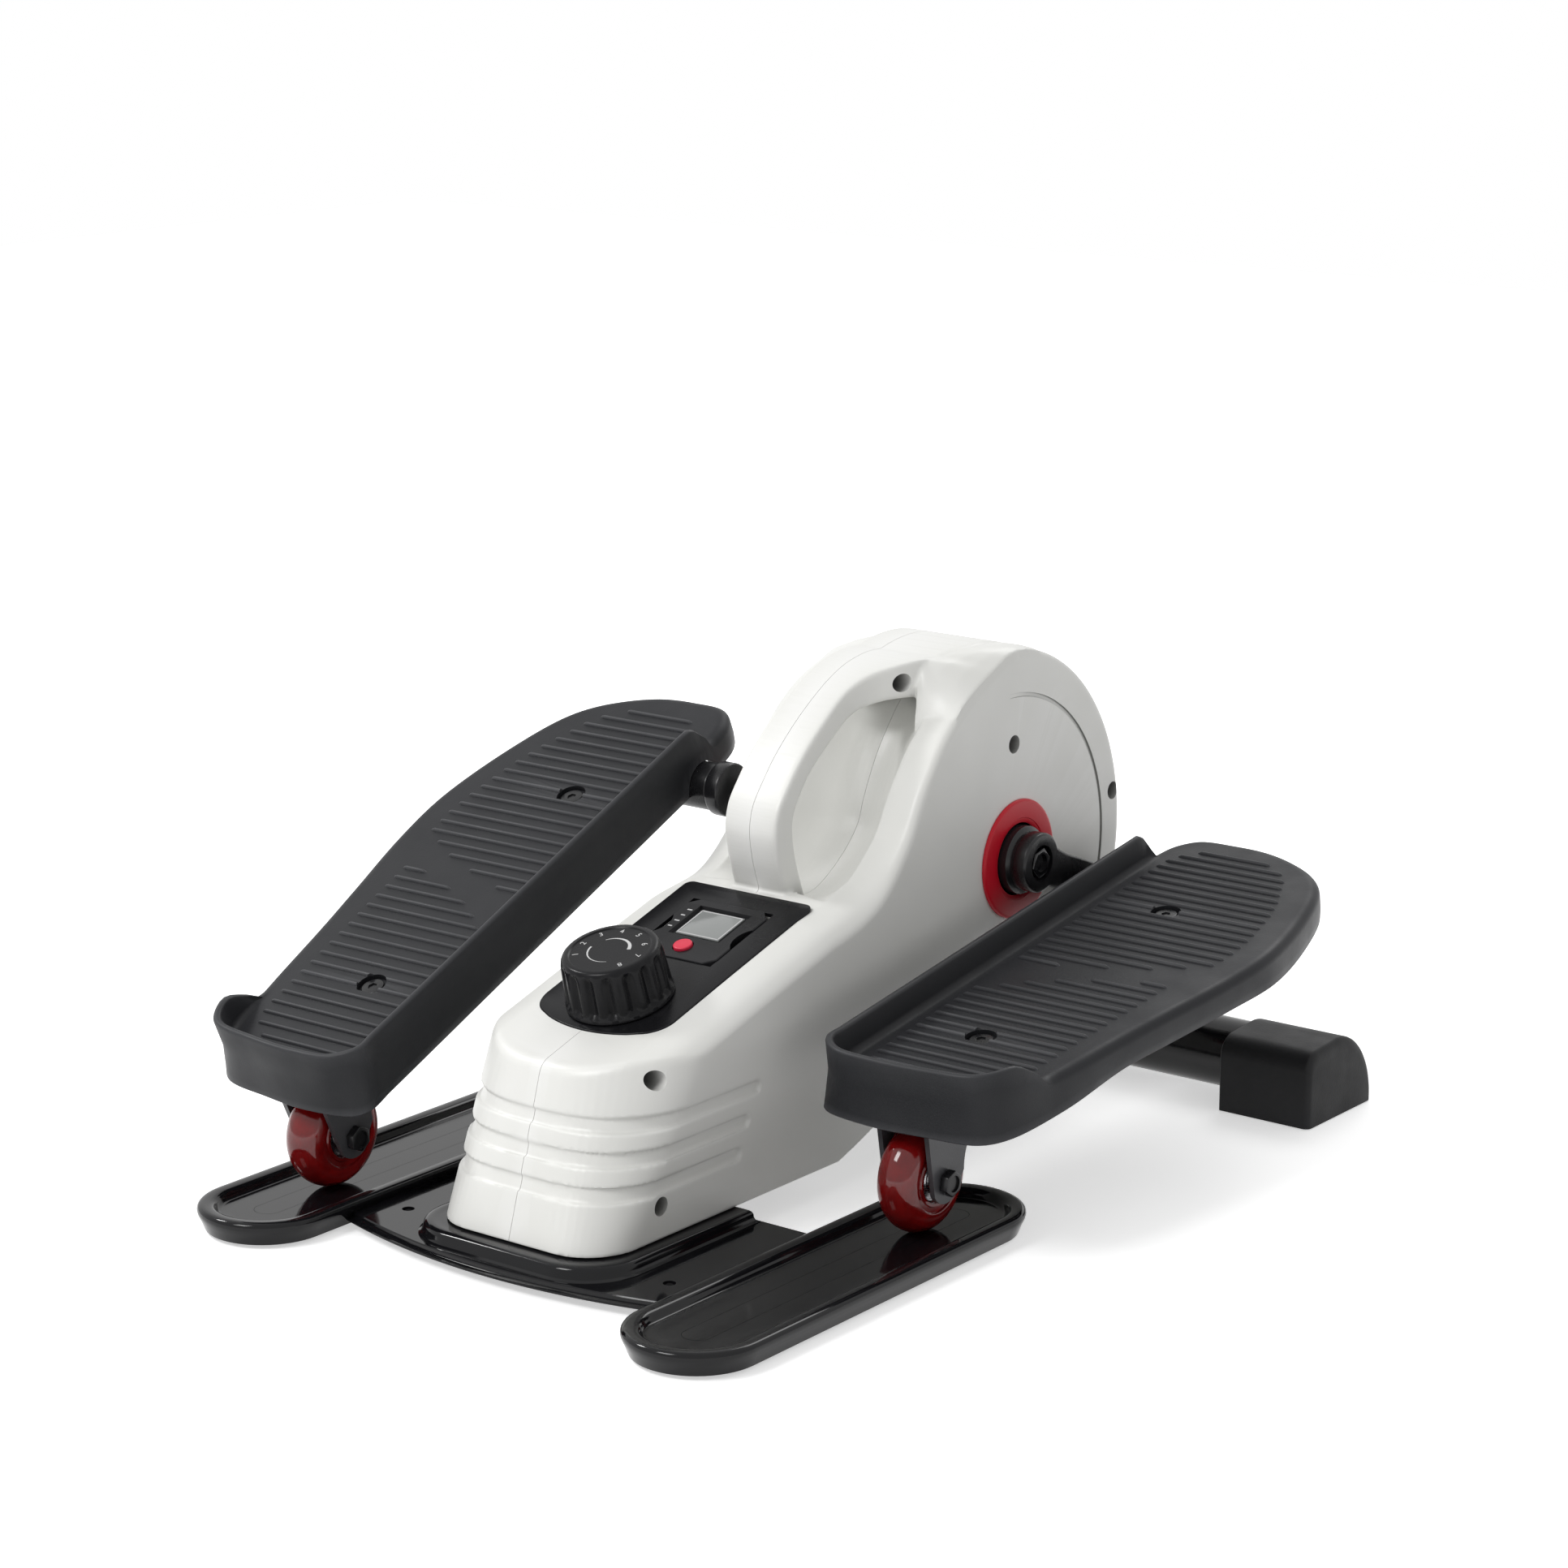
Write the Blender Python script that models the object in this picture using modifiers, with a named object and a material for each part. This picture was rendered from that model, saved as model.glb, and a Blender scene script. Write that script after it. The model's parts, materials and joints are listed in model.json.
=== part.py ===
"""Mini elliptical trainer: two footplates on rollers, driven round by a crank inside a hooped housing.

Everything is in metres. +X is the right-hand side as the user sees it, +Y runs from the user towards
the crank, and +Z is up. The pieces are laid out from the middle of the track noses, and one empty
then sets the origin under the middle of the machine, on the floor.
"""

from math import asin, atan2, cos, degrees, hypot, pi, radians, sin, sqrt, tan

import bmesh
import bpy
from mathutils import Matrix, Vector

# Clearances shared by every piece
FIT = 0.0003
BORE_FIT = 0.0003
WALL = 0.003

# Tray with the two roller tracks
TRACK_SPACING = 0.300
TRACK_HALF_WIDTH = 0.039
TRACK_LENGTH = 0.2215
GROOVE_HALF_WIDTH = 0.028
TRAY_LIFT = 0.002
TRACK_FLOOR = 0.010
TRACK_FLOOR_THICKNESS = 0.003
TRACK_RIM = 0.015
PLATE_TOP = 0.009
PLATE_THICKNESS = 0.004
PLATE_FRONT = 0.005
PLATE_FRONT_SWEEP = 0.020
PLATE_REAR = 0.151
PLINTH_HALF_WIDTH = 0.070
PLINTH_FRONT = 0.016
PLINTH_REAR = 0.147
PLINTH_CORNER = 0.034
PLINTH_TOP = 0.0165
PLATE_HOLE_RADIUS = 0.0035
PLATE_HOLE_PLACE = (0.092, 0.0486)
PAD_RADIUS = 0.014

# Rear stabilizer
STABILIZER_Y = 0.523
STABILIZER_Z = 0.024
STABILIZER_RADIUS = 0.021
STABILIZER_WALL = 0.002
CAP_DEPTH = 0.074
CAP_HEIGHT = 0.0475
CAP_CORNER = 0.012
CAP_CREST = 0.002
CAP_EDGE = 0.004
CAP_LENGTH = 0.0614
CAP_END_X = 0.2152
CAP_END_WALL = 0.006

# Housing, side view and width
HOUSING_HALF_WIDTH = 0.067
HOUSING_EDGE = 0.005
FLANK_DRAFT = 0.061
FLANK_DRAFT_TOP = 0.110
MIDDLE_OVERLAP = 0.016
NOSE_FOOT_Y = 0.027
NOSE_LEAN = 0.31
NOSE_CORNER = 0.032
NOSE_TOP_CORNER = 0.058
NOSE_ROUND = 0.010
DECK_FRONT_Y = 0.066
DECK_Y = 0.100
DECK_Z = 0.122
DECK_SLOPE = 0.30
DRUM_Y = 0.386
DRUM_Z = 0.1617
DRUM_RADIUS = 0.1218
DRUM_START_DEGREES = 85.0
DRUM_END_DEGREES = -116.0
UNDERSIDE_Y = 0.240
MOUTH_MARGIN = 0.010
MOUTH_TOP = 0.0275
SHOULDER = ((0.244, 0.161), (0.267, 0.171), (0.290, 0.191), (0.307, 0.219), (0.333, 0.250), (0.373, 0.274))
SCOOP_BACK = ((0.250, 0.158), (0.262, 0.155), (0.277, 0.152), (0.292, 0.152), (0.316, 0.165), (0.3335, 0.182),
              (0.339, 0.196), (0.351, 0.219), (0.366, 0.239), (0.386, 0.260))
SCOOP_EDGE = ((0.244, 0.1625), (0.252, 0.1655), (0.260, 0.1685), (0.2666, 0.1710), (0.280, 0.182), (0.290, 0.191),
              (0.2985, 0.205), (0.3074, 0.219), (0.320, 0.2345), (0.346, 0.2577))
SCOOP_FRONT = ((0.300, 0.259), (0.240, 0.200))
SCOOP_HALF_WIDTH = 0.044
SCOOP_SHARES = (0.0, 0.2, 0.4, 0.6, 0.8, 1.0, 1.12)
EDGE_SHARES = (0.28, 0.39, 0.57, 0.67, 0.78, 0.85, 0.92, 0.955, 0.982, 1.0)
DECK_DOME = ((0.67, 0.0), (0.85, 0.003), (0.94, 0.007), (1.0, 0.013))
SHOULDER_DOME = ((0.60, 0.0), (0.80, 0.0045), (0.92, 0.009), (1.0, 0.015))
DRUM_DOME = ((0.28, 0.0), (0.39, 0.0032), (0.57, 0.0055), (0.85, 0.0125), (1.0, 0.017))
DOME_FADE = 0.060
GRIP_HALF_WIDTH = 0.0185
CROWN_HALF_WIDTH = 0.040
CROWN_FLARE = 0.005
GRIP_STATIONS = (((0.247, 0.148), (0.265, 0.148), GRIP_HALF_WIDTH), ((0.241, 0.165), (0.256, 0.170), GRIP_HALF_WIDTH),
                 ((0.2355, 0.182), (0.251, 0.186), GRIP_HALF_WIDTH), ((0.233, 0.199), (0.2495, 0.199), GRIP_HALF_WIDTH),
                 ((0.236, 0.212), (0.251, 0.208), GRIP_HALF_WIDTH), ((0.245, 0.2245), (0.2565, 0.217), GRIP_HALF_WIDTH),
                 ((0.256, 0.237), (0.2655, 0.228), GRIP_HALF_WIDTH), ((0.276, 0.254), (0.284, 0.242), GRIP_HALF_WIDTH),
                 ((0.300, 0.2695), (0.3055, 0.2545), GRIP_HALF_WIDTH), ((0.315, 0.2765), (0.3185, 0.2585), 0.0235),
                 ((0.327, 0.280), (0.330, 0.2605), 0.031), ((0.342, 0.2822), (0.344, 0.2605), 0.0375))
GRIP_EDGE = 0.004
CROWN_RISE = 0.0022
CROWN_DEPTH = 0.020
CROWN_DEGREES = (104.0, 62.0)
CROWN_STEPS = 5
SCREW_PLACES = ((0.078, 0.036), (0.080, 0.104), (0.394, 0.2276), (0.4985, 0.180), (0.3315, 0.270))
BOSS_RADIUS = 0.006
SCREW_HEAD_RADIUS = 0.004
SCREW_SHANK_RADIUS = 0.002
SCREW_RECESS = 0.004
SCREW_LENGTH = 0.030

# Crank and belt drive
AXLE_Y = 0.398
AXLE_Z = 0.159
AXLE_RADIUS = 0.0085
CRANK_RADIUS = 0.092
CRANK_DEGREES = -22.8
ARM_GAP = 0.008
ARM_THICKNESS = 0.010
ARM_FACE_X = HOUSING_HALF_WIDTH + ARM_GAP + ARM_THICKNESS
PLATE_GAP = 0.0113
ARM_HEAD_RADIUS = 0.0176
ARM_EYE_RADIUS = 0.016
ARM_WAIST = 0.011
ARM_HUB_RADIUS = 0.020
ARM_HUB_X = HOUSING_HALF_WIDTH - 0.006
CRANK_BOLT_RADIUS = 0.0092
CRANK_BOLT_HEAD = 0.0055
DISC_RADIUS = 0.0352
DISC_BORE = 0.0215
DISC_THICKNESS = 0.002
BEARING_RADIUS = 0.017
BEARING_WIDTH = 0.012
BRACKET_TUBE_HALF = 0.032
BRACKET_TUBE_RADIUS = 0.022
PULLEY_RADIUS = 0.058
PULLEY_X = BRACKET_TUBE_HALF + 0.008
PULLEY_WIDTH = 0.010
BELT_THICKNESS = 0.0025
FLYWHEEL_Y = 0.252
FLYWHEEL_Z = 0.094
FLYWHEEL_RADIUS = 0.052
FLYWHEEL_HALF_WIDTH = 0.008
FLYWHEEL_AXLE_RADIUS = 0.006
SMALL_PULLEY_RADIUS = 0.014

# Main frame
SPINE_HALF_WIDTH = 0.020
SPINE_BOTTOM = PLINTH_TOP + FIT
SPINE_TOP = 0.037
SPINE_FRONT = 0.092
POST_HALF_WIDTH = 0.015
LUG_THICKNESS = 0.004
LUG_HALF_LENGTH = 0.016

# Magnet brake
BRAKE_PIVOT_Y = 0.202
BRAKE_PIVOT_Z = 0.056
BRAKE_PIN_RADIUS = 0.003
BRAKE_GAP = 0.004
MAGNET_THICKNESS = 0.003
BRACKET_THICKNESS = 0.004
BRACKET_HALF_WIDTH = 0.008
SPRING_WIRE = 0.0006
SPRING_TURNS = 3
CABLE_RADIUS = 0.0015
CABLE_STOP_Y = 0.162
CABLE_STOP_Z = 0.111
CABLE_STOP_HALF_WIDTH = 0.006

# Console
PANEL_HALF_WIDTH = 0.0445
PANEL_FRONT = -0.012
PANEL_REAR = 0.140
PANEL_THICKNESS = 0.0022
PANEL_RECESS = 0.0018
PANEL_ARC = 0.014
PANEL_CORNER = 0.018
KNOB_PLACE = 0.022
KNOB_RADIUS = 0.030
KNOB_TOP_RADIUS = 0.028
KNOB_HEIGHT = 0.030
KNOB_FLUTES = 18
KNOB_FLUTE_DEPTH = 0.0008
KNOB_SHAFT_RADIUS = 0.0055
KNOB_DRUM_RADIUS = 0.009
KNOB_SHAFT_LENGTH = 0.032
DISPLAY_PLACE = 0.0947
DISPLAY_HALF_WIDTH = 0.028
DISPLAY_HALF_LENGTH = 0.029
DISPLAY_DEPTH = 0.009
LENS_PLACE = 0.1023
LENS_HALF_WIDTH = 0.015
LENS_HALF_LENGTH = 0.0125
LENS_THICKNESS = 0.0015
BUTTON_PLACE = 0.0777
BUTTON_RADIUS = 0.0055
BUTTON_HEIGHT = 0.0015
BUTTON_TRAVEL = 0.0012

# Footplates, in a frame with its origin on the roller axle and Y along the tread
TREAD_HEIGHT = 0.0555
SPINDLE_PLACE = 0.3023
SPINDLE_DROP = 0.020
SPINDLE_RADIUS = 0.014
SPINDLE_OUTER_W = 0.036
SKIRT_DEPTH = 0.020
SKIRT_WALL = 0.0035
DECK_THICKNESS = 0.005
KERB_WALL = 0.0045
KERB_HEIGHT = 0.018
KERB_END = 0.319
HEEL_KERB_END = 0.040
KERB_ROUND = 0.016
PLATE_INNER = TRACK_SPACING / 2 - ARM_FACE_X - PLATE_GAP
PLATE_TOP_OUTLINE = ((-0.0025, -PLATE_INNER), (0.3207, -PLATE_INNER), (0.339, 0.0037 - PLATE_INNER),
                     (0.352, 0.015 - PLATE_INNER), (0.3545, -0.015), (0.353, 0.008), (0.3455, 0.030), (0.333, 0.050),
                     (0.317, 0.063), (0.279, 0.077), (0.227, 0.087), (0.185, 0.0855), (0.134, 0.078), (0.099, 0.073),
                     (0.044, 0.0665), (0.0015, 0.0595), (-0.0105, 0.0495), (-0.016, 0.019), (-0.0176, -0.015),
                     (-0.0146, 0.0137 - PLATE_INNER))
PLATE_FOOT_OUTLINE = ((-0.010, -0.0008 - PLATE_INNER), (0.3207, -PLATE_INNER), (0.339, 0.0037 - PLATE_INNER),
                      (0.352, 0.015 - PLATE_INNER), (0.3545, -0.015), (0.353, 0.008), (0.3455, 0.030), (0.333, 0.050),
                      (0.317, 0.063), (0.279, 0.077), (0.227, 0.087), (0.185, 0.083), (0.134, 0.0755), (0.099, 0.0705),
                      (0.040, 0.070), (-0.003, 0.0625), (-0.0155, 0.0515), (-0.0205, 0.019), (-0.0225, -0.015),
                      (-0.0176, 0.0067 - PLATE_INNER))
FOOT_BOLT_PLACES = (("toe", 0.2492), ("heel", 0.0629))
FOOT_BOLT_W = 0.001
FOOT_BOLT_HEAD_RADIUS = 0.0075
FOOT_BOLT_RADIUS = 0.0035
FOOT_RECESS_RADIUS = 0.0085
FOOT_RECESS_DEPTH = 0.003
RAIL_HALF_WIDTH = 0.013
RAIL_BOTTOM = 0.0365
RAIL_HEEL = -0.012
FORK_HALF_WIDTH = 0.017
FORK_SHEET = 0.003
FORK_END_RADIUS = 0.012
FORK_REACH = 0.046
ROLLER_RADIUS = 0.0306
ROLLER_HALF_WIDTH = 0.012
ROLLER_HUB_RADIUS = 0.0125
ROLLER_BOLT_RADIUS = 0.004
ROLLER_BOLT_HEAD = 0.0075
ROLLER_HEAD_THICKNESS = 0.005

# Segments of the round shapes
ROUND_LARGE = 28
ROUND_MEDIUM = 20
ROUND_SMALL = 12
HEXAGON = 6

# Places that follow from the sizes above
ROLLER_Z = TRACK_FLOOR + FIT + ROLLER_RADIUS
MACHINE_FRONT = -TRACK_HALF_WIDTH
MACHINE_REAR = STABILIZER_Y + CAP_DEPTH / 2
MIDDLE_Y = (MACHINE_FRONT + MACHINE_REAR) / 2
HOUSING_FOOT = PLINTH_TOP + FIT
DECK_ANGLE = atan2(DECK_SLOPE, 1.0)
SIDE_VIEW = Matrix(((0, 0, 1, 0), (1, 0, 0, 0), (0, 1, 0, 0), (0, 0, 0, 1)))
DECK_FRAME = Matrix.Translation((0.0, DECK_Y, DECK_Z)) @ Matrix.Rotation(DECK_ANGLE, 4, "X")

MATERIALS = {
    "housing_white": ((0.80, 0.80, 0.78), 0.45, 0.0),
    "gloss_black": ((0.012, 0.012, 0.014), 0.12, 0.0),
    "footplate_grey": ((0.045, 0.045, 0.050), 0.60, 0.0),
    "roller_red": ((0.28, 0.012, 0.010), 0.20, 0.0),
    "frame_black": ((0.020, 0.020, 0.022), 0.35, 0.3),
    "tube_black": ((0.012, 0.012, 0.014), 0.15, 0.0),
    "bracket_grey": ((0.10, 0.105, 0.11), 0.45, 0.5),
    "bright_steel": ((0.60, 0.60, 0.62), 0.30, 1.0),
    "disc_red": ((0.55, 0.008, 0.016), 0.35, 0.0),
    "panel_black": ((0.015, 0.015, 0.017), 0.40, 0.0),
    "lens_grey": ((0.33, 0.34, 0.33), 0.10, 0.0),
    "button_red": ((0.80, 0.04, 0.10), 0.40, 0.0),
    "rubber_black": ((0.025, 0.025, 0.025), 0.80, 0.0),
    "magnet_grey": ((0.20, 0.20, 0.21), 0.50, 0.8),
}


def start_scene():
    """Empties the file and makes the collection that holds the trainer."""
    for old in list(bpy.data.objects):
        bpy.data.objects.remove(old)
    parts = bpy.data.collections.new("mini_elliptical_trainer")
    bpy.context.scene.collection.children.link(parts)
    return parts


PARTS = start_scene()


def make_materials():
    """One Principled material for each finish."""
    made = {}
    for name, (colour, roughness, metallic) in MATERIALS.items():
        finish = bpy.data.materials.new(name)
        finish.use_nodes = True
        shader = finish.node_tree.nodes["Principled BSDF"]
        shader.inputs["Base Color"].default_value = (*colour, 1.0)
        shader.inputs["Roughness"].default_value = roughness
        shader.inputs["Metallic"].default_value = metallic
        made[name] = finish
    return made


FINISHES = make_materials()


def empty(name, place, parent=None, tilt=0.0):
    """An empty that carries a body, turned by tilt about X."""
    carrier = bpy.data.objects.new(name, None)
    PARTS.objects.link(carrier)
    carrier.parent = parent
    carrier.location = place
    carrier.rotation_euler.x = tilt
    return carrier


MACHINE = empty("machine", (0.0, -MIDDLE_Y, 0.0))


def mesh_object(name, shape):
    """An object in the trainer's collection from a bmesh."""
    mesh = bpy.data.meshes.new(name)
    shape.to_mesh(mesh)
    shape.free()
    made = bpy.data.objects.new(name, mesh)
    PARTS.objects.link(made)
    return made


def baked(shape):
    """The shape as its modifiers leave it, as a plain mesh object in its own place."""
    bpy.context.view_layer.update()
    evaluated = shape.evaluated_get(bpy.context.evaluated_depsgraph_get())
    mesh = bpy.data.meshes.new_from_object(evaluated)
    mesh.transform(shape.matrix_world)
    clean = bmesh.new()
    clean.from_mesh(mesh)
    bmesh.ops.remove_doubles(clean, verts=clean.verts, dist=0.000001)
    bmesh.ops.recalc_face_normals(clean, faces=clean.faces)
    bpy.data.meshes.remove(mesh)
    name = shape.name
    bpy.data.objects.remove(shape)
    return mesh_object(name, clean)


def combine(target, tool, operation):
    """Cuts the target with the tool, or joins the two, and removes the tool."""
    modifier = target.modifiers.new("Combine", "BOOLEAN")
    modifier.operation = operation
    modifier.object = tool
    done = baked(target)
    bpy.data.objects.remove(tool)
    return done


def cut(target, *tools):
    """Takes each tool away from the target."""
    for tool in tools:
        target = combine(target, tool, "DIFFERENCE")
    return target


def join(target, *tools):
    """Joins each tool to the target."""
    for tool in tools:
        target = combine(target, tool, "UNION")
    return target


def box(name, low, high):
    """A box between two corners."""
    shape = bmesh.new()
    bmesh.ops.create_cube(shape, size=1.0)
    low = Vector(low)
    high = Vector(high)
    bmesh.ops.scale(shape, vec=high - low, verts=shape.verts)
    bmesh.ops.translate(shape, vec=(low + high) / 2, verts=shape.verts)
    return mesh_object(name, shape)


def cone(name, radii, start, end, place, axis="X", segments=ROUND_SMALL):
    """A cylinder or cone along an axis from start to end; place is its centre in the other two axes."""
    shape = bmesh.new()
    bmesh.ops.create_cone(shape, cap_ends=True, segments=segments, radius1=radii[0], radius2=radii[1],
                          depth=end - start)
    bmesh.ops.translate(shape, vec=(0.0, 0.0, (start + end) / 2), verts=shape.verts)
    if axis == "X":
        bmesh.ops.transform(shape, matrix=SIDE_VIEW, verts=shape.verts)
        bmesh.ops.translate(shape, vec=(0.0, place[0], place[1]), verts=shape.verts)
    else:
        bmesh.ops.translate(shape, vec=(place[0], place[1], 0.0), verts=shape.verts)
    return mesh_object(name, shape)


def rod(name, radius, start, end, place, axis="X", segments=ROUND_SMALL):
    """A plain cylinder."""
    return cone(name, (radius, radius), start, end, place, axis, segments)


def ring(name, outer, inner, start, end, place, segments=ROUND_MEDIUM):
    """A ring about an axis along X, as a turned profile."""
    corners = ((outer, end), (outer, start), (inner, start), (inner, end))
    return turned(name, corners, place, segments)


def turned(name, corners, place, segments=ROUND_MEDIUM):
    """A closed profile of (radius, x) corners turned about an axis along X."""
    shape = bmesh.new()
    points = [shape.verts.new((radius, 0.0, along)) for radius, along in corners]
    for first, second in zip(points, points[1:] + points[:1]):
        shape.edges.new((first, second))
    profile = mesh_object(name, shape)
    screw = profile.modifiers.new("Turn", "SCREW")
    screw.steps = segments
    screw.render_steps = segments
    screw.use_merge_vertices = True
    screw.merge_threshold = 0.000001
    solid = baked(profile)
    solid.data.transform(Matrix.Translation((0.0, place[0], place[1])) @ SIDE_VIEW)
    return solid


def slab(name, outline, low, high):
    """A flat outline in X and Y, filled from height low to height high."""
    curve = bpy.data.curves.new(name, "CURVE")
    curve.dimensions = "2D"
    curve.fill_mode = "BOTH"
    curve.extrude = (high - low) / 2
    spline = curve.splines.new("POLY")
    spline.points.add(len(outline) - 1)
    for point, (across, along) in zip(spline.points, outline):
        point.co = (across, along, 0.0, 1.0)
    spline.use_cyclic_u = True
    shape = bpy.data.objects.new(name, curve)
    shape.location.z = (low + high) / 2
    PARTS.objects.link(shape)
    return baked(shape)


def side_slab(name, outline, low, high):
    """An outline in Y and Z, filled from X low to X high."""
    solid = slab(name, outline, low, high)
    solid.data.transform(SIDE_VIEW)
    return solid


def rounded(shape, width, segments=2, angle=50.0):
    """Rounds the edges that are sharper than the angle."""
    bevel = shape.modifiers.new("Round", "BEVEL")
    bevel.width = width
    bevel.segments = segments
    bevel.limit_method = "ANGLE"
    bevel.angle_limit = radians(angle)
    return baked(shape)


def wire(name, points, radius, resolution=2):
    """A round wire through the points."""
    curve = bpy.data.curves.new(name, "CURVE")
    curve.dimensions = "3D"
    curve.bevel_depth = radius
    curve.bevel_resolution = resolution
    curve.use_fill_caps = True
    spline = curve.splines.new("POLY")
    spline.points.add(len(points) - 1)
    for point, place in zip(spline.points, points):
        point.co = (*place, 1.0)
    shape = bpy.data.objects.new(name, curve)
    PARTS.objects.link(shape)
    return baked(shape)


def moved(shape, matrix):
    """Moves a shape's mesh by a matrix."""
    shape.data.transform(matrix)
    if matrix.determinant() < 0:
        shape.data.flip_normals()
    return shape


def finished(shape, name, finish, carrier=MACHINE, local=False):
    """Names a piece, gives it its finish and hangs it on its carrier."""
    shape.name = name
    shape.data.name = name
    shape.data.materials.clear()
    shape.data.materials.append(FINISHES[finish])
    shape.data.shade_smooth()
    shape.data.set_sharp_from_angle(angle=radians(35.0))
    if not local:
        bpy.context.view_layer.update()
        offset = MACHINE.matrix_world.inverted() @ carrier.matrix_world
        shape.data.transform(offset.inverted())
    shape.parent = carrier
    return shape


def arc(centre, radius, start, end, steps):
    """Points on an arc, in degrees, ends included."""
    points = []
    for step in range(steps + 1):
        angle = radians(start + (end - start) * step / steps)
        points.append((centre[0] + radius * cos(angle), centre[1] + radius * sin(angle)))
    return points


def stadium(centre_x, radius, length, steps=10):
    """The outline of a track: two half circles joined by straights."""
    rear = arc((centre_x, length), radius, 0.0, 180.0, steps)
    front = arc((centre_x, 0.0), radius, 180.0, 360.0, steps)
    return rear + front


def offset_outline(outline, distance):
    """The outline moved inwards by a distance, each corner on its mitre."""
    count = len(outline)
    area = sum(outline[i][0] * outline[(i + 1) % count][1] - outline[(i + 1) % count][0] * outline[i][1]
               for i in range(count))
    inwards = 1.0 if area > 0 else -1.0
    moved_points = []
    for index, corner in enumerate(outline):
        before = Vector(outline[index - 1])
        here = Vector(corner)
        after = Vector(outline[(index + 1) % count])
        first = (here - before).normalized()
        second = (after - here).normalized()
        first_normal = Vector((-first.y, first.x)) * inwards
        second_normal = Vector((-second.y, second.x)) * inwards
        mitre = (first_normal + second_normal).normalized()
        reach = distance / max(mitre.dot(first_normal), 0.5)
        moved_points.append(tuple(here + mitre * reach))
    return moved_points


def deck_z(place_y):
    """Height of the sloped deck at a place along the machine."""
    return DECK_Z + DECK_SLOPE * (place_y - DECK_Y)


def drum_arc(radius, start, end, steps):
    """Part of the round rim of the housing, in side view."""
    return arc((DRUM_Y, DRUM_Z), radius, start, end, steps)


def make_tray():
    """The moulded tray: two grooved tracks, the plate between them and the housing's plinth."""
    half = TRACK_SPACING / 2
    sides = (-1, 1)
    tray = None
    for side in sides:
        rows = []
        for height, drawn_in in ((TRAY_LIFT, 0.0045), (TRACK_RIM - 0.005, 0.0006), (TRACK_RIM - 0.0025, 0.0),
                                 (TRACK_RIM - 0.001, 0.0012), (TRACK_RIM, 0.0035)):
            outline = stadium(side * half, TRACK_HALF_WIDTH - drawn_in, TRACK_LENGTH)
            rows.append([(across, along, height) for across, along in outline])
        track = loft("track", rows)
        tray = track if tray is None else join(tray, track)
    reach = half - GROOVE_HALF_WIDTH - 0.002
    corner_y = PLATE_FRONT + PLATE_FRONT_SWEEP
    sweep_radius = (reach ** 2 + PLATE_FRONT_SWEEP ** 2) / (2 * PLATE_FRONT_SWEEP)
    sweep = degrees(asin(reach / sweep_radius))
    front_edge = arc((0.0, PLATE_FRONT + sweep_radius), sweep_radius, -90.0 - sweep, -90.0 + sweep, 12)
    plate = slab("plate", front_edge + [(reach, PLATE_REAR), (-reach, PLATE_REAR)], PLATE_TOP - PLATE_THICKNESS,
                 PLATE_TOP)
    corner = (PLINTH_HALF_WIDTH - PLINTH_CORNER, PLINTH_FRONT + PLINTH_CORNER)
    right = arc(corner, PLINTH_CORNER, -90.0, 0.0, 6)
    left = arc((-corner[0], corner[1]), PLINTH_CORNER, 180.0, 270.0, 6)
    outline = left + right + [(PLINTH_HALF_WIDTH, PLINTH_REAR), (-PLINTH_HALF_WIDTH, PLINTH_REAR)]
    plinth = rounded(slab("plinth", outline, PLATE_TOP - PLATE_THICKNESS / 2, PLINTH_TOP), 0.004, 1)
    tray = join(tray, plate, plinth)
    for side in sides:
        groove = slab("groove", stadium(side * half, GROOVE_HALF_WIDTH, TRACK_LENGTH), TRACK_FLOOR, TRACK_RIM + 0.01)
        floor_bottom = TRACK_FLOOR - TRACK_FLOOR_THICKNESS
        hollow = slab("hollow", stadium(side * half, TRACK_HALF_WIDTH - 0.008, TRACK_LENGTH), 0.0, floor_bottom)
        hole = rod("hole", PLATE_HOLE_RADIUS, 0.0, 0.03, (side * PLATE_HOLE_PLACE[0], PLATE_HOLE_PLACE[1]), "Z")
        tray = cut(tray, groove, hollow, hole)
    pocket = slab("pocket", offset_outline(outline, 0.005), 0.0, PLINTH_TOP - WALL)
    tray = cut(tray, pocket)
    finished(tray, "base_tray", "gloss_black")
    for side, side_name in ((-1, "left"), (1, "right")):
        for place, end_name in ((0.0, "front"), (TRACK_LENGTH, "rear")):
            pad = rod("pad", PAD_RADIUS, 0.0, TRACK_FLOOR - TRACK_FLOOR_THICKNESS - FIT, (side * half, place), "Z",
                      ROUND_MEDIUM)
            finished(pad, f"{side_name}_{end_name}_pad", "rubber_black")


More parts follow.
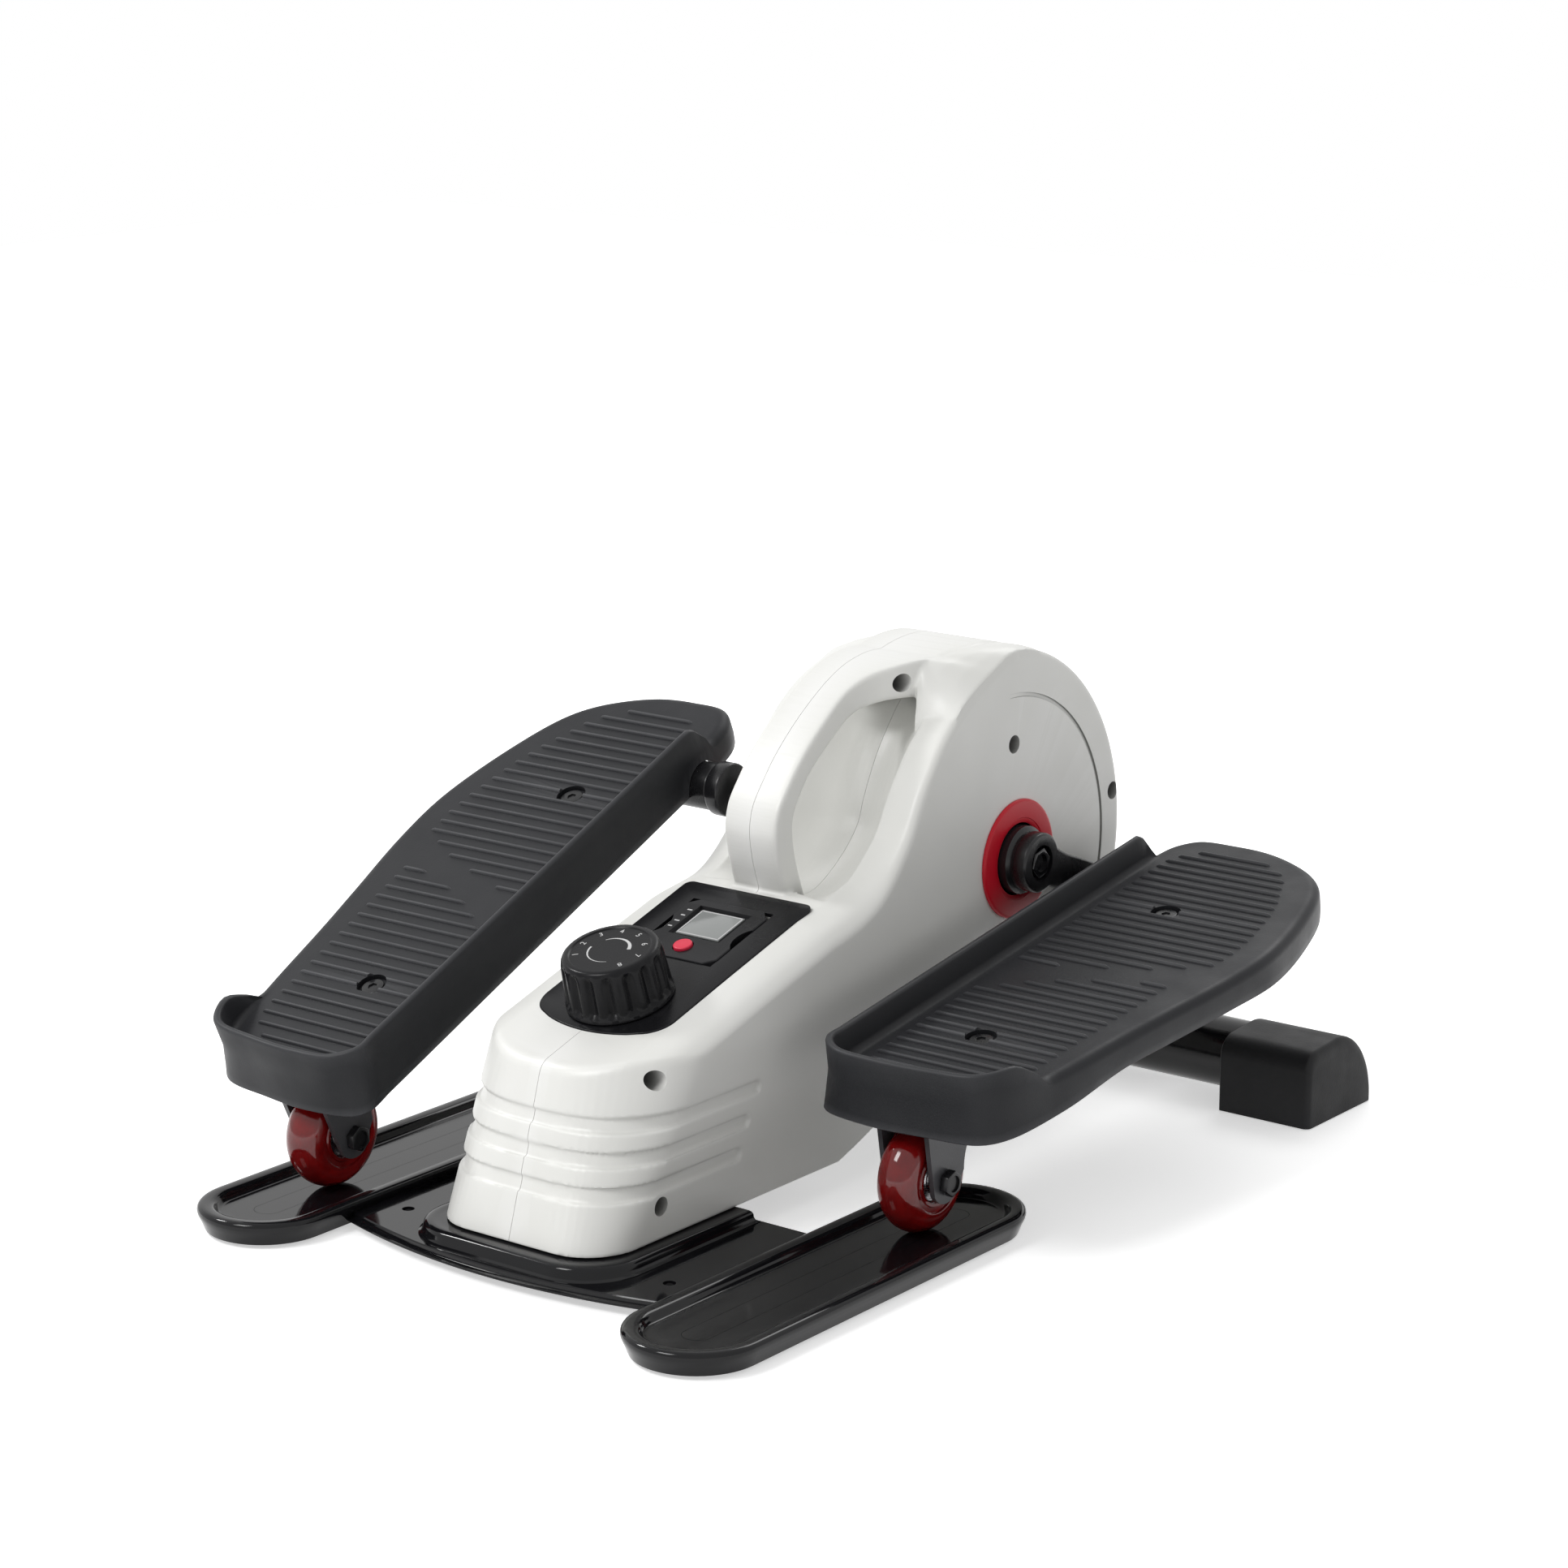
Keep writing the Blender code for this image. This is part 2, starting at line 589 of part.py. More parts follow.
def make_stabilizer():
    """The rear cross tube and its two end caps."""
    place = (STABILIZER_Y, STABILIZER_Z)
    tube_end = CAP_END_X - CAP_END_WALL - FIT
    tube = ring("tube", STABILIZER_RADIUS, STABILIZER_RADIUS - STABILIZER_WALL, -tube_end, tube_end, place)
    finished(tube, "stabilizer_tube", "tube_black")
    low_y = STABILIZER_Y - CAP_DEPTH / 2
    high_y = STABILIZER_Y + CAP_DEPTH / 2
    crest_y = STABILIZER_Y - CAP_CREST
    knee = 0.005
    outline = [(low_y, 0.0), (high_y, 0.0)]
    for across, high in arc((0.0, 0.0), 1.0, 0.0, 90.0, 9):
        outline.append((crest_y + across * (high_y - crest_y), knee + high * (CAP_HEIGHT - knee)))
    outline += arc((low_y + CAP_CORNER, CAP_HEIGHT - 0.0015 - CAP_CORNER), CAP_CORNER, 90.0, 180.0, 4)
    for side, side_name in ((-1, "left"), (1, "right")):
        rows = []
        for place_x, drawn_in in ((CAP_END_X - CAP_LENGTH, 0.001), (CAP_END_X - CAP_LENGTH + 0.001, 0.0),
                                  (CAP_END_X - CAP_EDGE, 0.0), (CAP_END_X - CAP_EDGE * 0.3, CAP_EDGE * 0.3),
                                  (CAP_END_X, CAP_EDGE)):
            edge = offset_outline(outline, drawn_in)
            rows.append([(place_x, along, max(high - drawn_in, 0.0)) for along, high in edge])
        cap = loft("cap", rows)
        bore = rod("bore", STABILIZER_RADIUS + BORE_FIT, CAP_END_X - CAP_LENGTH - 0.01, CAP_END_X - CAP_END_WALL,
                   place, segments=ROUND_MEDIUM)
        cap = cut(cap, bore)
        finished(moved(cap, Matrix.Scale(side, 4, (1, 0, 0))), f"{side_name}_end_cap", "rubber_black")


def fillet(before, corner, after, radius, steps):
    """An arc that rounds a corner between two neighbours."""
    corner = Vector(corner)
    first = (Vector(before) - corner).normalized()
    second = (Vector(after) - corner).normalized()
    half_angle = first.angle(second) / 2
    centre = corner + (first + second).normalized() * radius / sin(half_angle)
    run = radius / tan(half_angle)
    start = corner + first * run - centre
    end = corner + second * run - centre
    points = []
    for step in range(steps + 1):
        spoke = start.lerp(end, step / steps).normalized() * radius
        points.append(tuple(centre + spoke))
    return points


def nose_points(drawn_in, top_drawn_in, lowered, inset):
    """The front of the side view: the leaning nose, its rounded top corner and the start of the deck."""
    lean = NOSE_LEAN + (top_drawn_in - drawn_in) / (deck_z(DECK_FRONT_Y) - HOUSING_FOOT)
    foot_y = NOSE_FOOT_Y + drawn_in + inset * hypot(1.0, NOSE_LEAN)
    lowered += inset * hypot(1.0, DECK_SLOPE)
    foot = (foot_y, HOUSING_FOOT + inset)
    deck_rise = DECK_Z - lowered - DECK_SLOPE * DECK_Y - HOUSING_FOOT
    corner_y = (foot_y + lean * deck_rise) / (1.0 - lean * DECK_SLOPE)
    corner = (corner_y, deck_z(corner_y) - lowered)
    deck_y = DECK_Y + NOSE_TOP_CORNER
    deck = (deck_y, deck_z(deck_y) - lowered)
    return [foot] + fillet(foot, corner, deck, NOSE_ROUND - inset, 3) + [deck]


def housing_profile():
    """Side view of the housing's body behind the nose, without the grip, and each point's edge zone."""
    points = [(0.2395, deck_z(0.2395) - 0.002)] + list(SHOULDER[1:])
    zones = ["deck"] + ["shoulder"] * (len(SHOULDER) - 1)
    rim = drum_arc(DRUM_RADIUS, DRUM_START_DEGREES, DRUM_END_DEGREES, 22)
    foot = [(UNDERSIDE_Y, HOUSING_FOOT + 0.0015), (UNDERSIDE_Y - 0.005, HOUSING_FOOT)]
    return points + rim + foot, zones + ["drum"] * len(rim) + ["foot"] * len(foot)


def edge_relief(side, zone, along, share):
    """How far the skin has drawn in at a share of the half width, for a point's zone along the side view."""
    place_x = share * HOUSING_HALF_WIDTH
    if zone == "foot":
        return 0.0
    if zone in ("nose", "nose top"):
        radius = NOSE_CORNER if zone == "nose" else NOSE_TOP_CORNER
        over = max(place_x - HOUSING_HALF_WIDTH + radius, 0.0)
        return radius - sqrt(max(radius ** 2 - over ** 2, 0.0))
    over = max(place_x - HOUSING_HALF_WIDTH + HOUSING_EDGE, 0.0)
    plain = HOUSING_EDGE - sqrt(max(HOUSING_EDGE ** 2 - over ** 2, 0.0))
    domed = DECK_DOME if zone == "deck" or side > 0 else DRUM_DOME if zone == "drum" else SHOULDER_DOME
    soft = 0.0
    for (low, low_drop), (high, high_drop) in zip(domed, domed[1:]):
        if low <= share <= high:
            soft = low_drop + (high_drop - low_drop) * (share - low) / (high - low)
    if side > 0 and zone != "deck":
        fade = max(0.0, 1.0 - max(along - SHOULDER[0][0], 0.0) / DOME_FADE) if zone == "shoulder" else 0.0
        return plain + (soft - plain) * fade
    return soft


def housing_body(side, inset, overlap):
    """The solid of one half of the housing: rings across its width that draw in towards the flank."""
    points, zones = housing_profile()
    front = nose_points(0.0, 0.0, 0.0, 0.0)
    step = 0.001
    near = offset_outline(front + points, step)[len(front):]
    rows = []
    for share in (-overlap / HOUSING_HALF_WIDTH, *EDGE_SHARES):
        drawn_in = edge_relief(side, "nose", 0.0, share)
        top_drawn_in = edge_relief(side, "nose top", 0.0, share)
        lowered = edge_relief(side, "deck", 0.0, share)
        place_x = share * (HOUSING_HALF_WIDTH - inset)
        row = [(place_x, along, high) for along, high in nose_points(drawn_in, top_drawn_in, lowered,
                                                                            inset)]
        for (along, high), (near_y, near_z), zone in zip(points, near, zones):
            reach = (edge_relief(side, zone, along, share) + inset) / step
            row.append((place_x, along + (near_y - along) * reach, high + (near_z - high) * reach))
        rows.append(row)
    body = loft("body", rows)
    shape = bmesh.new()
    shape.from_mesh(body.data)
    everything = list(shape.verts) + list(shape.edges) + list(shape.faces)
    bmesh.ops.bisect_plane(shape, geom=everything, dist=0.0000001, plane_co=(0.0, 0.0, FLANK_DRAFT_TOP),
                           plane_no=(0.0, 0.0, 1.0))
    for vertex in shape.verts:
        below = max(FLANK_DRAFT_TOP - vertex.co.z, 0.0)
        if vertex.co.x > 0.0:
            vertex.co.x *= 1.0 - below * FLANK_DRAFT / HOUSING_HALF_WIDTH
    shape.normal_update()
    bmesh.ops.triangulate(shape, faces=shape.faces)
    shape.to_mesh(body.data)
    shape.free()
    return body


def loft(name, rows):
    """A closed solid through rings of points that match one another, capped at both ends."""
    shape = bmesh.new()
    rings = [[shape.verts.new(point) for point in row] for row in rows]
    count = len(rings[0])
    for first, second in zip(rings, rings[1:]):
        for index in range(count):
            after = (index + 1) % count
            shape.faces.new((first[index], first[after], second[after], second[index]))
    shape.faces.new(rings[0])
    shape.faces.new(rings[-1])
    shape.normal_update()
    bmesh.ops.triangulate(shape, faces=shape.faces)
    bmesh.ops.recalc_face_normals(shape, faces=shape.faces)
    return mesh_object(name, shape)


def scoop(inset):
    """The hollow in front of the drum where the fingers go, deepest on the middle plane."""
    rows = []
    for share in (None, *SCOOP_SHARES):
        place_x = -MIDDLE_OVERLAP - 0.002 if share is None else share * SCOOP_HALF_WIDTH
        ease = (share or 0.0) ** 2
        row = []
        for back, edge in zip(SCOOP_BACK, SCOOP_EDGE):
            place_y = back[0] + (edge[0] - back[0]) * ease + inset
            place_z = back[1] + (edge[1] - back[1]) * ease - inset
            row.append((place_x, place_y, place_z))
        for place_y, place_z in SCOOP_FRONT:
            row.append((place_x, place_y, place_z))
        row[-2] = (place_x, SCOOP_FRONT[0][0], SCOOP_FRONT[0][1] + inset)
        row[-3] = (place_x, row[-3][1], row[-3][2] + 2 * inset)
        rows.append(row)
    return loft("scoop", rows)


def grip_ring(outer, inner, half_width):
    """A rounded section across the grip between its outer and inner curve."""
    outer = Vector(outer)
    inner = Vector(inner)
    middle = (outer + inner) / 2
    half_depth = (outer - inner).length / 2
    upwards = (outer - inner).normalized()
    corner = min(GRIP_EDGE, half_depth * 0.85)
    section = []
    for quarter, (across, high) in enumerate(((1, 1), (-1, 1), (-1, -1), (1, -1))):
        centre = (across * (half_width - corner), high * (half_depth - corner))
        section += arc(centre, corner, quarter * 90.0, quarter * 90.0 + 90.0, 2)
    return [(across, *(middle + upwards * high)) for across, high in section]


def grip(side):
    """The hooped grip, which rises from the deck and runs into the crown; only its right edge flares over the drum."""
    rows = []
    for outer, inner, half_width in GRIP_STATIONS:
        rows.append(grip_ring(outer, inner, half_width if side > 0 else GRIP_HALF_WIDTH))
    start, end = CROWN_DEGREES
    for step in range(CROWN_STEPS + 1):
        angle = start + (end - start) * step / CROWN_STEPS
        outer = drum_arc(DRUM_RADIUS + CROWN_RISE, angle, angle, 1)[0]
        inner = drum_arc(DRUM_RADIUS - CROWN_DEPTH, angle, angle, 1)[0]
        flared = CROWN_HALF_WIDTH + CROWN_FLARE * step / CROWN_STEPS
        rows.append(grip_ring(outer, inner, flared if side > 0 else GRIP_HALF_WIDTH))
    return loft("grip", rows)


def mouth():
    """The opening under the housing, which follows the flank's foot and the nose's corner."""
    foot_half = HOUSING_HALF_WIDTH - FLANK_DRAFT * (FLANK_DRAFT_TOP - HOUSING_FOOT)
    corner = (foot_half - NOSE_CORNER, NOSE_FOOT_Y + NOSE_CORNER)
    outline = [(-0.03, NOSE_FOOT_Y + MOUTH_MARGIN)] + arc(corner, NOSE_CORNER - MOUTH_MARGIN, -90.0, 0.0, 6)
    rear = UNDERSIDE_Y - MOUTH_MARGIN
    return slab("mouth", outline + [(foot_half - MOUTH_MARGIN, rear), (-0.03, rear)], 0.0, MOUTH_TOP)


def make_half_shell(side, side_name):
    """One half of the housing, hollow, open underneath and split on the middle plane."""
    body = cut(housing_body(side, 0.0, MIDDLE_OVERLAP), scoop(0.0))
    inside = housing_body(side, WALL, MIDDLE_OVERLAP + 0.008)
    inside = join(inside, mouth())
    inside = cut(inside, scoop(WALL))
    for place in SCREW_PLACES[:-1]:
        inside = cut(inside, rod("boss", BOSS_RADIUS, -0.06, HOUSING_HALF_WIDTH + 0.01, place))
    body = cut(body, inside)
    body = join(body, grip(side))
    slot_half = SPINE_HALF_WIDTH + 0.002
    post_half = POST_HALF_WIDTH + 0.002
    spine_slot = box("slot", (-0.04, UNDERSIDE_Y - 0.03, 0.0), (slot_half, 0.300, SPINE_TOP + 0.006))
    post_slot = box("slot", (-0.04, AXLE_Y - 0.018, 0.0), (post_half, AXLE_Y + 0.018, 0.06))
    axle_hole = rod("axle_hole", DISC_BORE + 0.002, 0.04, ARM_FACE_X, (AXLE_Y, AXLE_Z), segments=ROUND_MEDIUM)
    body = cut(body, spine_slot, post_slot, axle_hole)
    panel = slab("recess", panel_outline(FIT), -PANEL_RECESS, 0.02)
    display = box("opening", (-0.06, DISPLAY_PLACE - DISPLAY_HALF_LENGTH - FIT, -0.03),
                  (DISPLAY_HALF_WIDTH + FIT, DISPLAY_PLACE + DISPLAY_HALF_LENGTH + FIT, 0.02))
    shaft = rod("shaft", KNOB_DRUM_RADIUS + 0.001, -0.03, 0.03, (0.0, KNOB_PLACE), "Z")
    body = cut(body, moved(panel, DECK_FRAME), moved(display, DECK_FRAME), moved(shaft, DECK_FRAME))
    for number, place in enumerate(SCREW_PLACES):
        if side > 0:
            recess_x = screw_head_x(number)
            body = cut(body, rod("shank", SCREW_SHANK_RADIUS + BORE_FIT, -0.06, 0.08, place, segments=12),
                       rod("recess", SCREW_HEAD_RADIUS + BORE_FIT, recess_x, ARM_FACE_X, place, segments=12))
        else:
            depth = SCREW_LENGTH - screw_head_x(number) + 0.002
            body = cut(body, rod("pilot", SCREW_SHANK_RADIUS + BORE_FIT, -0.06, depth, place, segments=12))
    body = cut(body, box("parting", (-0.05, -0.1, -0.1), (FIT / 2, 0.7, 0.4)))
    finished(moved(body, Matrix.Scale(side, 4, (1, 0, 0))), f"{side_name}_shell", "housing_white")


def screw_head_x(number):
    """Where the seat of a housing screw's head lies, from the middle plane."""
    on_grip = number == len(SCREW_PLACES) - 1
    return 0.010 if on_grip else 0.020


def make_housing_screws():
    """The screws that pull the two halves together from the right-hand side."""
    for number, place in enumerate(SCREW_PLACES):
        seat = screw_head_x(number) + FIT
        screw = rod("screw", SCREW_SHANK_RADIUS, seat - SCREW_LENGTH, seat + 0.0005, place, segments=12)
        head = rod("head", SCREW_HEAD_RADIUS, seat, seat + 0.003, place, segments=12)
        finished(join(screw, head), f"housing_screw_{number + 1}", "frame_black")


def make_axle_discs():
    """The red ring on each flank round the crank."""
    start = HOUSING_HALF_WIDTH + FIT
    for side, side_name in ((-1, "left"), (1, "right")):
        corners = ((DISC_RADIUS, start), (DISC_RADIUS, start + DISC_THICKNESS * 0.6),
                   (DISC_RADIUS - 0.002, start + DISC_THICKNESS), (DISC_BORE, start + DISC_THICKNESS), (DISC_BORE, start))
        disc = turned("disc", corners, (AXLE_Y, AXLE_Z), ROUND_LARGE)
        finished(moved(disc, Matrix.Scale(side, 4, (1, 0, 0))), f"{side_name}_axle_disc", "disc_red")


def make_main_frame():
    """The welded steel frame: spine, post, crank tube, flywheel lugs and brake lugs."""
    spine_end = STABILIZER_Y - STABILIZER_RADIUS - FIT
    frame = box("spine", (-SPINE_HALF_WIDTH, SPINE_FRONT, SPINE_BOTTOM), (SPINE_HALF_WIDTH, spine_end, SPINE_TOP))
    post = box("post", (-POST_HALF_WIDTH, AXLE_Y - 0.015, SPINE_TOP - 0.005), (POST_HALF_WIDTH, AXLE_Y + 0.015, AXLE_Z))
    tube = rod("tube", BRACKET_TUBE_RADIUS, -BRACKET_TUBE_HALF, BRACKET_TUBE_HALF, (AXLE_Y, AXLE_Z),
               segments=ROUND_MEDIUM)
    frame = join(frame, post, tube)
    inner = SPINE_HALF_WIDTH - 0.001 - LUG_THICKNESS
    for side in (-1, 1):
        low_x = min(side * inner, side * (inner + LUG_THICKNESS))
        high_x = max(side * inner, side * (inner + LUG_THICKNESS))
        lug_top = arc((FLYWHEEL_Y, FLYWHEEL_Z), LUG_HALF_LENGTH, 0.0, 180.0, 8)
        lug = side_slab("lug", lug_top + [(FLYWHEEL_Y - LUG_HALF_LENGTH, SPINE_TOP - 0.005),
                                          (FLYWHEEL_Y + LUG_HALF_LENGTH, SPINE_TOP - 0.005)], low_x, high_x)
        ear_top = arc((BRAKE_PIVOT_Y, BRAKE_PIVOT_Z), 0.007, 0.0, 180.0, 6)
        ear = side_slab("ear", ear_top + [(BRAKE_PIVOT_Y - 0.007, SPINE_TOP - 0.005),
                                          (BRAKE_PIVOT_Y + 0.007, SPINE_TOP - 0.005)], low_x, high_x)
        frame = join(frame, lug, ear)
    frame = join(frame, box("stop", (-CABLE_STOP_HALF_WIDTH, CABLE_STOP_Y, SPINE_TOP - 0.005),
                            (CABLE_STOP_HALF_WIDTH, CABLE_STOP_Y + LUG_THICKNESS, CABLE_STOP_Z + 0.005)))
    crank_bore = rod("bore", AXLE_RADIUS + 0.003, -0.05, 0.05, (AXLE_Y, AXLE_Z), segments=ROUND_SMALL)
    frame = cut(frame, crank_bore)
    for side in (-1, 1):
        low_x = min(side * (BRACKET_TUBE_HALF - BEARING_WIDTH), side * (BRACKET_TUBE_HALF + 0.01))
        high_x = max(side * (BRACKET_TUBE_HALF - BEARING_WIDTH), side * (BRACKET_TUBE_HALF + 0.01))
        frame = cut(frame, rod("seat", BEARING_RADIUS + BORE_FIT, low_x, high_x, (AXLE_Y, AXLE_Z),
                               segments=ROUND_MEDIUM))
    flywheel_bore = rod("bore", FLYWHEEL_AXLE_RADIUS + BORE_FIT, -0.05, 0.05, (FLYWHEEL_Y, FLYWHEEL_Z))
    pin_bore = rod("bore", BRAKE_PIN_RADIUS + BORE_FIT, -0.05, 0.05, (BRAKE_PIVOT_Y, BRAKE_PIVOT_Z), segments=12)
    frame = cut(frame, flywheel_bore, pin_bore)
    finished(frame, "main_frame", "frame_black")


def make_crank(carrier):
    """The crank axle with its pulley, two arms half a turn apart and their bolts."""
    place = (AXLE_Y, AXLE_Z)
    arm_back = ARM_FACE_X - ARM_THICKNESS
    bolt_seat = ARM_FACE_X - CRANK_BOLT_HEAD - 2 * FIT
    axle_end = bolt_seat - FIT
    axle = rod("axle", AXLE_RADIUS, -axle_end, axle_end, place, segments=ROUND_SMALL)
    bolt_depth = 0.020
    for side, side_name in ((-1, "left"), (1, "right")):
        low_x, high_x = sorted((side * (axle_end - bolt_depth), side * (axle_end + 0.01)))
        axle = cut(axle, rod("thread", 0.004 + BORE_FIT, low_x, high_x, place, segments=12))
        bearing_low, bearing_high = sorted((side * (BRACKET_TUBE_HALF - BEARING_WIDTH + FIT),
                                            side * BRACKET_TUBE_HALF))
        bearing = ring("bearing", BEARING_RADIUS, AXLE_RADIUS + BORE_FIT, bearing_low, bearing_high, place)
        finished(bearing, f"{side_name}_crank_bearing", "bright_steel")
        head = arc((0.0, 0.0), ARM_HEAD_RADIUS, 40.0, 320.0, 16)
        tip = arc((CRANK_RADIUS, 0.0), ARM_EYE_RADIUS, -130.0, 130.0, 14)
        waist = CRANK_RADIUS / 2
        arm = side_slab("arm", head + [(waist, -ARM_WAIST)] + tip + [(waist, ARM_WAIST)], arm_back, ARM_FACE_X)
        arm = rounded(arm, 0.0015, 1)
        middle = (0.0, 0.0)
        hub = rod("hub", ARM_HUB_RADIUS, ARM_HUB_X, arm_back + 0.001, middle, segments=ROUND_MEDIUM)
        arm = join(arm, hub)
        bore = rod("bore", AXLE_RADIUS + BORE_FIT, 0.0, ARM_FACE_X + 0.01, middle, segments=ROUND_SMALL)
        seat = rod("seat", CRANK_BOLT_RADIUS + 0.0012, bolt_seat, ARM_FACE_X + 0.01, middle, segments=ROUND_MEDIUM)
        arm = cut(arm, bore, seat)
        angle = radians(CRANK_DEGREES) if side > 0 else radians(CRANK_DEGREES) + pi
        moved(arm, Matrix.Translation((0.0, *place)) @ Matrix.Rotation(angle, 4, "X"))
        finished(moved(arm, Matrix.Scale(side, 4, (1, 0, 0))), f"{side_name}_crank_arm", "frame_black", carrier)
        bolt = rod("bolt", 0.004, axle_end - bolt_depth + FIT, bolt_seat + 0.001, place, segments=12)
        bolt_head = rod("head", CRANK_BOLT_RADIUS, bolt_seat + FIT, bolt_seat + FIT + CRANK_BOLT_HEAD, place,
                        segments=HEXAGON)
        bolt = join(bolt, bolt_head)
        finished(moved(bolt, Matrix.Scale(side, 4, (1, 0, 0))), f"{side_name}_crank_bolt", "bright_steel", carrier)
    finished(axle, "crank_axle", "bright_steel", carrier)
    web = 0.003
    inner = AXLE_RADIUS + BORE_FIT
    hub_radius = 0.016
    rim = PULLEY_RADIUS - 0.006
    low = PULLEY_X
    high = PULLEY_X + PULLEY_WIDTH
    middle = (low + high) / 2
    corners = ((PULLEY_RADIUS, low), (rim, low), (rim, middle - web / 2), (hub_radius, middle - web / 2),
               (hub_radius, low - 0.006), (inner, low - 0.006), (inner, high), (hub_radius, high),
               (hub_radius, middle + web / 2), (rim, middle + web / 2), (rim, high), (PULLEY_RADIUS, high))
    finished(turned("pulley", corners, place, ROUND_LARGE), "drive_pulley", "frame_black", carrier)


def belt_outline(extra):
    """The belt's loop round the two pulleys, in side view, at a height above their rims."""
    span = hypot(AXLE_Y - FLYWHEEL_Y, AXLE_Z - FLYWHEEL_Z)
    lean = degrees(atan2(AXLE_Z - FLYWHEEL_Z, AXLE_Y - FLYWHEEL_Y))
    wrap = degrees(asin((PULLEY_RADIUS - SMALL_PULLEY_RADIUS) / span))
    large = arc((AXLE_Y, AXLE_Z), PULLEY_RADIUS + extra, lean - 90.0 - wrap, lean + 90.0 + wrap, 28)
    small = arc((FLYWHEEL_Y, FLYWHEEL_Z), SMALL_PULLEY_RADIUS + extra, lean + 90.0 + wrap, lean + 270.0 - wrap, 10)
    return large + small


def make_belt():
    """The flat ribbed belt from the drive pulley to the flywheel's pulley."""
    low = PULLEY_X + 0.001
    high = PULLEY_X + PULLEY_WIDTH - 0.001
    belt = side_slab("belt", belt_outline(FIT + BELT_THICKNESS), low, high)
    finished(cut(belt, side_slab("inside", belt_outline(FIT), low - 0.01, high + 0.01)), "drive_belt", "rubber_black")


def make_flywheel(carrier):
    """The flywheel on its axle with the small belt pulley."""
    place = (FLYWHEEL_Y, FLYWHEEL_Z)
    half = FLYWHEEL_HALF_WIDTH
    bore = FLYWHEEL_AXLE_RADIUS + BORE_FIT
    lug_face = SPINE_HALF_WIDTH - 0.001 - LUG_THICKNESS
    hub = lug_face - FIT
    rim = FLYWHEEL_RADIUS - 0.008
    corners = ((FLYWHEEL_RADIUS, -half), (rim, -half), (rim, -half / 2), (0.014, -half / 2), (0.014, -hub),
               (bore, -hub), (bore, hub), (0.014, hub), (0.014, half / 2), (rim, half / 2), (rim, half),
               (FLYWHEEL_RADIUS, half))
    finished(turned("wheel", corners, place, ROUND_LARGE), "flywheel", "bright_steel", carrier)
    axle_start = -(SPINE_HALF_WIDTH + 0.003)
    axle_end = PULLEY_X + PULLEY_WIDTH + 0.004
    axle = rod("axle", FLYWHEEL_AXLE_RADIUS, axle_start, axle_end, place)
    finished(axle, "flywheel_axle", "bright_steel", carrier)
    low = PULLEY_X
    high = PULLEY_X + PULLEY_WIDTH
    collar = SPINE_HALF_WIDTH - 0.001 + FIT
    corners = ((SMALL_PULLEY_RADIUS, low), (0.010, low), (0.010, collar), (bore, collar), (bore, high),
               (SMALL_PULLEY_RADIUS, high))
    finished(turned("small", corners, place, ROUND_MEDIUM), "flywheel_pulley", "frame_black", carrier)


def make_brake(carrier):
    """The magnet bracket that swings towards the flywheel, its pin, spring and magnet."""
    place = (FLYWHEEL_Y, FLYWHEEL_Z)
    pivot = (BRAKE_PIVOT_Y, BRAKE_PIVOT_Z)
    inner = SPINE_HALF_WIDTH - 0.001
    pin = rod("pin", BRAKE_PIN_RADIUS, -inner - 0.002, inner + 0.002, pivot, segments=12)
    finished(pin, "brake_pin", "bright_steel")
    magnet_radius = FLYWHEEL_RADIUS + BRAKE_GAP
    strap_radius = magnet_radius + MAGNET_THICKNESS + FIT
    outer = arc(place, strap_radius + BRACKET_THICKNESS, 160.0, 214.0, 9)
    inner_edge = arc(place, strap_radius, 218.0, 160.0, 9)
    eye = arc(pivot, 0.0065, 200.0, 380.0, 6)
    strap = side_slab("strap", outer + eye + inner_edge, -BRACKET_HALF_WIDTH, BRACKET_HALF_WIDTH)
    bore = rod("bore", BRAKE_PIN_RADIUS + BORE_FIT, -0.05, 0.05, pivot, segments=12)
    finished(cut(strap, bore), "magnet_bracket", "frame_black", carrier)
    magnet = arc(place, magnet_radius, 166.0, 192.0, 4) + arc(place, magnet_radius + MAGNET_THICKNESS, 192.0, 166.0, 4)
    magnet = side_slab("magnet", magnet, -BRACKET_HALF_WIDTH + 0.001, BRACKET_HALF_WIDTH - 0.001)
    finished(magnet, "brake_magnet", "magnet_grey", carrier)
    coil_radius = BRAKE_PIN_RADIUS + FIT + SPRING_WIRE
    start = BRACKET_HALF_WIDTH + FIT + SPRING_WIRE
    pitch = 2 * SPRING_WIRE + 0.0003
    steps = 8
    points = []
    for step in range(SPRING_TURNS * steps + 1):
        angle = 2 * pi * step / steps
        points.append((start + pitch * step / steps, BRAKE_PIVOT_Y + coil_radius * cos(angle),
                       BRAKE_PIVOT_Z + coil_radius * sin(angle)))
    finished(wire("coil", points, SPRING_WIRE, 1), "return_spring", "bright_steel")


def make_cable():
    """The sheathed tension cable from under the knob's drum to its stop in front of the magnet bracket."""
    drum = DECK_FRAME @ Vector((0.0, KNOB_PLACE + KNOB_DRUM_RADIUS + CABLE_RADIUS + FIT, -KNOB_SHAFT_LENGTH + 0.004))
    end = Vector((0.0, CABLE_STOP_Y - FIT, CABLE_STOP_Z))
    ahead = end - Vector((0.0, 0.006, 0.0))
    points = []
    steps = 8
    for step in range(steps + 1):
        share = step / steps
        point = drum.lerp(ahead, share)
        point.z -= 0.003 * sin(pi * share)
        points.append(point)
    points.append(end)
    finished(wire("cable", points, CABLE_RADIUS), "tension_cable", "rubber_black")


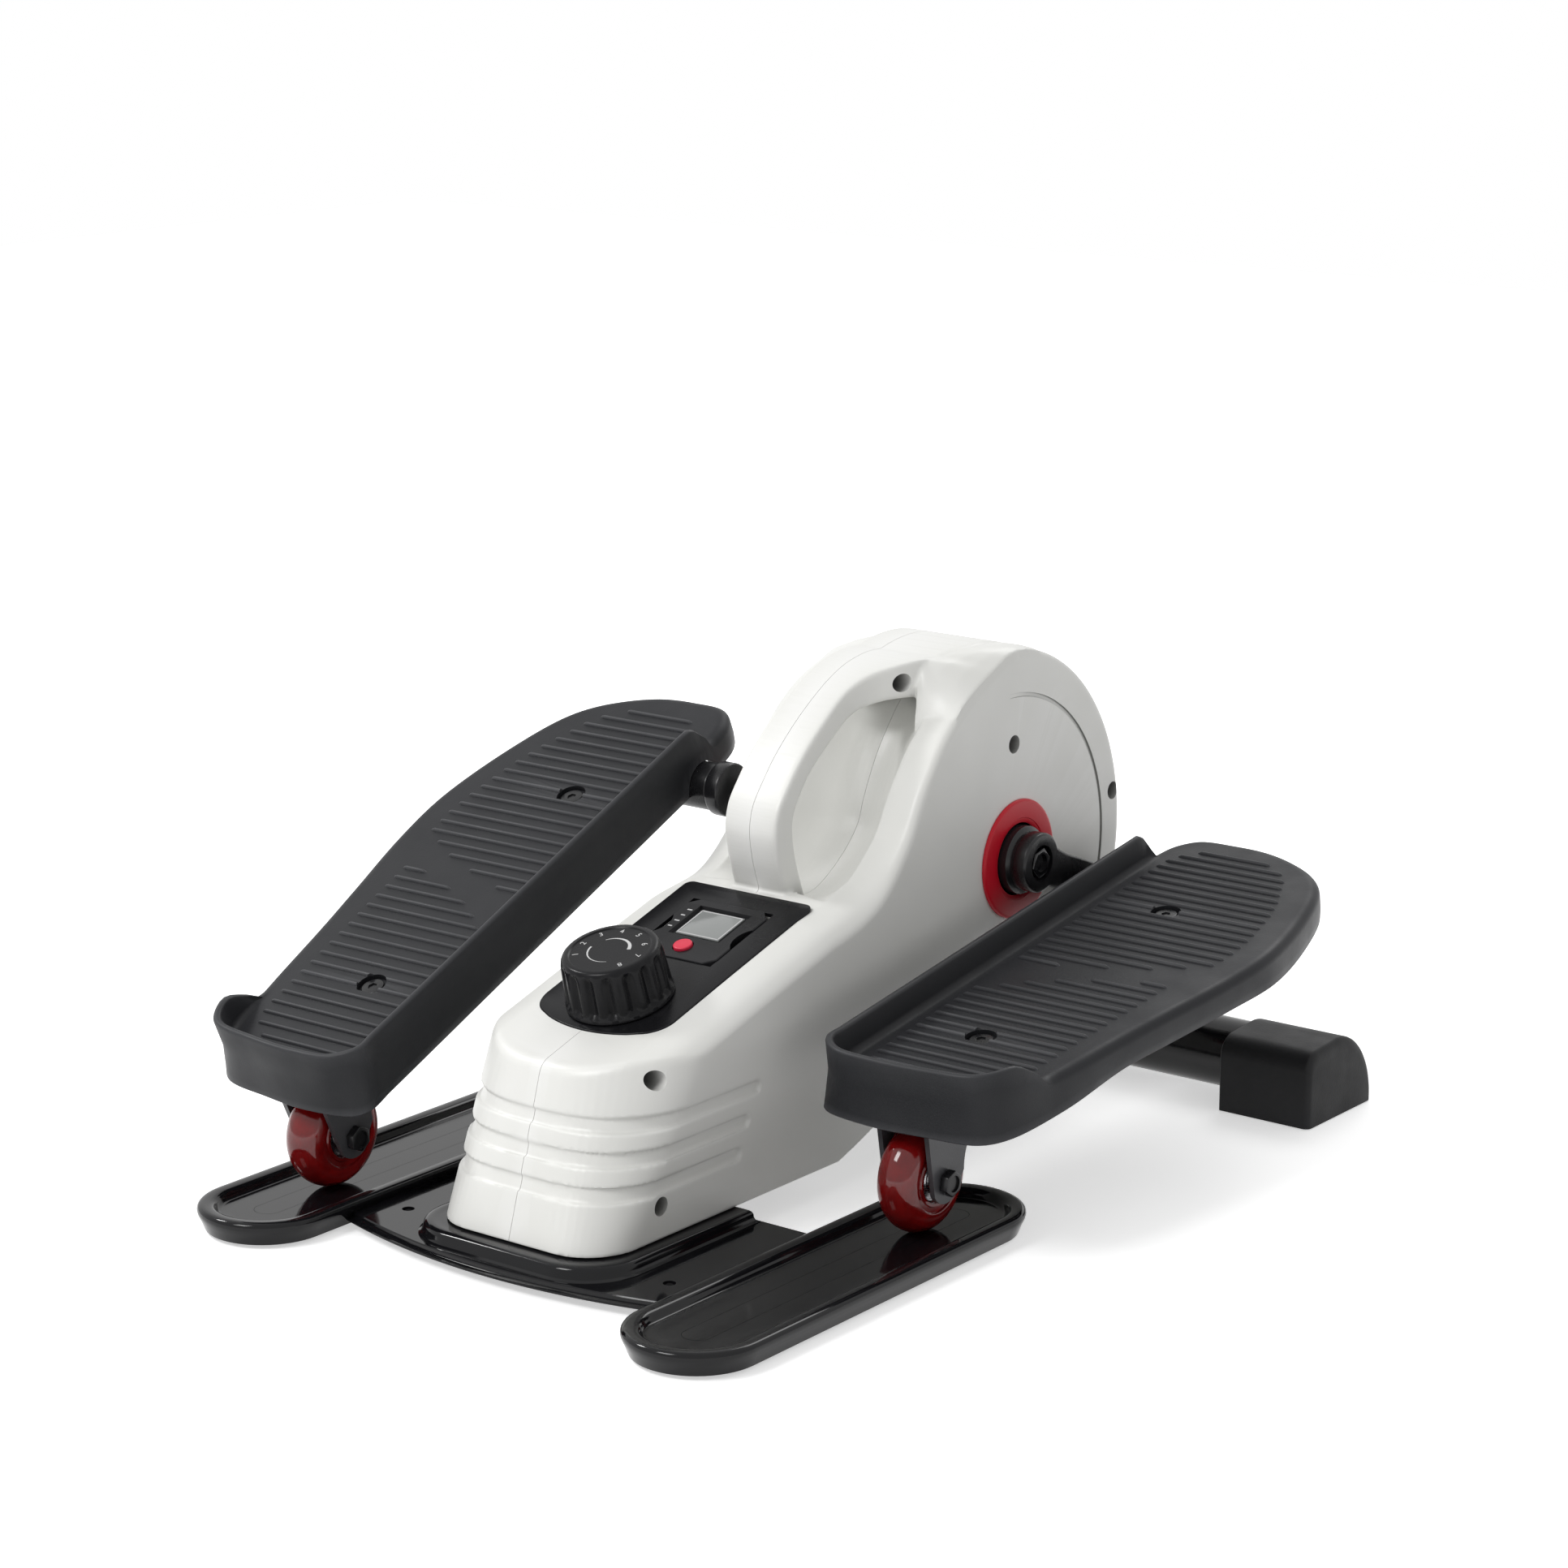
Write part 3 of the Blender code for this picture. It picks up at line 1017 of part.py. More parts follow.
def make_sensor():
    """The speed sensor that stands off the post beside the drive pulley."""
    sensor = box("sensor", (POST_HALF_WIDTH + FIT, AXLE_Y - 0.008, 0.092), (PULLEY_X - 0.002, AXLE_Y + 0.008, 0.102))
    finished(sensor, "speed_sensor", "panel_black")


def panel_outline(extra):
    """The console panel's outline on the deck: bowed at the front with round corners, square at the rear."""
    half = PANEL_HALF_WIDTH + extra
    rear = PANEL_REAR + extra
    bow_radius = (half ** 2 + PANEL_ARC ** 2) / (2 * PANEL_ARC)
    bow = degrees(asin(half / bow_radius))
    front = arc((0.0, PANEL_FRONT - extra + bow_radius), bow_radius, -90.0 - bow, -90.0 + bow, 10)
    right = fillet(front[-3], front[-1], (half, rear), PANEL_CORNER + extra, 5)
    left = [(-across, along) for across, along in reversed(right)]
    return left + front[2:-2] + right + [(half, rear), (-half, rear)]


def make_console(knob_carrier, button_carrier):
    """The console panel, display, lens, button and tension knob, laid out on the sloped deck."""
    top = -PANEL_RECESS + FIT + PANEL_THICKNESS
    panel = slab("panel", panel_outline(0.0), -PANEL_RECESS + FIT, top)
    opening = box("opening", (-DISPLAY_HALF_WIDTH - FIT, DISPLAY_PLACE - DISPLAY_HALF_LENGTH - FIT, -0.01),
                  (DISPLAY_HALF_WIDTH + FIT, DISPLAY_PLACE + DISPLAY_HALF_LENGTH + FIT, 0.01))
    shaft_hole = rod("hole", KNOB_SHAFT_RADIUS + 0.0005, -0.01, 0.01, (0.0, KNOB_PLACE), "Z")
    panel = cut(panel, opening, shaft_hole)
    finished(moved(panel, DECK_FRAME), "console_panel", "panel_black")
    face = top + 0.0008
    module = box("module", (-DISPLAY_HALF_WIDTH, DISPLAY_PLACE - DISPLAY_HALF_LENGTH, face - DISPLAY_DEPTH),
                 (DISPLAY_HALF_WIDTH, DISPLAY_PLACE + DISPLAY_HALF_LENGTH, face))
    module = rounded(module, 0.001, 1)
    window = box("window", (-LENS_HALF_WIDTH - FIT, LENS_PLACE - LENS_HALF_LENGTH - FIT, face - LENS_THICKNESS - FIT),
                 (LENS_HALF_WIDTH + FIT, LENS_PLACE + LENS_HALF_LENGTH + FIT, face + 0.01))
    well = rod("well", BUTTON_RADIUS + 2 * FIT, face - 0.006, face + 0.01, (0.0, BUTTON_PLACE), "Z", 20)
    module = cut(module, window, well)
    finished(moved(module, DECK_FRAME), "display_module", "panel_black")
    lens = box("lens", (-LENS_HALF_WIDTH, LENS_PLACE - LENS_HALF_LENGTH, face - LENS_THICKNESS),
               (LENS_HALF_WIDTH, LENS_PLACE + LENS_HALF_LENGTH, face))
    finished(moved(lens, DECK_FRAME), "display_lens", "lens_grey")
    button_bottom = face - 0.006 + FIT + BUTTON_TRAVEL
    button = rod("button", BUTTON_RADIUS, button_bottom, face + BUTTON_HEIGHT, (0.0, BUTTON_PLACE), "Z", 20)
    finished(moved(rounded(button, 0.0006, 1), DECK_FRAME), "reset_button", "button_red", button_carrier)
    outline = []
    steps = KNOB_FLUTES * 4
    for step in range(steps):
        angle = 2 * pi * step / steps
        radius = KNOB_RADIUS - KNOB_FLUTE_DEPTH + KNOB_FLUTE_DEPTH * cos(KNOB_FLUTES * angle)
        outline.append((radius * cos(angle), radius * sin(angle)))
    knob_low = top + 2 * FIT
    knob = slab("knob", outline, knob_low, knob_low + KNOB_HEIGHT)
    taper = KNOB_TOP_RADIUS / KNOB_RADIUS
    for vertex in knob.data.vertices:
        if vertex.co.z > knob_low + KNOB_HEIGHT / 2:
            vertex.co.x *= taper
            vertex.co.y *= taper
    shaft = rod("shaft", KNOB_SHAFT_RADIUS, -KNOB_SHAFT_LENGTH, knob_low + 0.005, (0.0, 0.0), "Z")
    drum = rod("drum", KNOB_DRUM_RADIUS, -KNOB_SHAFT_LENGTH, -KNOB_SHAFT_LENGTH + 0.008, (0.0, 0.0), "Z")
    knob = join(knob, shaft, drum)
    moved(knob, DECK_FRAME @ Matrix.Translation((0.0, KNOB_PLACE, 0.0)))
    finished(knob, "tension_knob", "panel_black", knob_carrier)


def footplate_block(name, inset, low, high):
    """The footplate's outline as a block between two heights, inset all round; its skirt spreads towards the foot."""
    edges = []
    for points in (PLATE_FOOT_OUTLINE, PLATE_TOP_OUTLINE):
        outline = [(across, along) for along, across in points]
        edges.append(offset_outline(outline, inset) if inset else outline)
    foot, top = edges
    rows = []
    for height, outline in ((low, foot), (TREAD_HEIGHT - 0.001, top), (high, top)):
        rows.append([(across, along, height) for across, along in outline])
    if high < TREAD_HEIGHT:
        rows.pop(1)
    return loft(name, rows)


def kerb_trim(name, kerb_end, low_w, high_w):
    """A cutter that ends the raised kerb at kerb_end with a rounded corner, between two places across."""
    top = TREAD_HEIGHT + KERB_HEIGHT
    outline = [(0.40, TREAD_HEIGHT), (kerb_end, TREAD_HEIGHT)]
    outline += arc((kerb_end - KERB_ROUND, top - KERB_ROUND), KERB_ROUND, 0.0, 86.0, 5)
    outline += [(kerb_end - KERB_ROUND, top + 0.01), (0.40, top + 0.01)]
    return side_slab(name, outline, low_w, high_w)


def make_footplate():
    """The moulded footplate with its skirt, kerb and bolt recesses, for the right foot."""
    skirt_low = TREAD_HEIGHT - SKIRT_DEPTH
    plate = footplate_block("plate", 0.0, skirt_low, TREAD_HEIGHT + KERB_HEIGHT)
    kerb_line = offset_outline([(across, along) for along, across in PLATE_TOP_OUTLINE], KERB_WALL)
    plate = cut(plate, slab("inside", kerb_line, TREAD_HEIGHT, 0.2))
    inner_face = KERB_WALL + 0.004 - PLATE_INNER
    plate = cut(plate, kerb_trim("toe_trim", KERB_END, -0.08, inner_face),
                kerb_trim("side_trim", HEEL_KERB_END, inner_face - 0.001, 0.12))
    plate = cut(plate, footplate_block("pocket", SKIRT_WALL, skirt_low - 0.002, TREAD_HEIGHT - DECK_THICKNESS))
    spindle = (SPINDLE_PLACE, TREAD_HEIGHT - SPINDLE_DROP)
    notch = rod("notch", SPINDLE_RADIUS + 2 * FIT, -0.08, -0.03, spindle, segments=ROUND_MEDIUM)
    mouth = box("mouth", (-0.08, SPINDLE_PLACE - SPINDLE_RADIUS - 2 * FIT, 0.0),
                (-0.03, SPINDLE_PLACE + SPINDLE_RADIUS + 2 * FIT, TREAD_HEIGHT - SPINDLE_DROP))
    plate = cut(plate, notch, mouth)
    for _, place in FOOT_BOLT_PLACES:
        centre = (FOOT_BOLT_W, place)
        seat = TREAD_HEIGHT - FOOT_RECESS_DEPTH
        plate = cut(plate, rod("hole", FOOT_BOLT_RADIUS + BORE_FIT, 0.0, 0.1, centre, "Z"),
                    rod("recess", FOOT_RECESS_RADIUS, seat, 0.1, centre, "Z"))
    return plate


def make_fork():
    """The pressed steel fork that hangs from the rail and holds the roller."""
    top = RAIL_BOTTOM - FIT
    curve = arc((FORK_REACH, -0.004), 0.031, 96.0, 172.0, 6)
    tip = arc((0.0, 0.0), FORK_END_RADIUS, 340.0, 200.0, 7)
    outline = [(FORK_REACH + 0.004, top), (FORK_REACH + 0.004, top - 0.006)] + curve + tip + [(-FORK_END_RADIUS, top)]
    fork = None
    for side in (-1, 1):
        low_x, high_x = sorted((side * (FORK_HALF_WIDTH - FORK_SHEET), side * FORK_HALF_WIDTH))
        cheek = side_slab("cheek", outline, low_x, high_x)
        fork = cheek if fork is None else join(fork, cheek)
    bridge = box("bridge", (-FORK_HALF_WIDTH, -FORK_END_RADIUS, top - FORK_SHEET), (FORK_HALF_WIDTH, FORK_REACH + 0.004, top))
    fork = join(fork, bridge)
    return cut(fork, rod("bore", ROLLER_BOLT_RADIUS + BORE_FIT, -0.05, 0.05, (0.0, 0.0), segments=12))


def make_pedal(side, side_name, roller_y, tilt):
    """One footplate with its rail, fork, spindle, bolts and roller, on its own carriers."""
    half = TRACK_SPACING / 2
    mirror = Matrix.Scale(side, 4, (1, 0, 0))
    carriage = empty(f"{side_name}_carriage", (side * half, roller_y, ROLLER_Z), MACHINE)
    pedal = empty(f"{side_name}_pedal", (0.0, 0.0, 0.0), carriage, tilt)
    wheel = empty(f"{side_name}_wheel", (0.0, 0.0, 0.0), carriage)

    def hang(shape, name, finish, carrier=pedal):
        finished(moved(shape, mirror), f"{side_name}_{name}", finish, carrier, local=True)

    hang(make_footplate(), "footplate", "footplate_grey")
    rail_top = TREAD_HEIGHT - DECK_THICKNESS - FIT
    rail = box("rail", (-RAIL_HALF_WIDTH, RAIL_HEEL, RAIL_BOTTOM),
               (RAIL_HALF_WIDTH, SPINDLE_PLACE - SPINDLE_RADIUS - FIT, rail_top))
    for _, place in FOOT_BOLT_PLACES:
        rail = cut(rail, rod("hole", FOOT_BOLT_RADIUS + BORE_FIT, 0.0, 0.1, (FOOT_BOLT_W, place), "Z"))
    hang(rail, "pedal_rail", "frame_black")
    hang(make_fork(), "roller_fork", "bracket_grey")
    spindle_inner = ARM_FACE_X + FIT + 0.0001 - half
    spindle = rod("spindle", SPINDLE_RADIUS, spindle_inner, SPINDLE_OUTER_W,
                  (SPINDLE_PLACE, TREAD_HEIGHT - SPINDLE_DROP), segments=ROUND_MEDIUM)
    hang(rounded(spindle, 0.001, 1), "pedal_spindle", "frame_black")
    for bolt_name, place in FOOT_BOLT_PLACES:
        centre = (FOOT_BOLT_W, place)
        seat = TREAD_HEIGHT - FOOT_RECESS_DEPTH + FIT
        bolt = rod("bolt", FOOT_BOLT_RADIUS, RAIL_BOTTOM + 0.001, seat + 0.0005, centre, "Z", 12)
        bolt = join(bolt, rod("head", FOOT_BOLT_HEAD_RADIUS, seat, seat + 0.002, centre, "Z"))
        hang(bolt, f"{bolt_name}_bolt", "frame_black")
    head_start = FORK_HALF_WIDTH + FIT
    head_end = head_start + ROLLER_HEAD_THICKNESS
    bolt = rod("bolt", ROLLER_BOLT_RADIUS, -head_end + 0.001, head_end - 0.001, (0.0, 0.0), segments=12)
    for low_x, high_x in ((-head_end, -head_start), (head_start, head_end)):
        bolt = join(bolt, rod("head", ROLLER_BOLT_HEAD, low_x, high_x, (0.0, 0.0), segments=HEXAGON))
    hang(bolt, "roller_bolt", "frame_black", carriage)
    width = ROLLER_HALF_WIDTH
    round_part = arc((ROLLER_RADIUS - 0.011, 0.0), 0.011, 80.0, -80.0, 6)
    corners = [(radius, along * width / 0.011) for radius, along in round_part]
    corners += [(0.019, -width + 0.001), (ROLLER_HUB_RADIUS, -width + 0.002), (ROLLER_HUB_RADIUS, width - 0.002),
                (0.019, width - 0.001)]
    hang(turned("tyre", corners, (0.0, 0.0), ROUND_LARGE), "roller_tyre", "roller_red", wheel)
    spacer = FORK_HALF_WIDTH - FORK_SHEET - FIT
    bore = ROLLER_BOLT_RADIUS + BORE_FIT
    rim = ROLLER_HUB_RADIUS - FIT
    corners = ((rim, -0.008), (0.007, -0.008), (0.006, -spacer), (bore, -spacer), (bore, spacer), (0.006, spacer),
               (0.007, 0.008), (rim, 0.008))
    hang(turned("hub", corners, (0.0, 0.0), ROUND_MEDIUM), "roller_hub", "bright_steel", wheel)


def linkage(side):
    """Where a footplate's roller stands on its track, and the footplate's tilt, for the crank's angle."""
    angle = radians(CRANK_DEGREES) if side > 0 else radians(CRANK_DEGREES) + pi
    spindle_y = AXLE_Y + CRANK_RADIUS * cos(angle)
    spindle_z = AXLE_Z + CRANK_RADIUS * sin(angle)
    drop = TREAD_HEIGHT - SPINDLE_DROP
    length = hypot(SPINDLE_PLACE, drop)
    rise = spindle_z - ROLLER_Z
    roller_y = spindle_y - sqrt(length ** 2 - rise ** 2)
    tilt = asin(rise / length) - atan2(drop, SPINDLE_PLACE)
    return roller_y, tilt


def build():
    """Makes every sub-assembly in turn."""
    make_tray()
    make_stabilizer()
    for side, side_name in ((-1, "left"), (1, "right")):
        make_half_shell(side, side_name)
    make_housing_screws()
    make_axle_discs()
    make_main_frame()
    make_belt()
    make_cable()
    make_sensor()
    crank = empty("crank", (0.0, AXLE_Y, AXLE_Z), MACHINE)
    make_crank(crank)
    flywheel = empty("flywheel_spin", (0.0, FLYWHEEL_Y, FLYWHEEL_Z), MACHINE)
    make_flywheel(flywheel)
    brake = empty("brake_swing", (0.0, BRAKE_PIVOT_Y, BRAKE_PIVOT_Z), MACHINE)
    make_brake(brake)
    knob_place = DECK_FRAME @ Vector((0.0, KNOB_PLACE, 0.0))
    knob = empty("knob_turn", knob_place, MACHINE, DECK_ANGLE)
    button_place = DECK_FRAME @ Vector((0.0, BUTTON_PLACE, 0.0))
    button = empty("button_press", button_place, MACHINE, DECK_ANGLE)
    make_console(knob, button)
    for side, side_name in ((-1, "left"), (1, "right")):
        roller_y, tilt = linkage(side)
        make_pedal(side, side_name, roller_y, tilt)


build()
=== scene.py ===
"""Visual model of the mini elliptical trainer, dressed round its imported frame.

Metres, +X to the user's right, +Y from the user towards the crank, +Z up. Each sub-assembly is laid out
from the middle of the track noses, as the machine is, and then moved to the frame's own place.
"""

from __future__ import annotations

import json
import logging
from dataclasses import dataclass
from enum import Enum
from math import asin, atan2, cos, degrees, hypot, pi, radians, sin, sqrt, tan

import bmesh
import bpy
from mathutils import Matrix, Vector

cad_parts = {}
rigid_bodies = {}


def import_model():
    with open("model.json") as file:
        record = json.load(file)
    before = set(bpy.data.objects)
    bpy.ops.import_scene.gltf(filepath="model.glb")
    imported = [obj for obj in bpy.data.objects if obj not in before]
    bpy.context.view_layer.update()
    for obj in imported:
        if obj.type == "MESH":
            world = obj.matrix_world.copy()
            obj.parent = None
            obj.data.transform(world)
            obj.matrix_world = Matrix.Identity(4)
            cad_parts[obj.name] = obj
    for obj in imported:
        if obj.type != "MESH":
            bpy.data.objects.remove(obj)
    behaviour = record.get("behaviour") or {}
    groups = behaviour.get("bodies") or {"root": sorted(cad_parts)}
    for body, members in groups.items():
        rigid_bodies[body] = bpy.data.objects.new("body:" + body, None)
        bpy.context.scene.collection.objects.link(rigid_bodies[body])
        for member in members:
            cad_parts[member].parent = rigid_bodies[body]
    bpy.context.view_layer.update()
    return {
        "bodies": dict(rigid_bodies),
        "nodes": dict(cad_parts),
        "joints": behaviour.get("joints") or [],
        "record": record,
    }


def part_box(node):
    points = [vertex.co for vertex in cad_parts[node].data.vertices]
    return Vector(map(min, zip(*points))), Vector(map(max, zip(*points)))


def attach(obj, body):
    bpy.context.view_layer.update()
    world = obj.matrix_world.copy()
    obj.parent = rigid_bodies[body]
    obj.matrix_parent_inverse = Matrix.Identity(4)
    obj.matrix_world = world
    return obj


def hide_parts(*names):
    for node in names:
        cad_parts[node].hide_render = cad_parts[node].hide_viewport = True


LOG = logging.getLogger("trainer")
FIT = 0.0003
SEEING_RAYS = ("Is Camera Ray", "Is Transmission Ray", "Is Glossy Ray")

Solid = bpy.types.Object
Socket = bpy.types.NodeSocket
Colour = tuple[float, float, float]
Place = tuple[float, float, float]
Point = tuple[float, float]
Curve = tuple[Point, ...]
Outline = list[Point]
Row = list[Place]
SIDE_VIEW = Matrix(((0, 0, 1, 0), (1, 0, 0, 0), (0, 1, 0, 0), (0, 0, 0, 1)))


class Side(Enum):
    """The two sides of the machine, as the user sees them."""

    LEFT = -1
    RIGHT = 1

    @property
    def word(self) -> str:
        """The side's name in piece names."""
        return self.name.lower()

    @property
    def mirror(self) -> Matrix:
        """Turns a right-hand shape into this side's."""
        return Matrix.Scale(self.value, 4, (1.0, 0.0, 0.0))


class Operation(Enum):
    """What a second solid does to the first."""

    JOIN = "UNION"
    CUT = "DIFFERENCE"


def arc(centre: Point, radius: float, start: float, end: float, steps: int) -> Outline:
    """Points on an arc from the start angle to the end angle, both in degrees and both included."""
    angles = [radians(start + (end - start) * step / steps) for step in range(steps + 1)]
    return [(centre[0] + radius * cos(angle), centre[1] + radius * sin(angle)) for angle in angles]


def fillet(before: Point, corner: Point, after: Point, radius: float, steps: int) -> Outline:
    """An arc that rounds a corner between its two neighbours.

    Args:
        before: The point before the corner.
        corner: The corner.
        after: The point after it.
        radius: The arc's radius.
        steps: Number of chords.

    Returns:
        The points of the arc.
    """
    middle = Vector(corner)
    first = (Vector(before) - middle).normalized()
    second = (Vector(after) - middle).normalized()
    half_angle = first.angle(second) / 2
    centre = middle + (first + second).normalized() * radius / sin(half_angle)
    run = radius / tan(half_angle)
    start = middle + first * run - centre
    end = middle + second * run - centre
    return [tuple(centre + start.lerp(end, step / steps).normalized() * radius) for step in range(steps + 1)]


def smooth_path(points: list[tuple[float, ...]], steps: int, closed: bool = False) -> list[tuple[float, ...]]:
    """Points on a smooth curve through the given ones, with even knots in the square root of the distance.

    Args:
        points: The points to pass through, of any dimension.
        steps: Points for each span.
        closed: Whether the last point joins the first.

    Returns:
        The denser list of points.
    """
    knots = [Vector(point) for point in points]
    if closed:
        knots = [knots[-1], *knots, knots[0], knots[1]]
    else:
        knots = [knots[0] * 2 - knots[1], *knots, knots[-1] * 2 - knots[-2]]
    found = []
    for a, b, c, d in zip(knots, knots[1:], knots[2:], knots[3:]):
        t1 = max((b - a).length, 1e-7) ** 0.5
        t2 = t1 + max((c - b).length, 1e-7) ** 0.5
        t3 = t2 + max((d - c).length, 1e-7) ** 0.5
        for step in range(steps):
            t = t1 + (t2 - t1) * step / steps
            ab = a.lerp(b, t / t1)
            bc = b.lerp(c, (t - t1) / (t2 - t1))
            cd = c.lerp(d, (t - t2) / (t3 - t2))
            abc = ab.lerp(bc, t / t2)
            bcd = bc.lerp(cd, (t - t1) / (t3 - t1))
            found.append(tuple(abc.lerp(bcd, (t - t1) / (t2 - t1))))
    if not closed:
        found.append(tuple(points[-1]))
    return found


def offset_outline(outline: Outline, distance: float) -> Outline:
    """The outline moved inwards, each corner on its mitre.

    Args:
        outline: A closed outline.
        distance: How far it moves in.

    Returns:
        The moved outline, point for point.
    """
    count = len(outline)
    pairs = [(outline[index], outline[(index + 1) % count]) for index in range(count)]
    area = sum(first[0] * second[1] - second[0] * first[1] for first, second in pairs)
    inwards = 1.0 if area > 0 else -1.0
    result = []
    for index, corner in enumerate(outline):
        here = Vector(corner)
        first = (here - Vector(outline[index - 1])).normalized()
        second = (Vector(outline[(index + 1) % count]) - here).normalized()
        first_normal = Vector((-first.y, first.x)) * inwards
        second_normal = Vector((-second.y, second.x)) * inwards
        mitre = (first_normal + second_normal).normalized()
        result.append(tuple(here + mitre * distance / max(mitre.dot(first_normal), 0.5)))
    return result


def eased(value: float, start: float, end: float) -> float:
    """A smooth rise from 0 at start to 1 at end."""
    share = min(max((value - start) / (end - start), 0.0), 1.0)
    return share * share * (3.0 - 2.0 * share)


def flat_ring(outline: Outline, height: float) -> Row:
    """A flat outline as a ring at a height."""
    return [(across, along, height) for across, along in outline]


def along_knots(knots: Curve, place: float) -> float:
    """The value at a place between knots, held flat past the ends.

    Args:
        knots: Pairs of place and value.
        place: Where the value is wanted.

    Returns:
        The value on the line between the two nearest knots.
    """
    if place <= knots[0][0]:
        return knots[0][1]
    for (low, low_value), (high, high_value) in zip(knots, knots[1:]):
        if place <= high:
            return low_value + (high_value - low_value) * (place - low) / (high - low)
    return knots[-1][1]


def linked(name: str, data: bpy.types.ID) -> Solid:
    """A new object of the scene that holds the data."""
    made = bpy.data.objects.new(name, data)
    bpy.context.scene.collection.objects.link(made)
    return made


def held(name: str, shape: bmesh.types.BMesh) -> Solid:
    """An object that holds a bmesh.

    Args:
        name: The object's name.
        shape: The finished bmesh, which is freed.

    Returns:
        The new object, linked to the scene.
    """
    mesh = bpy.data.meshes.new(name)
    shape.to_mesh(mesh)
    shape.free()
    return linked(name, mesh)


def loft(name: str, rows: list[Row], looped: bool = False) -> Solid:
    """A closed solid whose first ring of vertices is extruded from row to row.

    Args:
        name: The object's name.
        rows: Rings of matching points.
        looped: Whether the last ring joins the first, instead of a cap at each end.

    Returns:
        The solid.
    """
    shape = bmesh.new()
    order = shape.verts.layers.int.new("order")
    ring = [shape.verts.new(point) for point in rows[0]]
    for index, vertex in enumerate(ring):
        vertex[order] = index
    edges = [shape.edges.new((ring[index - 1], vertex)) for index, vertex in enumerate(ring)]
    caps = [] if looped else [list(edges)]
    for row in (*rows[1:], rows[0]) if looped else rows[1:]:
        grown = bmesh.ops.extrude_edge_only(shape, edges=edges)["geom"]
        fresh = {item for item in grown if isinstance(item, bmesh.types.BMVert)}
        for vertex in fresh:
            vertex.co = row[vertex[order]]
        edges = [item for item in grown if isinstance(item, bmesh.types.BMEdge) and set(item.verts) <= fresh]
    if looped:
        bmesh.ops.remove_doubles(shape, verts=shape.verts, dist=0.000001)
    else:
        caps.append(edges)
    for cap in caps:
        bmesh.ops.contextual_create(shape, geom=cap)
    shape.normal_update()
    bmesh.ops.triangulate(shape, faces=[face for face in shape.faces if len(face.verts) > 4])
    bmesh.ops.recalc_face_normals(shape, faces=shape.faces)
    return held(name, shape)


def prism(name: str, outline: Outline, low: float, high: float, matrix: Matrix | None = None) -> Solid:
    """An outline in the XY plane drawn out along Z, then placed by the matrix."""
    return moved(loft(name, [flat_ring(outline, low), flat_ring(outline, high)]), matrix or Matrix())


def side_prism(name: str, outline: Outline, low: float, high: float) -> Solid:
    """An outline in the side view, Y and Z, drawn out along X."""
    return prism(name, outline, low, high, SIDE_VIEW)


def rounded_prism(name: str, outline: Outline, low: float, high: float, edge: float, steps: int = 4,
                  matrix: Matrix | None = None) -> Solid:
    """A prism whose two rims are rounded.

    Args:
        name: The object's name.
        outline: The outline in the XY plane.
        low: Its lower end along Z.
        high: Its upper end.
        edge: Radius of both rims.
        steps: Chords in each rounding.
        matrix: Where it is placed.

    Returns:
        The solid.
    """
    rows = []
    for centre, start in ((low + edge, -90.0), (high - edge, 0.0)):
        for step in range(steps + 1):
            angle = radians(start + 90.0 * step / steps)
            drawn_in = edge * (1.0 - cos(angle))
            rows.append(flat_ring(offset_outline(outline, drawn_in), centre + edge * sin(angle)))
    return moved(loft(name, rows), matrix or Matrix())


def box(name: str, low: Place, high: Place) -> Solid:
    """A box between two corners, from the cube operator."""
    shape = bmesh.new()
    size = Vector(high) - Vector(low)
    middle = (Vector(high) + Vector(low)) / 2
    bmesh.ops.create_cube(shape, size=1.0, matrix=Matrix.Translation(middle) @ Matrix.Diagonal((*size, 1.0)))
    return held(name, shape)


def rod(name: str, radius: float, start: float, end: float, place: Point, segments: int = 48,
        edge: float = 0.0, upright: bool = False, turn: float = 0.0) -> Solid:
    """A round or many-sided bar along X, or along Z where it is upright, with rounded rims.

    Args:
        name: The object's name.
        radius: The bar's radius.
        start: Its first end.
        end: Its last end.
        place: The axis's place, as Y and Z, or X and Y where it is upright.
        segments: Sides.
        edge: Radius of the rims.
        upright: Whether it runs along Z.
        turn: Angle of the first side in degrees.

    Returns:
        The bar.
    """
    outline = arc(place, radius, turn, turn + 360.0 * (segments - 1) / segments, segments - 1)
    matrix = Matrix() if upright else SIDE_VIEW
    if edge:
        return rounded_prism(name, outline, start, end, edge, 4, matrix)
    return prism(name, outline, start, end, matrix)


def turned(name: str, profile: Outline, place: Point, steps: int = 72) -> Solid:
    """A profile of radius and X spun round an axis along X.

    Args:
        name: The object's name.
        profile: Closed profile, each point as radius and X.
        place: The axis's Y and Z.
        steps: Spin steps.

    Returns:
        The turned solid.
    """
    shape = bmesh.new()
    corners = [shape.verts.new((along, place[0] + radius, place[1])) for radius, along in profile]
    edges = [shape.edges.new((corners[index - 1], corner)) for index, corner in enumerate(corners)]
    bmesh.ops.spin(shape, geom=corners + edges, cent=(0.0, *place), axis=(1.0, 0.0, 0.0), angle=2 * pi,
                   steps=steps, use_merge=True)
    bmesh.ops.remove_doubles(shape, verts=shape.verts, dist=0.000001)
    bmesh.ops.recalc_face_normals(shape, faces=shape.faces)
    return held(name, shape)


def settled(target: Solid) -> Solid:
    """Bakes the object's modifiers into its mesh."""
    graph = bpy.context.evaluated_depsgraph_get()
    mesh = bpy.data.meshes.new_from_object(target.evaluated_get(graph))
    target.modifiers.clear()
    old = target.data
    target.data = mesh
    bpy.data.meshes.remove(old)
    return target


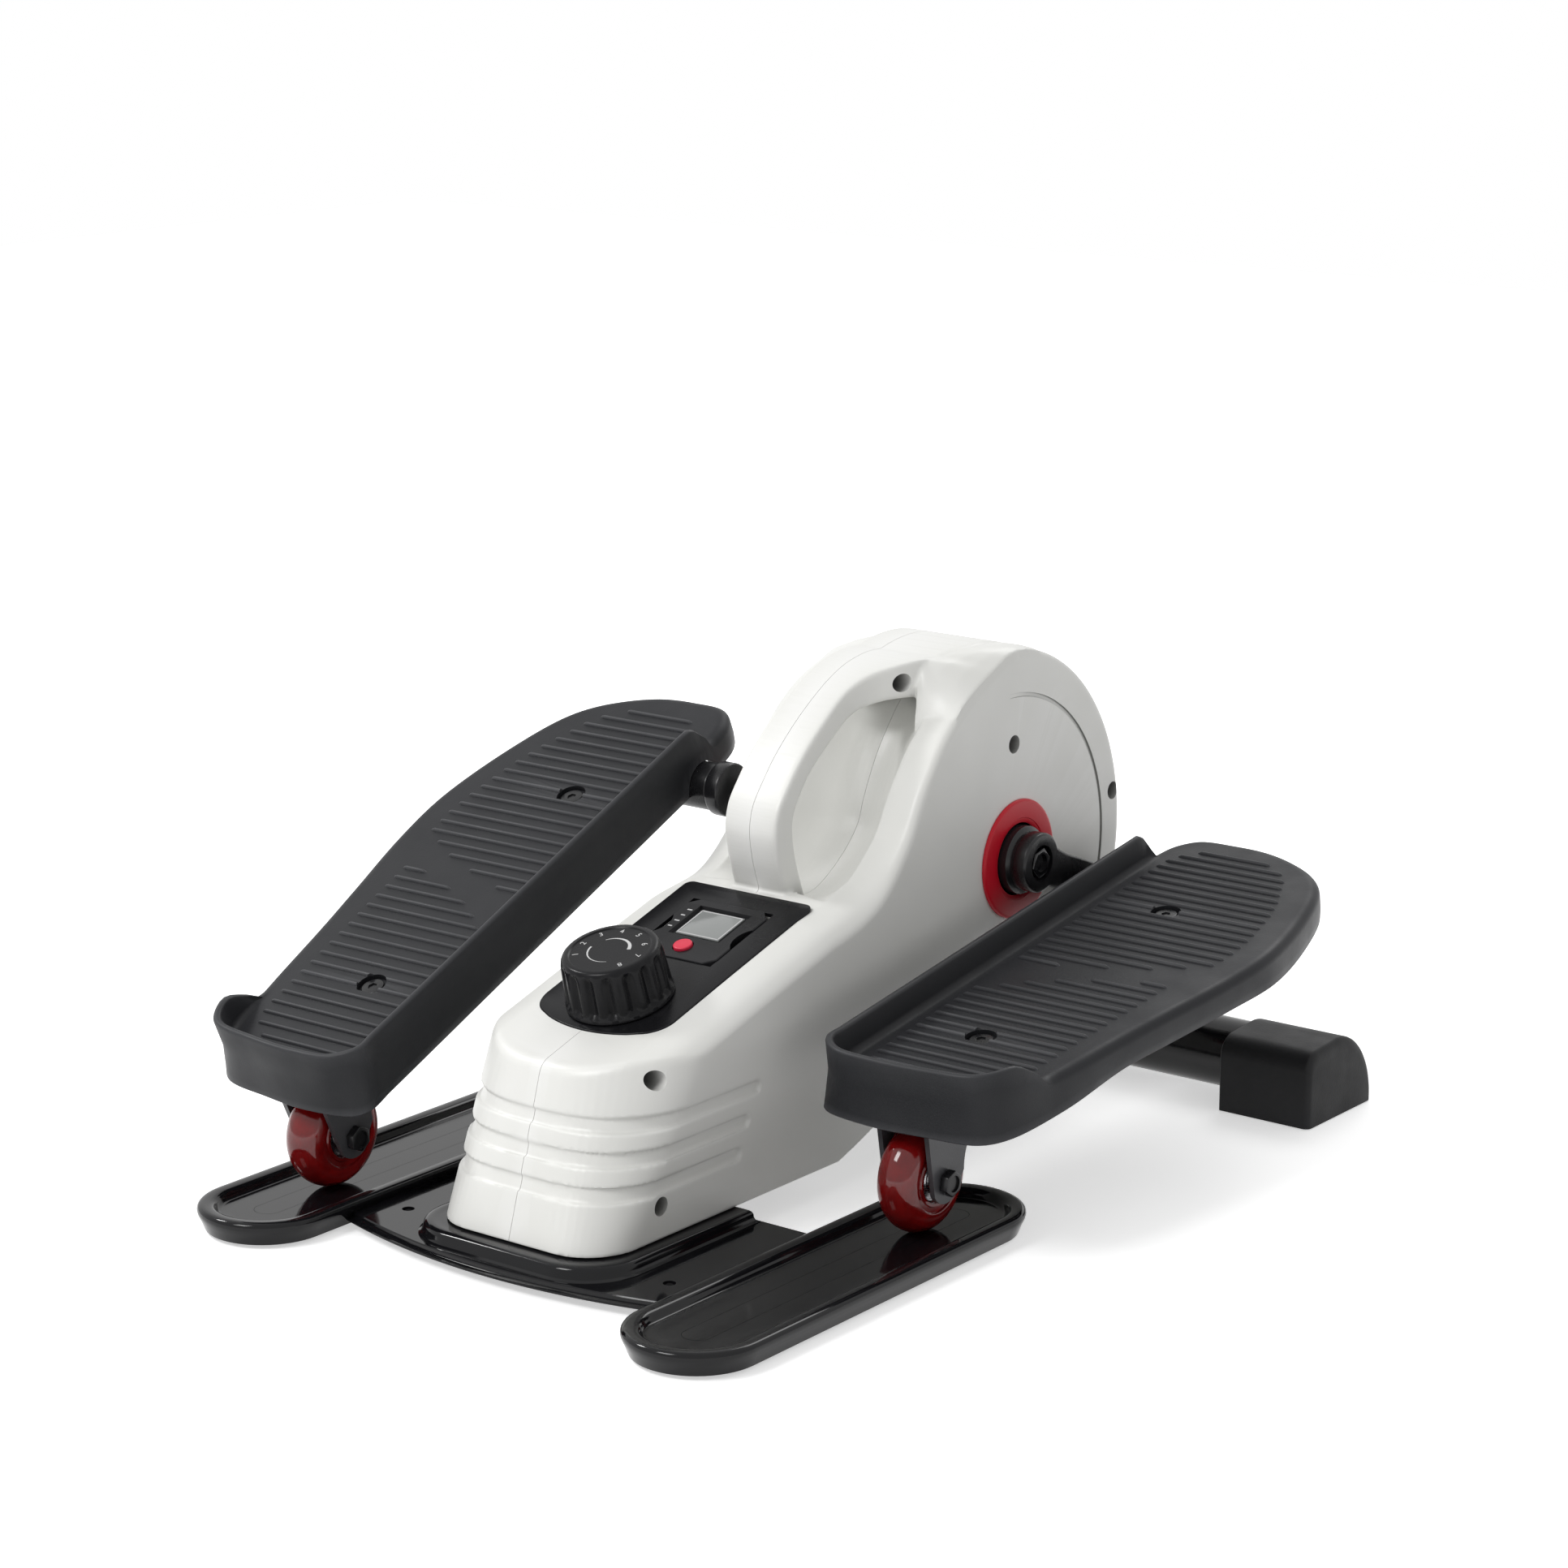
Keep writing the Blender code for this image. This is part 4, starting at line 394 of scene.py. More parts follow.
def combined(target: Solid, operation: Operation, *tools: Solid) -> Solid:
    """Works the tools into the target with exact Booleans, and uses them up.

    Args:
        target: The solid that is kept.
        operation: What each tool does.
        *tools: The other solids.

    Returns:
        The target.
    """
    for tool in tools:
        modifier = target.modifiers.new("combine", "BOOLEAN")
        modifier.operation = operation.value
        modifier.solver = "EXACT"
        modifier.object = tool
        settled(target)
        bpy.data.objects.remove(tool)
    return target


def cut(target: Solid, *tools: Solid) -> Solid:
    """Takes the tools out of the target."""
    return combined(target, Operation.CUT, *tools)


def joined(target: Solid, *tools: Solid) -> Solid:
    """Makes the target and the tools one body."""
    return combined(target, Operation.JOIN, *tools)


def gathered(name: str, *parts: Solid) -> Solid:
    """Several separate shells as one object.

    Args:
        name: The object's name.
        *parts: Objects that are used up.

    Returns:
        One object with all their faces.
    """
    shape = bmesh.new()
    for part in parts:
        shape.from_mesh(part.data)
        bpy.data.objects.remove(part)
    return held(name, shape)


def moved(target: Solid, matrix: Matrix) -> Solid:
    """Places the object's mesh by the matrix, and turns its faces outwards after a mirror."""
    target.data.transform(matrix)
    if matrix.determinant() < 0.0:
        target.data.flip_normals()
    return target


def bevelled(target: Solid, width: float, segments: int = 3, angle: float = 40.0) -> Solid:
    """Rounds the edges that are sharper than the angle."""
    bevel = target.modifiers.new("bevel", "BEVEL")
    bevel.width = width
    bevel.segments = segments
    bevel.limit_method = "ANGLE"
    bevel.angle_limit = radians(angle)
    return settled(target)


def ordered(target: Solid) -> Solid:
    """Puts the mesh in one fixed order, because a Boolean orders its points differently from run to run.

    Args:
        target: The solid.

    Returns:
        The target, with its points sorted and each face begun at its first point.
    """
    mesh = target.data
    points = sorted(mesh.vertices, key=lambda vertex: tuple(vertex.co))
    places = {vertex.index: place for place, vertex in enumerate(points)}
    faces = []
    for face in mesh.polygons:
        ring = [places[index] for index in face.vertices]
        first = ring.index(min(ring))
        faces.append(ring[first:] + ring[:first])
    target.data = bpy.data.meshes.new(target.name)
    target.data.from_pydata([tuple(vertex.co) for vertex in points], [], sorted(faces))
    bpy.data.meshes.remove(mesh)
    return target


def softened(target: Solid, cell: float, passes: int, share: float) -> Solid:
    """Melts a solid into one skin with the small fillets of a moulding.

    Args:
        target: A closed solid.
        cell: Size of the even cells of the new skin.
        passes: Smoothing passes.
        share: Share of the faces that stays after thinning.

    Returns:
        The target.
    """
    skin = ordered(target).modifiers.new("skin", "REMESH")
    skin.mode = "VOXEL"
    skin.voxel_size = cell
    smooth = target.modifiers.new("smooth", "SMOOTH")
    smooth.factor = 0.5
    smooth.iterations = passes
    thin = target.modifiers.new("thin", "DECIMATE")
    thin.ratio = share
    return settled(target)


def parted(target: Solid, place: float) -> Solid:
    """Keeps what lies beyond a plane across X and closes the cut.

    Args:
        target: The solid.
        place: The plane's X.

    Returns:
        The target.
    """
    shape = bmesh.new()
    shape.from_mesh(target.data)
    everything = [*shape.verts, *shape.edges, *shape.faces]
    bmesh.ops.bisect_plane(shape, geom=everything, dist=0.0000001, plane_co=(place, 0.0, 0.0),
                           plane_no=(1.0, 0.0, 0.0), clear_inner=True)
    border = [edge for edge in shape.edges if edge.is_boundary]
    bmesh.ops.triangle_fill(shape, edges=border, use_beauty=True)
    bmesh.ops.recalc_face_normals(shape, faces=shape.faces)
    shape.to_mesh(target.data)
    shape.free()
    return target


class NodeNet:
    """A material's node tree with short ways to add and link nodes."""

    def __init__(self, name: str) -> None:
        """Starts a new material.

        Args:
            name: The material's name.
        """
        self.material = bpy.data.materials.new(name)
        self.material.use_nodes = True
        self.tree = self.material.node_tree
        self.shader = self.tree.nodes["Principled BSDF"]
        self.place = self.tree.nodes.new("ShaderNodeTexCoord").outputs["Object"]

    def add(self, kind: str, **values: object) -> bpy.types.Node:
        """Adds a node.

        Args:
            kind: The node's type without the words Shader and Node.
            **values: Properties to set, or inputs by their name with _ for spaces.

        Returns:
            The new node.
        """
        node = self.tree.nodes.new("ShaderNode" + kind)
        for key, value in values.items():
            if hasattr(node, key):
                setattr(node, key, value)
            else:
                node.inputs[key.replace("_", " ")].default_value = value
        return node

    def link(self, source: Socket, target: Socket) -> None:
        """Links an output to an input."""
        self.tree.links.new(source, target)

    def settle(self, **values: object) -> None:
        """Sets inputs of the shader to plain values, by their name with _ for spaces."""
        for key, value in values.items():
            self.shader.inputs[key.replace("_", " ")].default_value = value

    def stretched(self, scale: Colour) -> Socket:
        """The piece's own place, drawn out by a factor for each axis."""
        mapping = self.add("Mapping")
        mapping.inputs["Scale"].default_value = scale
        self.link(self.place, mapping.inputs["Vector"])
        return mapping.outputs["Vector"]

    def noise(self, scale: float, detail: float = 3.0, stretch: Colour | None = None) -> Socket:
        """Noise over the piece's own place.

        Args:
            scale: Cells per metre.
            detail: Octaves of detail.
            stretch: Factors for each axis, where the pattern is drawn out.

        Returns:
            The noise's value output.
        """
        noise = self.add("TexNoise", Scale=scale, Detail=detail)
        self.link(self.stretched(stretch) if stretch else self.place, noise.inputs["Vector"])
        return noise.outputs["Fac"]

    def spread(self, source: Socket, low: float, high: float, start: float = 0.3, end: float = 0.7) -> Socket:
        """Maps a value from start..end to low..high and clamps it.

        Args:
            source: The value.
            low: Result at start.
            high: Result at end.
            start: Source value that gives low.
            end: Source value that gives high.

        Returns:
            The mapped value's output.
        """
        span = self.add("MapRange")
        for socket, value in (("From Min", start), ("From Max", end), ("To Min", low), ("To Max", high)):
            span.inputs[socket].default_value = value
        self.link(source, span.inputs["Value"])
        return span.outputs["Result"]

    def blend(self, factor: Socket, first: Colour | Socket, second: Colour) -> Socket:
        """A colour between two by a factor.

        Args:
            factor: The share of the second colour.
            first: Colour at 0, or an output that gives it.
            second: Colour at 1.

        Returns:
            The mixed colour's output.
        """
        mix = self.add("Mix", data_type="RGBA")
        sockets = {socket.name: socket for socket in mix.inputs if socket.type == "RGBA"}
        sockets["B"].default_value = (*second, 1.0)
        if isinstance(first, tuple):
            sockets["A"].default_value = (*first, 1.0)
        else:
            self.link(first, sockets["A"])
        self.link(factor, mix.inputs["Factor"])
        return next(socket for socket in mix.outputs if socket.type == "RGBA")

    def bump(self, height: Socket, depth: float, before: bpy.types.Node | None = None) -> bpy.types.Node:
        """A bump node that feeds the shader's normal.

        Args:
            height: The height's output.
            depth: The bump's distance in metres.
            before: An earlier bump that this one adds to.

        Returns:
            The bump node.
        """
        bump = self.add("Bump")
        bump.inputs["Strength"].default_value = 1.0
        bump.inputs["Distance"].default_value = depth
        self.link(height, bump.inputs["Height"])
        if before is not None:
            self.link(before.outputs["Normal"], bump.inputs["Normal"])
        self.link(bump.outputs["Normal"], self.shader.inputs["Normal"])
        return bump

    def worn_edges(self, low: float, high: float) -> Socket:
        """How far a point lies on an outer edge, from the surface's own pointiness; the colour is paled
        there, partly as wear and partly as a painted highlight.
        """
        geometry = self.add("NewGeometry")
        return self.spread(geometry.outputs["Pointiness"], 0.0, 1.0, low, high)


def seen_ray(tree: bpy.types.NodeTree) -> Socket:
    """Whether a ray is one that the camera sees by.

    Args:
        tree: The node tree that asks.

    Returns:
        An output that is 1 for such a ray.
    """
    path = tree.nodes.new("ShaderNodeLightPath")
    found = path.outputs[SEEING_RAYS[0]]
    for kind in SEEING_RAYS[1:]:
        either = tree.nodes.new("ShaderNodeMath")
        either.operation = "MAXIMUM"
        tree.links.new(found, either.inputs[0])
        tree.links.new(path.outputs[kind], either.inputs[1])
        found = either.outputs["Value"]
    return found


@dataclass(frozen=True)
class Plastic:
    """Moulded plastic, paint or rubber: fine grain, slow drift of colour, changing gloss, paler edges that
    are partly wear and partly a painted highlight, and painted shade in creases and recesses.
    """

    name: str
    colour: Colour
    drift: Colour
    gloss: Point
    grain_scale: float = 900.0
    grain_depth: float = 0.00004
    drift_scale: float = 14.0
    # Edge colour: partly wear, partly a painted highlight on convex edges and rib tops.
    edge: Colour | None = None
    shine: float = 0.5
    metal: float = 0.0
    crevice: float = 0.0

    def material(self) -> bpy.types.Material:
        """The node material of this finish."""
        net = NodeNet(self.name)
        colour = net.blend(net.spread(net.noise(self.drift_scale, 4.0), 0.0, 1.0), self.colour, self.drift)
        if self.edge is not None:
            # Paler outer edges: partly wear, partly a painted highlight where light catches rims and rib
            # tops.
            wear_and_highlight = net.worn_edges(0.52, 0.62)
            colour = net.blend(wear_and_highlight, colour, self.edge)
        # Painted shade: an occlusion node darkens the colour in creases, grooves and recesses, where shade
        # falls.
        if self.crevice:
            hollow = net.add("AmbientOcclusion", only_local=True, samples=6, Distance=self.crevice)
            painted_shade_colour = tuple(value * 0.18 for value in self.colour)
            colour = net.blend(net.spread(hollow.outputs["AO"], 1.0, 0.0, 0.15, 0.8), colour, painted_shade_colour)
        net.link(colour, net.shader.inputs["Base Color"])
        net.link(net.spread(net.noise(self.drift_scale * 3.0), *self.gloss), net.shader.inputs["Roughness"])
        ripple = net.bump(net.noise(self.drift_scale * 5.0, 1.0), self.grain_depth * 0.6)
        net.bump(net.noise(self.grain_scale, 2.0), self.grain_depth, ripple)
        net.settle(Metallic=self.metal, Specular_IOR_Level=self.shine)
        return net.material


@dataclass(frozen=True)
class Steel:
    """Turned or plated steel with fine marks drawn out along one axis."""

    name: str
    colour: Colour
    gloss: Point
    draw: Colour = (40.0, 900.0, 900.0)
    mark_depth: float = 0.00001

    def material(self) -> bpy.types.Material:
        """The node material of this finish."""
        net = NodeNet(self.name)
        darker = tuple(value * 0.8 for value in self.colour)
        marks = net.noise(1.0, 3.0, self.draw)
        net.link(net.blend(net.spread(net.noise(60.0), 0.0, 1.0), self.colour, darker),
                 net.shader.inputs["Base Color"])
        net.link(net.spread(marks, *self.gloss), net.shader.inputs["Roughness"])
        net.bump(marks, self.mark_depth)
        net.settle(Metallic=1.0)
        return net.material


@dataclass(frozen=True)
class Urethane:
    """Clear tinted urethane of the roller tyres: light passes in and comes out red."""

    name: str
    colour: Colour
    depth: Colour
    gloss: Point = (0.05, 0.14)

    def material(self) -> bpy.types.Material:
        """The node material of this finish."""
        net = NodeNet(self.name)
        cloud = net.spread(net.noise(90.0, 3.0), 0.0, 1.0)
        net.link(net.blend(cloud, self.colour, self.depth), net.shader.inputs["Base Color"])
        net.link(net.spread(net.noise(220.0), *self.gloss), net.shader.inputs["Roughness"])
        net.bump(net.noise(500.0), 0.00002)
        net.settle(Transmission_Weight=0.3, IOR=1.5, Subsurface_Weight=0.25, Subsurface_Scale=1.0,
                   Subsurface_Radius=(0.008, 0.001, 0.0008))
        return net.material


FINISHES = (
    # Painted shade darkens the housing's bands, seams and screw recesses.
    Plastic("housing_white", (0.76, 0.76, 0.735), (0.735, 0.735, 0.705), (0.34, 0.44), 1400.0, 0.00002,
            edge=(0.8, 0.8, 0.78), crevice=0.016),
    Plastic("gloss_black", (0.004, 0.004, 0.005), (0.006, 0.006, 0.007), (0.06, 0.11), 300.0, 0.00001,
            shine=0.26),
    # The pale edge colour paints highlights on the rib tops, and painted shade darkens the gaps between ribs.
    Plastic("footplate_grey", (0.0125, 0.013, 0.015), (0.0155, 0.016, 0.0185), (0.4, 0.52), 1100.0, 0.00005,
            edge=(0.085, 0.086, 0.092), shine=0.22, crevice=0.003),
    Plastic("frame_black", (0.006, 0.006, 0.007), (0.009, 0.009, 0.01), (0.22, 0.34),
            edge=(0.02, 0.02, 0.022), shine=0.36),
    Plastic("tube_black", (0.004, 0.004, 0.005), (0.006, 0.006, 0.007), (0.1, 0.2), shine=0.4),
    Plastic("bracket_grey", (0.018, 0.019, 0.021), (0.024, 0.025, 0.027), (0.28, 0.4),
            edge=(0.06, 0.06, 0.065), shine=0.4),
    Steel("bright_steel", (0.62, 0.62, 0.64), (0.22, 0.36)),
    Plastic("disc_red", (0.56, 0.004, 0.018), (0.5, 0.003, 0.015), (0.32, 0.42),
            edge=(0.66, 0.02, 0.04), shine=0.3),
    Plastic("panel_black", (0.005, 0.005, 0.006), (0.008, 0.008, 0.009), (0.2, 0.3),
            edge=(0.022, 0.022, 0.024), shine=0.14),
    Plastic("lens_grey", (0.27, 0.28, 0.275), (0.24, 0.25, 0.245), (0.08, 0.14)),
    Plastic("button_red", (0.72, 0.022, 0.065), (0.66, 0.018, 0.055), (0.32, 0.4)),
    Plastic("rubber_black", (0.009, 0.009, 0.01), (0.013, 0.013, 0.014), (0.46, 0.6), 700.0, 0.00008,
            edge=(0.03, 0.03, 0.032), shine=0.22),
    Plastic("magnet_grey", (0.16, 0.16, 0.17), (0.12, 0.12, 0.13), (0.4, 0.55), metal=0.8),
    Plastic("print_white", (0.55, 0.55, 0.55), (0.48, 0.48, 0.48), (0.4, 0.5)),
    Urethane("roller_red", (0.26, 0.006, 0.006), (0.17, 0.004, 0.005)),
)


@dataclass
class Housing:
    """The two moulded halves of the housing: nose, deck, shoulder, drum, scoop and hooped grip."""

    half_width: float = 0.067
    wall: float = 0.003
    foot: float = 0.0168
    flank_draft: float = 0.061
    draft_top: float = 0.11
    overlap: float = 0.016
    nose_foot: float = 0.027
    nose_lean: float = 0.31
    nose_corner: float = 0.032
    nose_top_corner: float = 0.058
    nose_round: float = 0.01
    deck_front: float = 0.066
    deck_y: float = 0.1
    deck_height: float = 0.122
    deck_slope: float = 0.3
    underside: float = 0.24
    drum_centre: Point = (0.386, 0.1617)
    drum_radius: float = 0.1218
    drum_degrees: Point = (85.0, -116.0)
    edge: float = 0.005
    axle: Point = (0.398, 0.159)
    axle_hole: float = 0.0235
    shoulder: Curve = ((0.267, 0.171), (0.29, 0.191), (0.307, 0.219), (0.333, 0.25), (0.373, 0.274))
    scoop_back: Curve = ((0.25, 0.158), (0.262, 0.155), (0.277, 0.152), (0.292, 0.152), (0.316, 0.165),
                         (0.3335, 0.182), (0.339, 0.196), (0.351, 0.219), (0.366, 0.239), (0.386, 0.26))
    scoop_edge: Curve = ((0.244, 0.1625), (0.252, 0.1655), (0.26, 0.1685), (0.2666, 0.171), (0.28, 0.182),
                         (0.29, 0.191), (0.2985, 0.205), (0.3074, 0.219), (0.32, 0.2345), (0.346, 0.2577))
    scoop_front: Curve = ((0.3, 0.259), (0.24, 0.2))
    scoop_half_width: float = 0.044
    deck_dome: Curve = ((0.67, 0.0), (0.76, 0.0011), (0.85, 0.003), (0.9, 0.0048), (0.94, 0.007),
                        (0.97, 0.0092), (0.985, 0.0106), (1.0, 0.013))
    shoulder_dome: Curve = ((0.6, 0.0), (0.7, 0.0018), (0.8, 0.0045), (0.87, 0.0068), (0.92, 0.009),
                            (0.965, 0.0118), (1.0, 0.015))
    drum_dome: Curve = ((0.28, 0.0), (0.33, 0.0018), (0.39, 0.0032), (0.57, 0.0055), (0.72, 0.0088),
                        (0.85, 0.0125), (0.93, 0.0147), (1.0, 0.017))
    dome_fade: float = 0.06
    shares: tuple[float, ...] = (0.12, 0.24, 0.3, 0.36, 0.44, 0.52, 0.6, 0.67, 0.73, 0.79, 0.84, 0.88, 0.91,
                                 0.935, 0.955, 0.97, 0.982, 0.991, 0.997, 1.0)
    grip_half_width: float = 0.0185
    grip_stations: tuple[tuple[Point, Point, float], ...] = (
        ((0.247, 0.148), (0.265, 0.148), 0.0185), ((0.241, 0.165), (0.256, 0.17), 0.0185),
        ((0.2355, 0.182), (0.251, 0.186), 0.0185), ((0.233, 0.199), (0.2495, 0.199), 0.0185),
        ((0.236, 0.212), (0.251, 0.208), 0.0185), ((0.245, 0.2245), (0.2565, 0.217), 0.0185),
        ((0.256, 0.237), (0.2655, 0.228), 0.0185), ((0.276, 0.254), (0.284, 0.242), 0.0185),
        ((0.3, 0.2695), (0.3055, 0.2545), 0.0185), ((0.315, 0.2765), (0.3185, 0.2585), 0.0235),
        ((0.327, 0.28), (0.33, 0.2605), 0.031), ((0.342, 0.2822), (0.344, 0.2605), 0.0375))
    grip_edge: float = 0.0022
    crown_rise: float = 0.0022
    crown_fade: float = 1.3
    crown_depth: float = 0.02
    crown_degrees: Point = (104.0, 62.0)
    crown_half_width: float = 0.0405
    crown_flare: float = 0.0075
    ramp_inner: tuple[Place, ...] = (
        (0.044, 0.333, 0.2486), (0.0425, 0.337, 0.2611), (0.04, 0.3405, 0.2725), (0.0378, 0.3445, 0.2798),
        (0.0395, 0.349, 0.2811), (0.041, 0.356, 0.2813), (0.0445, 0.365, 0.283), (0.047, 0.375, 0.2843),
        (0.048, 0.39, 0.2847), (0.048, 0.405, 0.2833), (0.048, 0.42, 0.28))
    ramp_outer: Curve = (
        (0.337, 0.253), (0.344, 0.259), (0.352, 0.264), (0.36, 0.2683), (0.367, 0.2716), (0.374, 0.2747),
        (0.38, 0.2774), (0.387, 0.2804), (0.397, 0.2823), (0.409, 0.2812), (0.421, 0.2778))
    ramp_half_width: float = 0.066
    band_heights: Curve = ((0.078, 0.086), (0.0605, 0.069), (0.043, 0.0515))
    band_ends: tuple[float, ...] = (0.16, 0.152, 0.146)
    band_depth: float = 0.0022
    rim_groove_centre: Point = (0.389, 0.159)
    rim_groove_radius: float = 0.0975
    rim_groove_width: float = 0.0026
    rim_groove_depth: float = 0.0012
    screws: Curve = ((0.078, 0.036), (0.08, 0.104), (0.394, 0.2276), (0.4985, 0.18))
    grip_screw: Point = (0.3315, 0.27)
    recess_radius: float = 0.0054
    mouth_margin: float = 0.01
    mouth_top: float = 0.0275
    skin_cell: float = 0.0011
    skin_passes: int = 2
    skin_share: float = 0.2

    def deck(self, along: float) -> float:
        """Height of the sloped deck at a place along the machine."""
        return self.deck_height + self.deck_slope * (along - self.deck_y)

    @property
    def deck_frame(self) -> Matrix:
        """The frame that lies on the deck, with its origin at deck_y."""
        place = Matrix.Translation((0.0, self.deck_y, self.deck_height))
        return place @ Matrix.Rotation(atan2(self.deck_slope, 1.0), 4, "X")

    def nose(self, drawn_in: float, top_drawn_in: float, lowered: float, inset: float) -> Outline:
        """The leaning nose, its rounded top corner and the deck behind it, in the side view.

        Args:
            drawn_in: How far the nose has moved back at its foot.
            top_drawn_in: How far it has moved back at the deck.
            lowered: How far the deck has sunk.
            inset: Wall thickness to leave off.

        Returns:
            The points from the foot up.
        """
        lean = self.nose_lean + (top_drawn_in - drawn_in) / (self.deck(self.deck_front) - self.foot)
        foot_y = self.nose_foot + drawn_in + inset * hypot(1.0, self.nose_lean)
        lowered += inset * hypot(1.0, self.deck_slope)
        foot = (foot_y, self.foot + inset)
        deck_rise = self.deck_height - lowered - self.deck_slope * self.deck_y - self.foot
        corner_y = (foot_y + lean * deck_rise) / (1.0 - lean * self.deck_slope)
        corner = (corner_y, self.deck(corner_y) - lowered)
        deck_y = self.deck_y + self.nose_top_corner
        deck = (deck_y, self.deck(deck_y) - lowered)
        rounded = fillet(foot, corner, deck, self.nose_round - inset, 8)
        half_way = tuple((Vector(foot) + Vector(rounded[0])) / 2)
        return [foot, half_way] + rounded + [deck]

    def rear(self) -> tuple[Outline, list[float]]:
        """The side view behind the nose, and how far the drum's edge shape counts at each point.

        Returns:
            The points, and each point's share of the drum in its edge; less than 0 means the foot.
        """
        start, end = self.drum_degrees
        rim = arc(self.drum_centre, self.drum_radius, start, end, 96)
        rise = smooth_path([(0.215, self.deck(0.215)), (0.2395, self.deck(0.2395) - 0.002), *self.shoulder,
                            rim[0], rim[3]], 6)
        rise = [point for point in rise if 0.216 < point[0] < rim[0][0]]
        foot = [(self.underside, self.foot + 0.0015), (self.underside - 0.005, self.foot)]
        drum_shares = [eased(point[0], 0.35, 0.392) for point in rise] + [1.0] * len(rim) + [-1.0] * len(foot)
        return rise + rim + foot, drum_shares

    def nose_relief(self, radius: float, place_x: float) -> float:
        """How far a rounded corner of the nose has drawn in at a place across."""
        over = max(place_x - self.half_width + radius, 0.0)
        return radius - sqrt(max(radius ** 2 - over ** 2, 0.0))

    def edge_relief(self, side: Side, along: float, drum_share: float, share: float) -> float:
        """How far the skin behind the nose has drawn in at a share of the half width.

        Args:
            side: Which half; only the left one keeps its domed edges over the shoulder and drum.
            along: The point's Y.
            drum_share: How far it belongs to the drum.
            share: Share of the half width.

        Returns:
            The distance inwards.
        """
        if drum_share < 0.0:
            return 0.0
        plain = self.nose_relief(self.edge, share * self.half_width)
        deck = along_knots(self.deck_dome, share)
        if side is Side.RIGHT:
            fade = eased(along, 0.24, 0.24 + self.dome_fade)
            return deck + (plain - deck) * fade
        shoulder = along_knots(self.shoulder_dome, share)
        drum = along_knots(self.drum_dome, share)
        rear = shoulder + (drum - shoulder) * drum_share
        return deck + (rear - deck) * eased(along, 0.225, 0.26)

    def body(self, side: Side, inset: float, overlap: float) -> Solid:
        """One half of the housing as a solid that draws in towards its flank.

        Args:
            side: Which half.
            inset: Wall thickness to leave off.
            overlap: How far it reaches past the middle plane.

        Returns:
            The solid, for the right-hand side.
        """
        points, drum_shares = self.rear()
        front = self.nose(0.0, 0.0, 0.0, 0.0)
        step = 0.001
        near = offset_outline(front + points, step)[len(front):]
        rows = []
        for share in (-overlap / self.half_width, *self.shares):
            place_x = share * self.half_width
            row = self.nose(self.nose_relief(self.nose_corner, place_x),
                            self.nose_relief(self.nose_top_corner, place_x),
                            along_knots(self.deck_dome, share), inset)
            for (along, high), (near_y, near_z), drum_share in zip(points, near, drum_shares):
                reach = (self.edge_relief(side, along, drum_share, share) + inset) / step
                row.append((along + (near_y - along) * reach, high + (near_z - high) * reach))
            rows.append([(share * (self.half_width - inset), along, high) for along, high in row])
        return self.drafted(loft("body", rows))

    def drafted(self, body: Solid) -> Solid:
        """Leans the flank inwards below draft_top."""
        shape = bmesh.new()
        shape.from_mesh(body.data)
        everything = [*shape.verts, *shape.edges, *shape.faces]
        bmesh.ops.bisect_plane(shape, geom=everything, dist=0.0000001, plane_co=(0.0, 0.0, self.draft_top),
                               plane_no=(0.0, 0.0, 1.0))
        for vertex in shape.verts:
            if vertex.co.x > 0.0:
                below = max(self.draft_top - vertex.co.z, 0.0)
                vertex.co.x *= 1.0 - below * self.flank_draft / self.half_width
        shape.normal_update()
        bmesh.ops.triangulate(shape, faces=shape.faces)
        shape.to_mesh(body.data)
        shape.free()
        return body

    def scoop(self, inset: float) -> Solid:
        """The hollow in front of the drum where the fingers go, deepest on the middle plane.

        Args:
            inset: Wall thickness to add behind it.

        Returns:
            The hollow as a solid.
        """
        backs = smooth_path(self.scoop_back, 4)
        edges = smooth_path(self.scoop_edge, 4)
        rows = []
        for share in (None, 0.0, 0.1, 0.2, 0.3, 0.4, 0.5, 0.6, 0.7, 0.8, 0.9, 1.0, 1.12):
            place_x = -self.overlap - 0.002 if share is None else share * self.scoop_half_width
            ease = (share or 0.0) ** 2
            row = []
            for back, edge in zip(backs, edges):
                row.append((place_x, back[0] + (edge[0] - back[0]) * ease + inset,
                            back[1] + (edge[1] - back[1]) * ease - inset))
            last = row.pop()
            row.append((place_x, last[1], last[2] + 2 * inset))
            top, front = self.scoop_front
            row.append((place_x, top[0], top[1] + inset))
            row.append((place_x, *front))
            rows.append(row)
        return loft("scoop", rows)

    def grip_ring(self, outer: Point, inner: Point, half_width: float) -> Row:
        """A rounded section across the grip between its outer and inner curve.

        Args:
            outer: The section's outer point in the side view.
            inner: Its inner point.
            half_width: Half its width across the machine.

        Returns:
            The ring of points.
        """
        middle = (Vector(outer) + Vector(inner)) / 2
        half_depth = (Vector(outer) - Vector(inner)).length / 2
        upwards = (Vector(outer) - Vector(inner)).normalized()
        corner = min(self.grip_edge, half_depth * 0.85)
        section = []
        for quarter, (across, high) in enumerate(((1, 1), (-1, 1), (-1, -1), (1, -1))):
            centre = (across * (half_width - corner), high * (half_depth - corner))
            section += arc(centre, corner, quarter * 90.0, quarter * 90.0 + 90.0, 5)
        return [(across, *(middle + upwards * high)) for across, high in section]

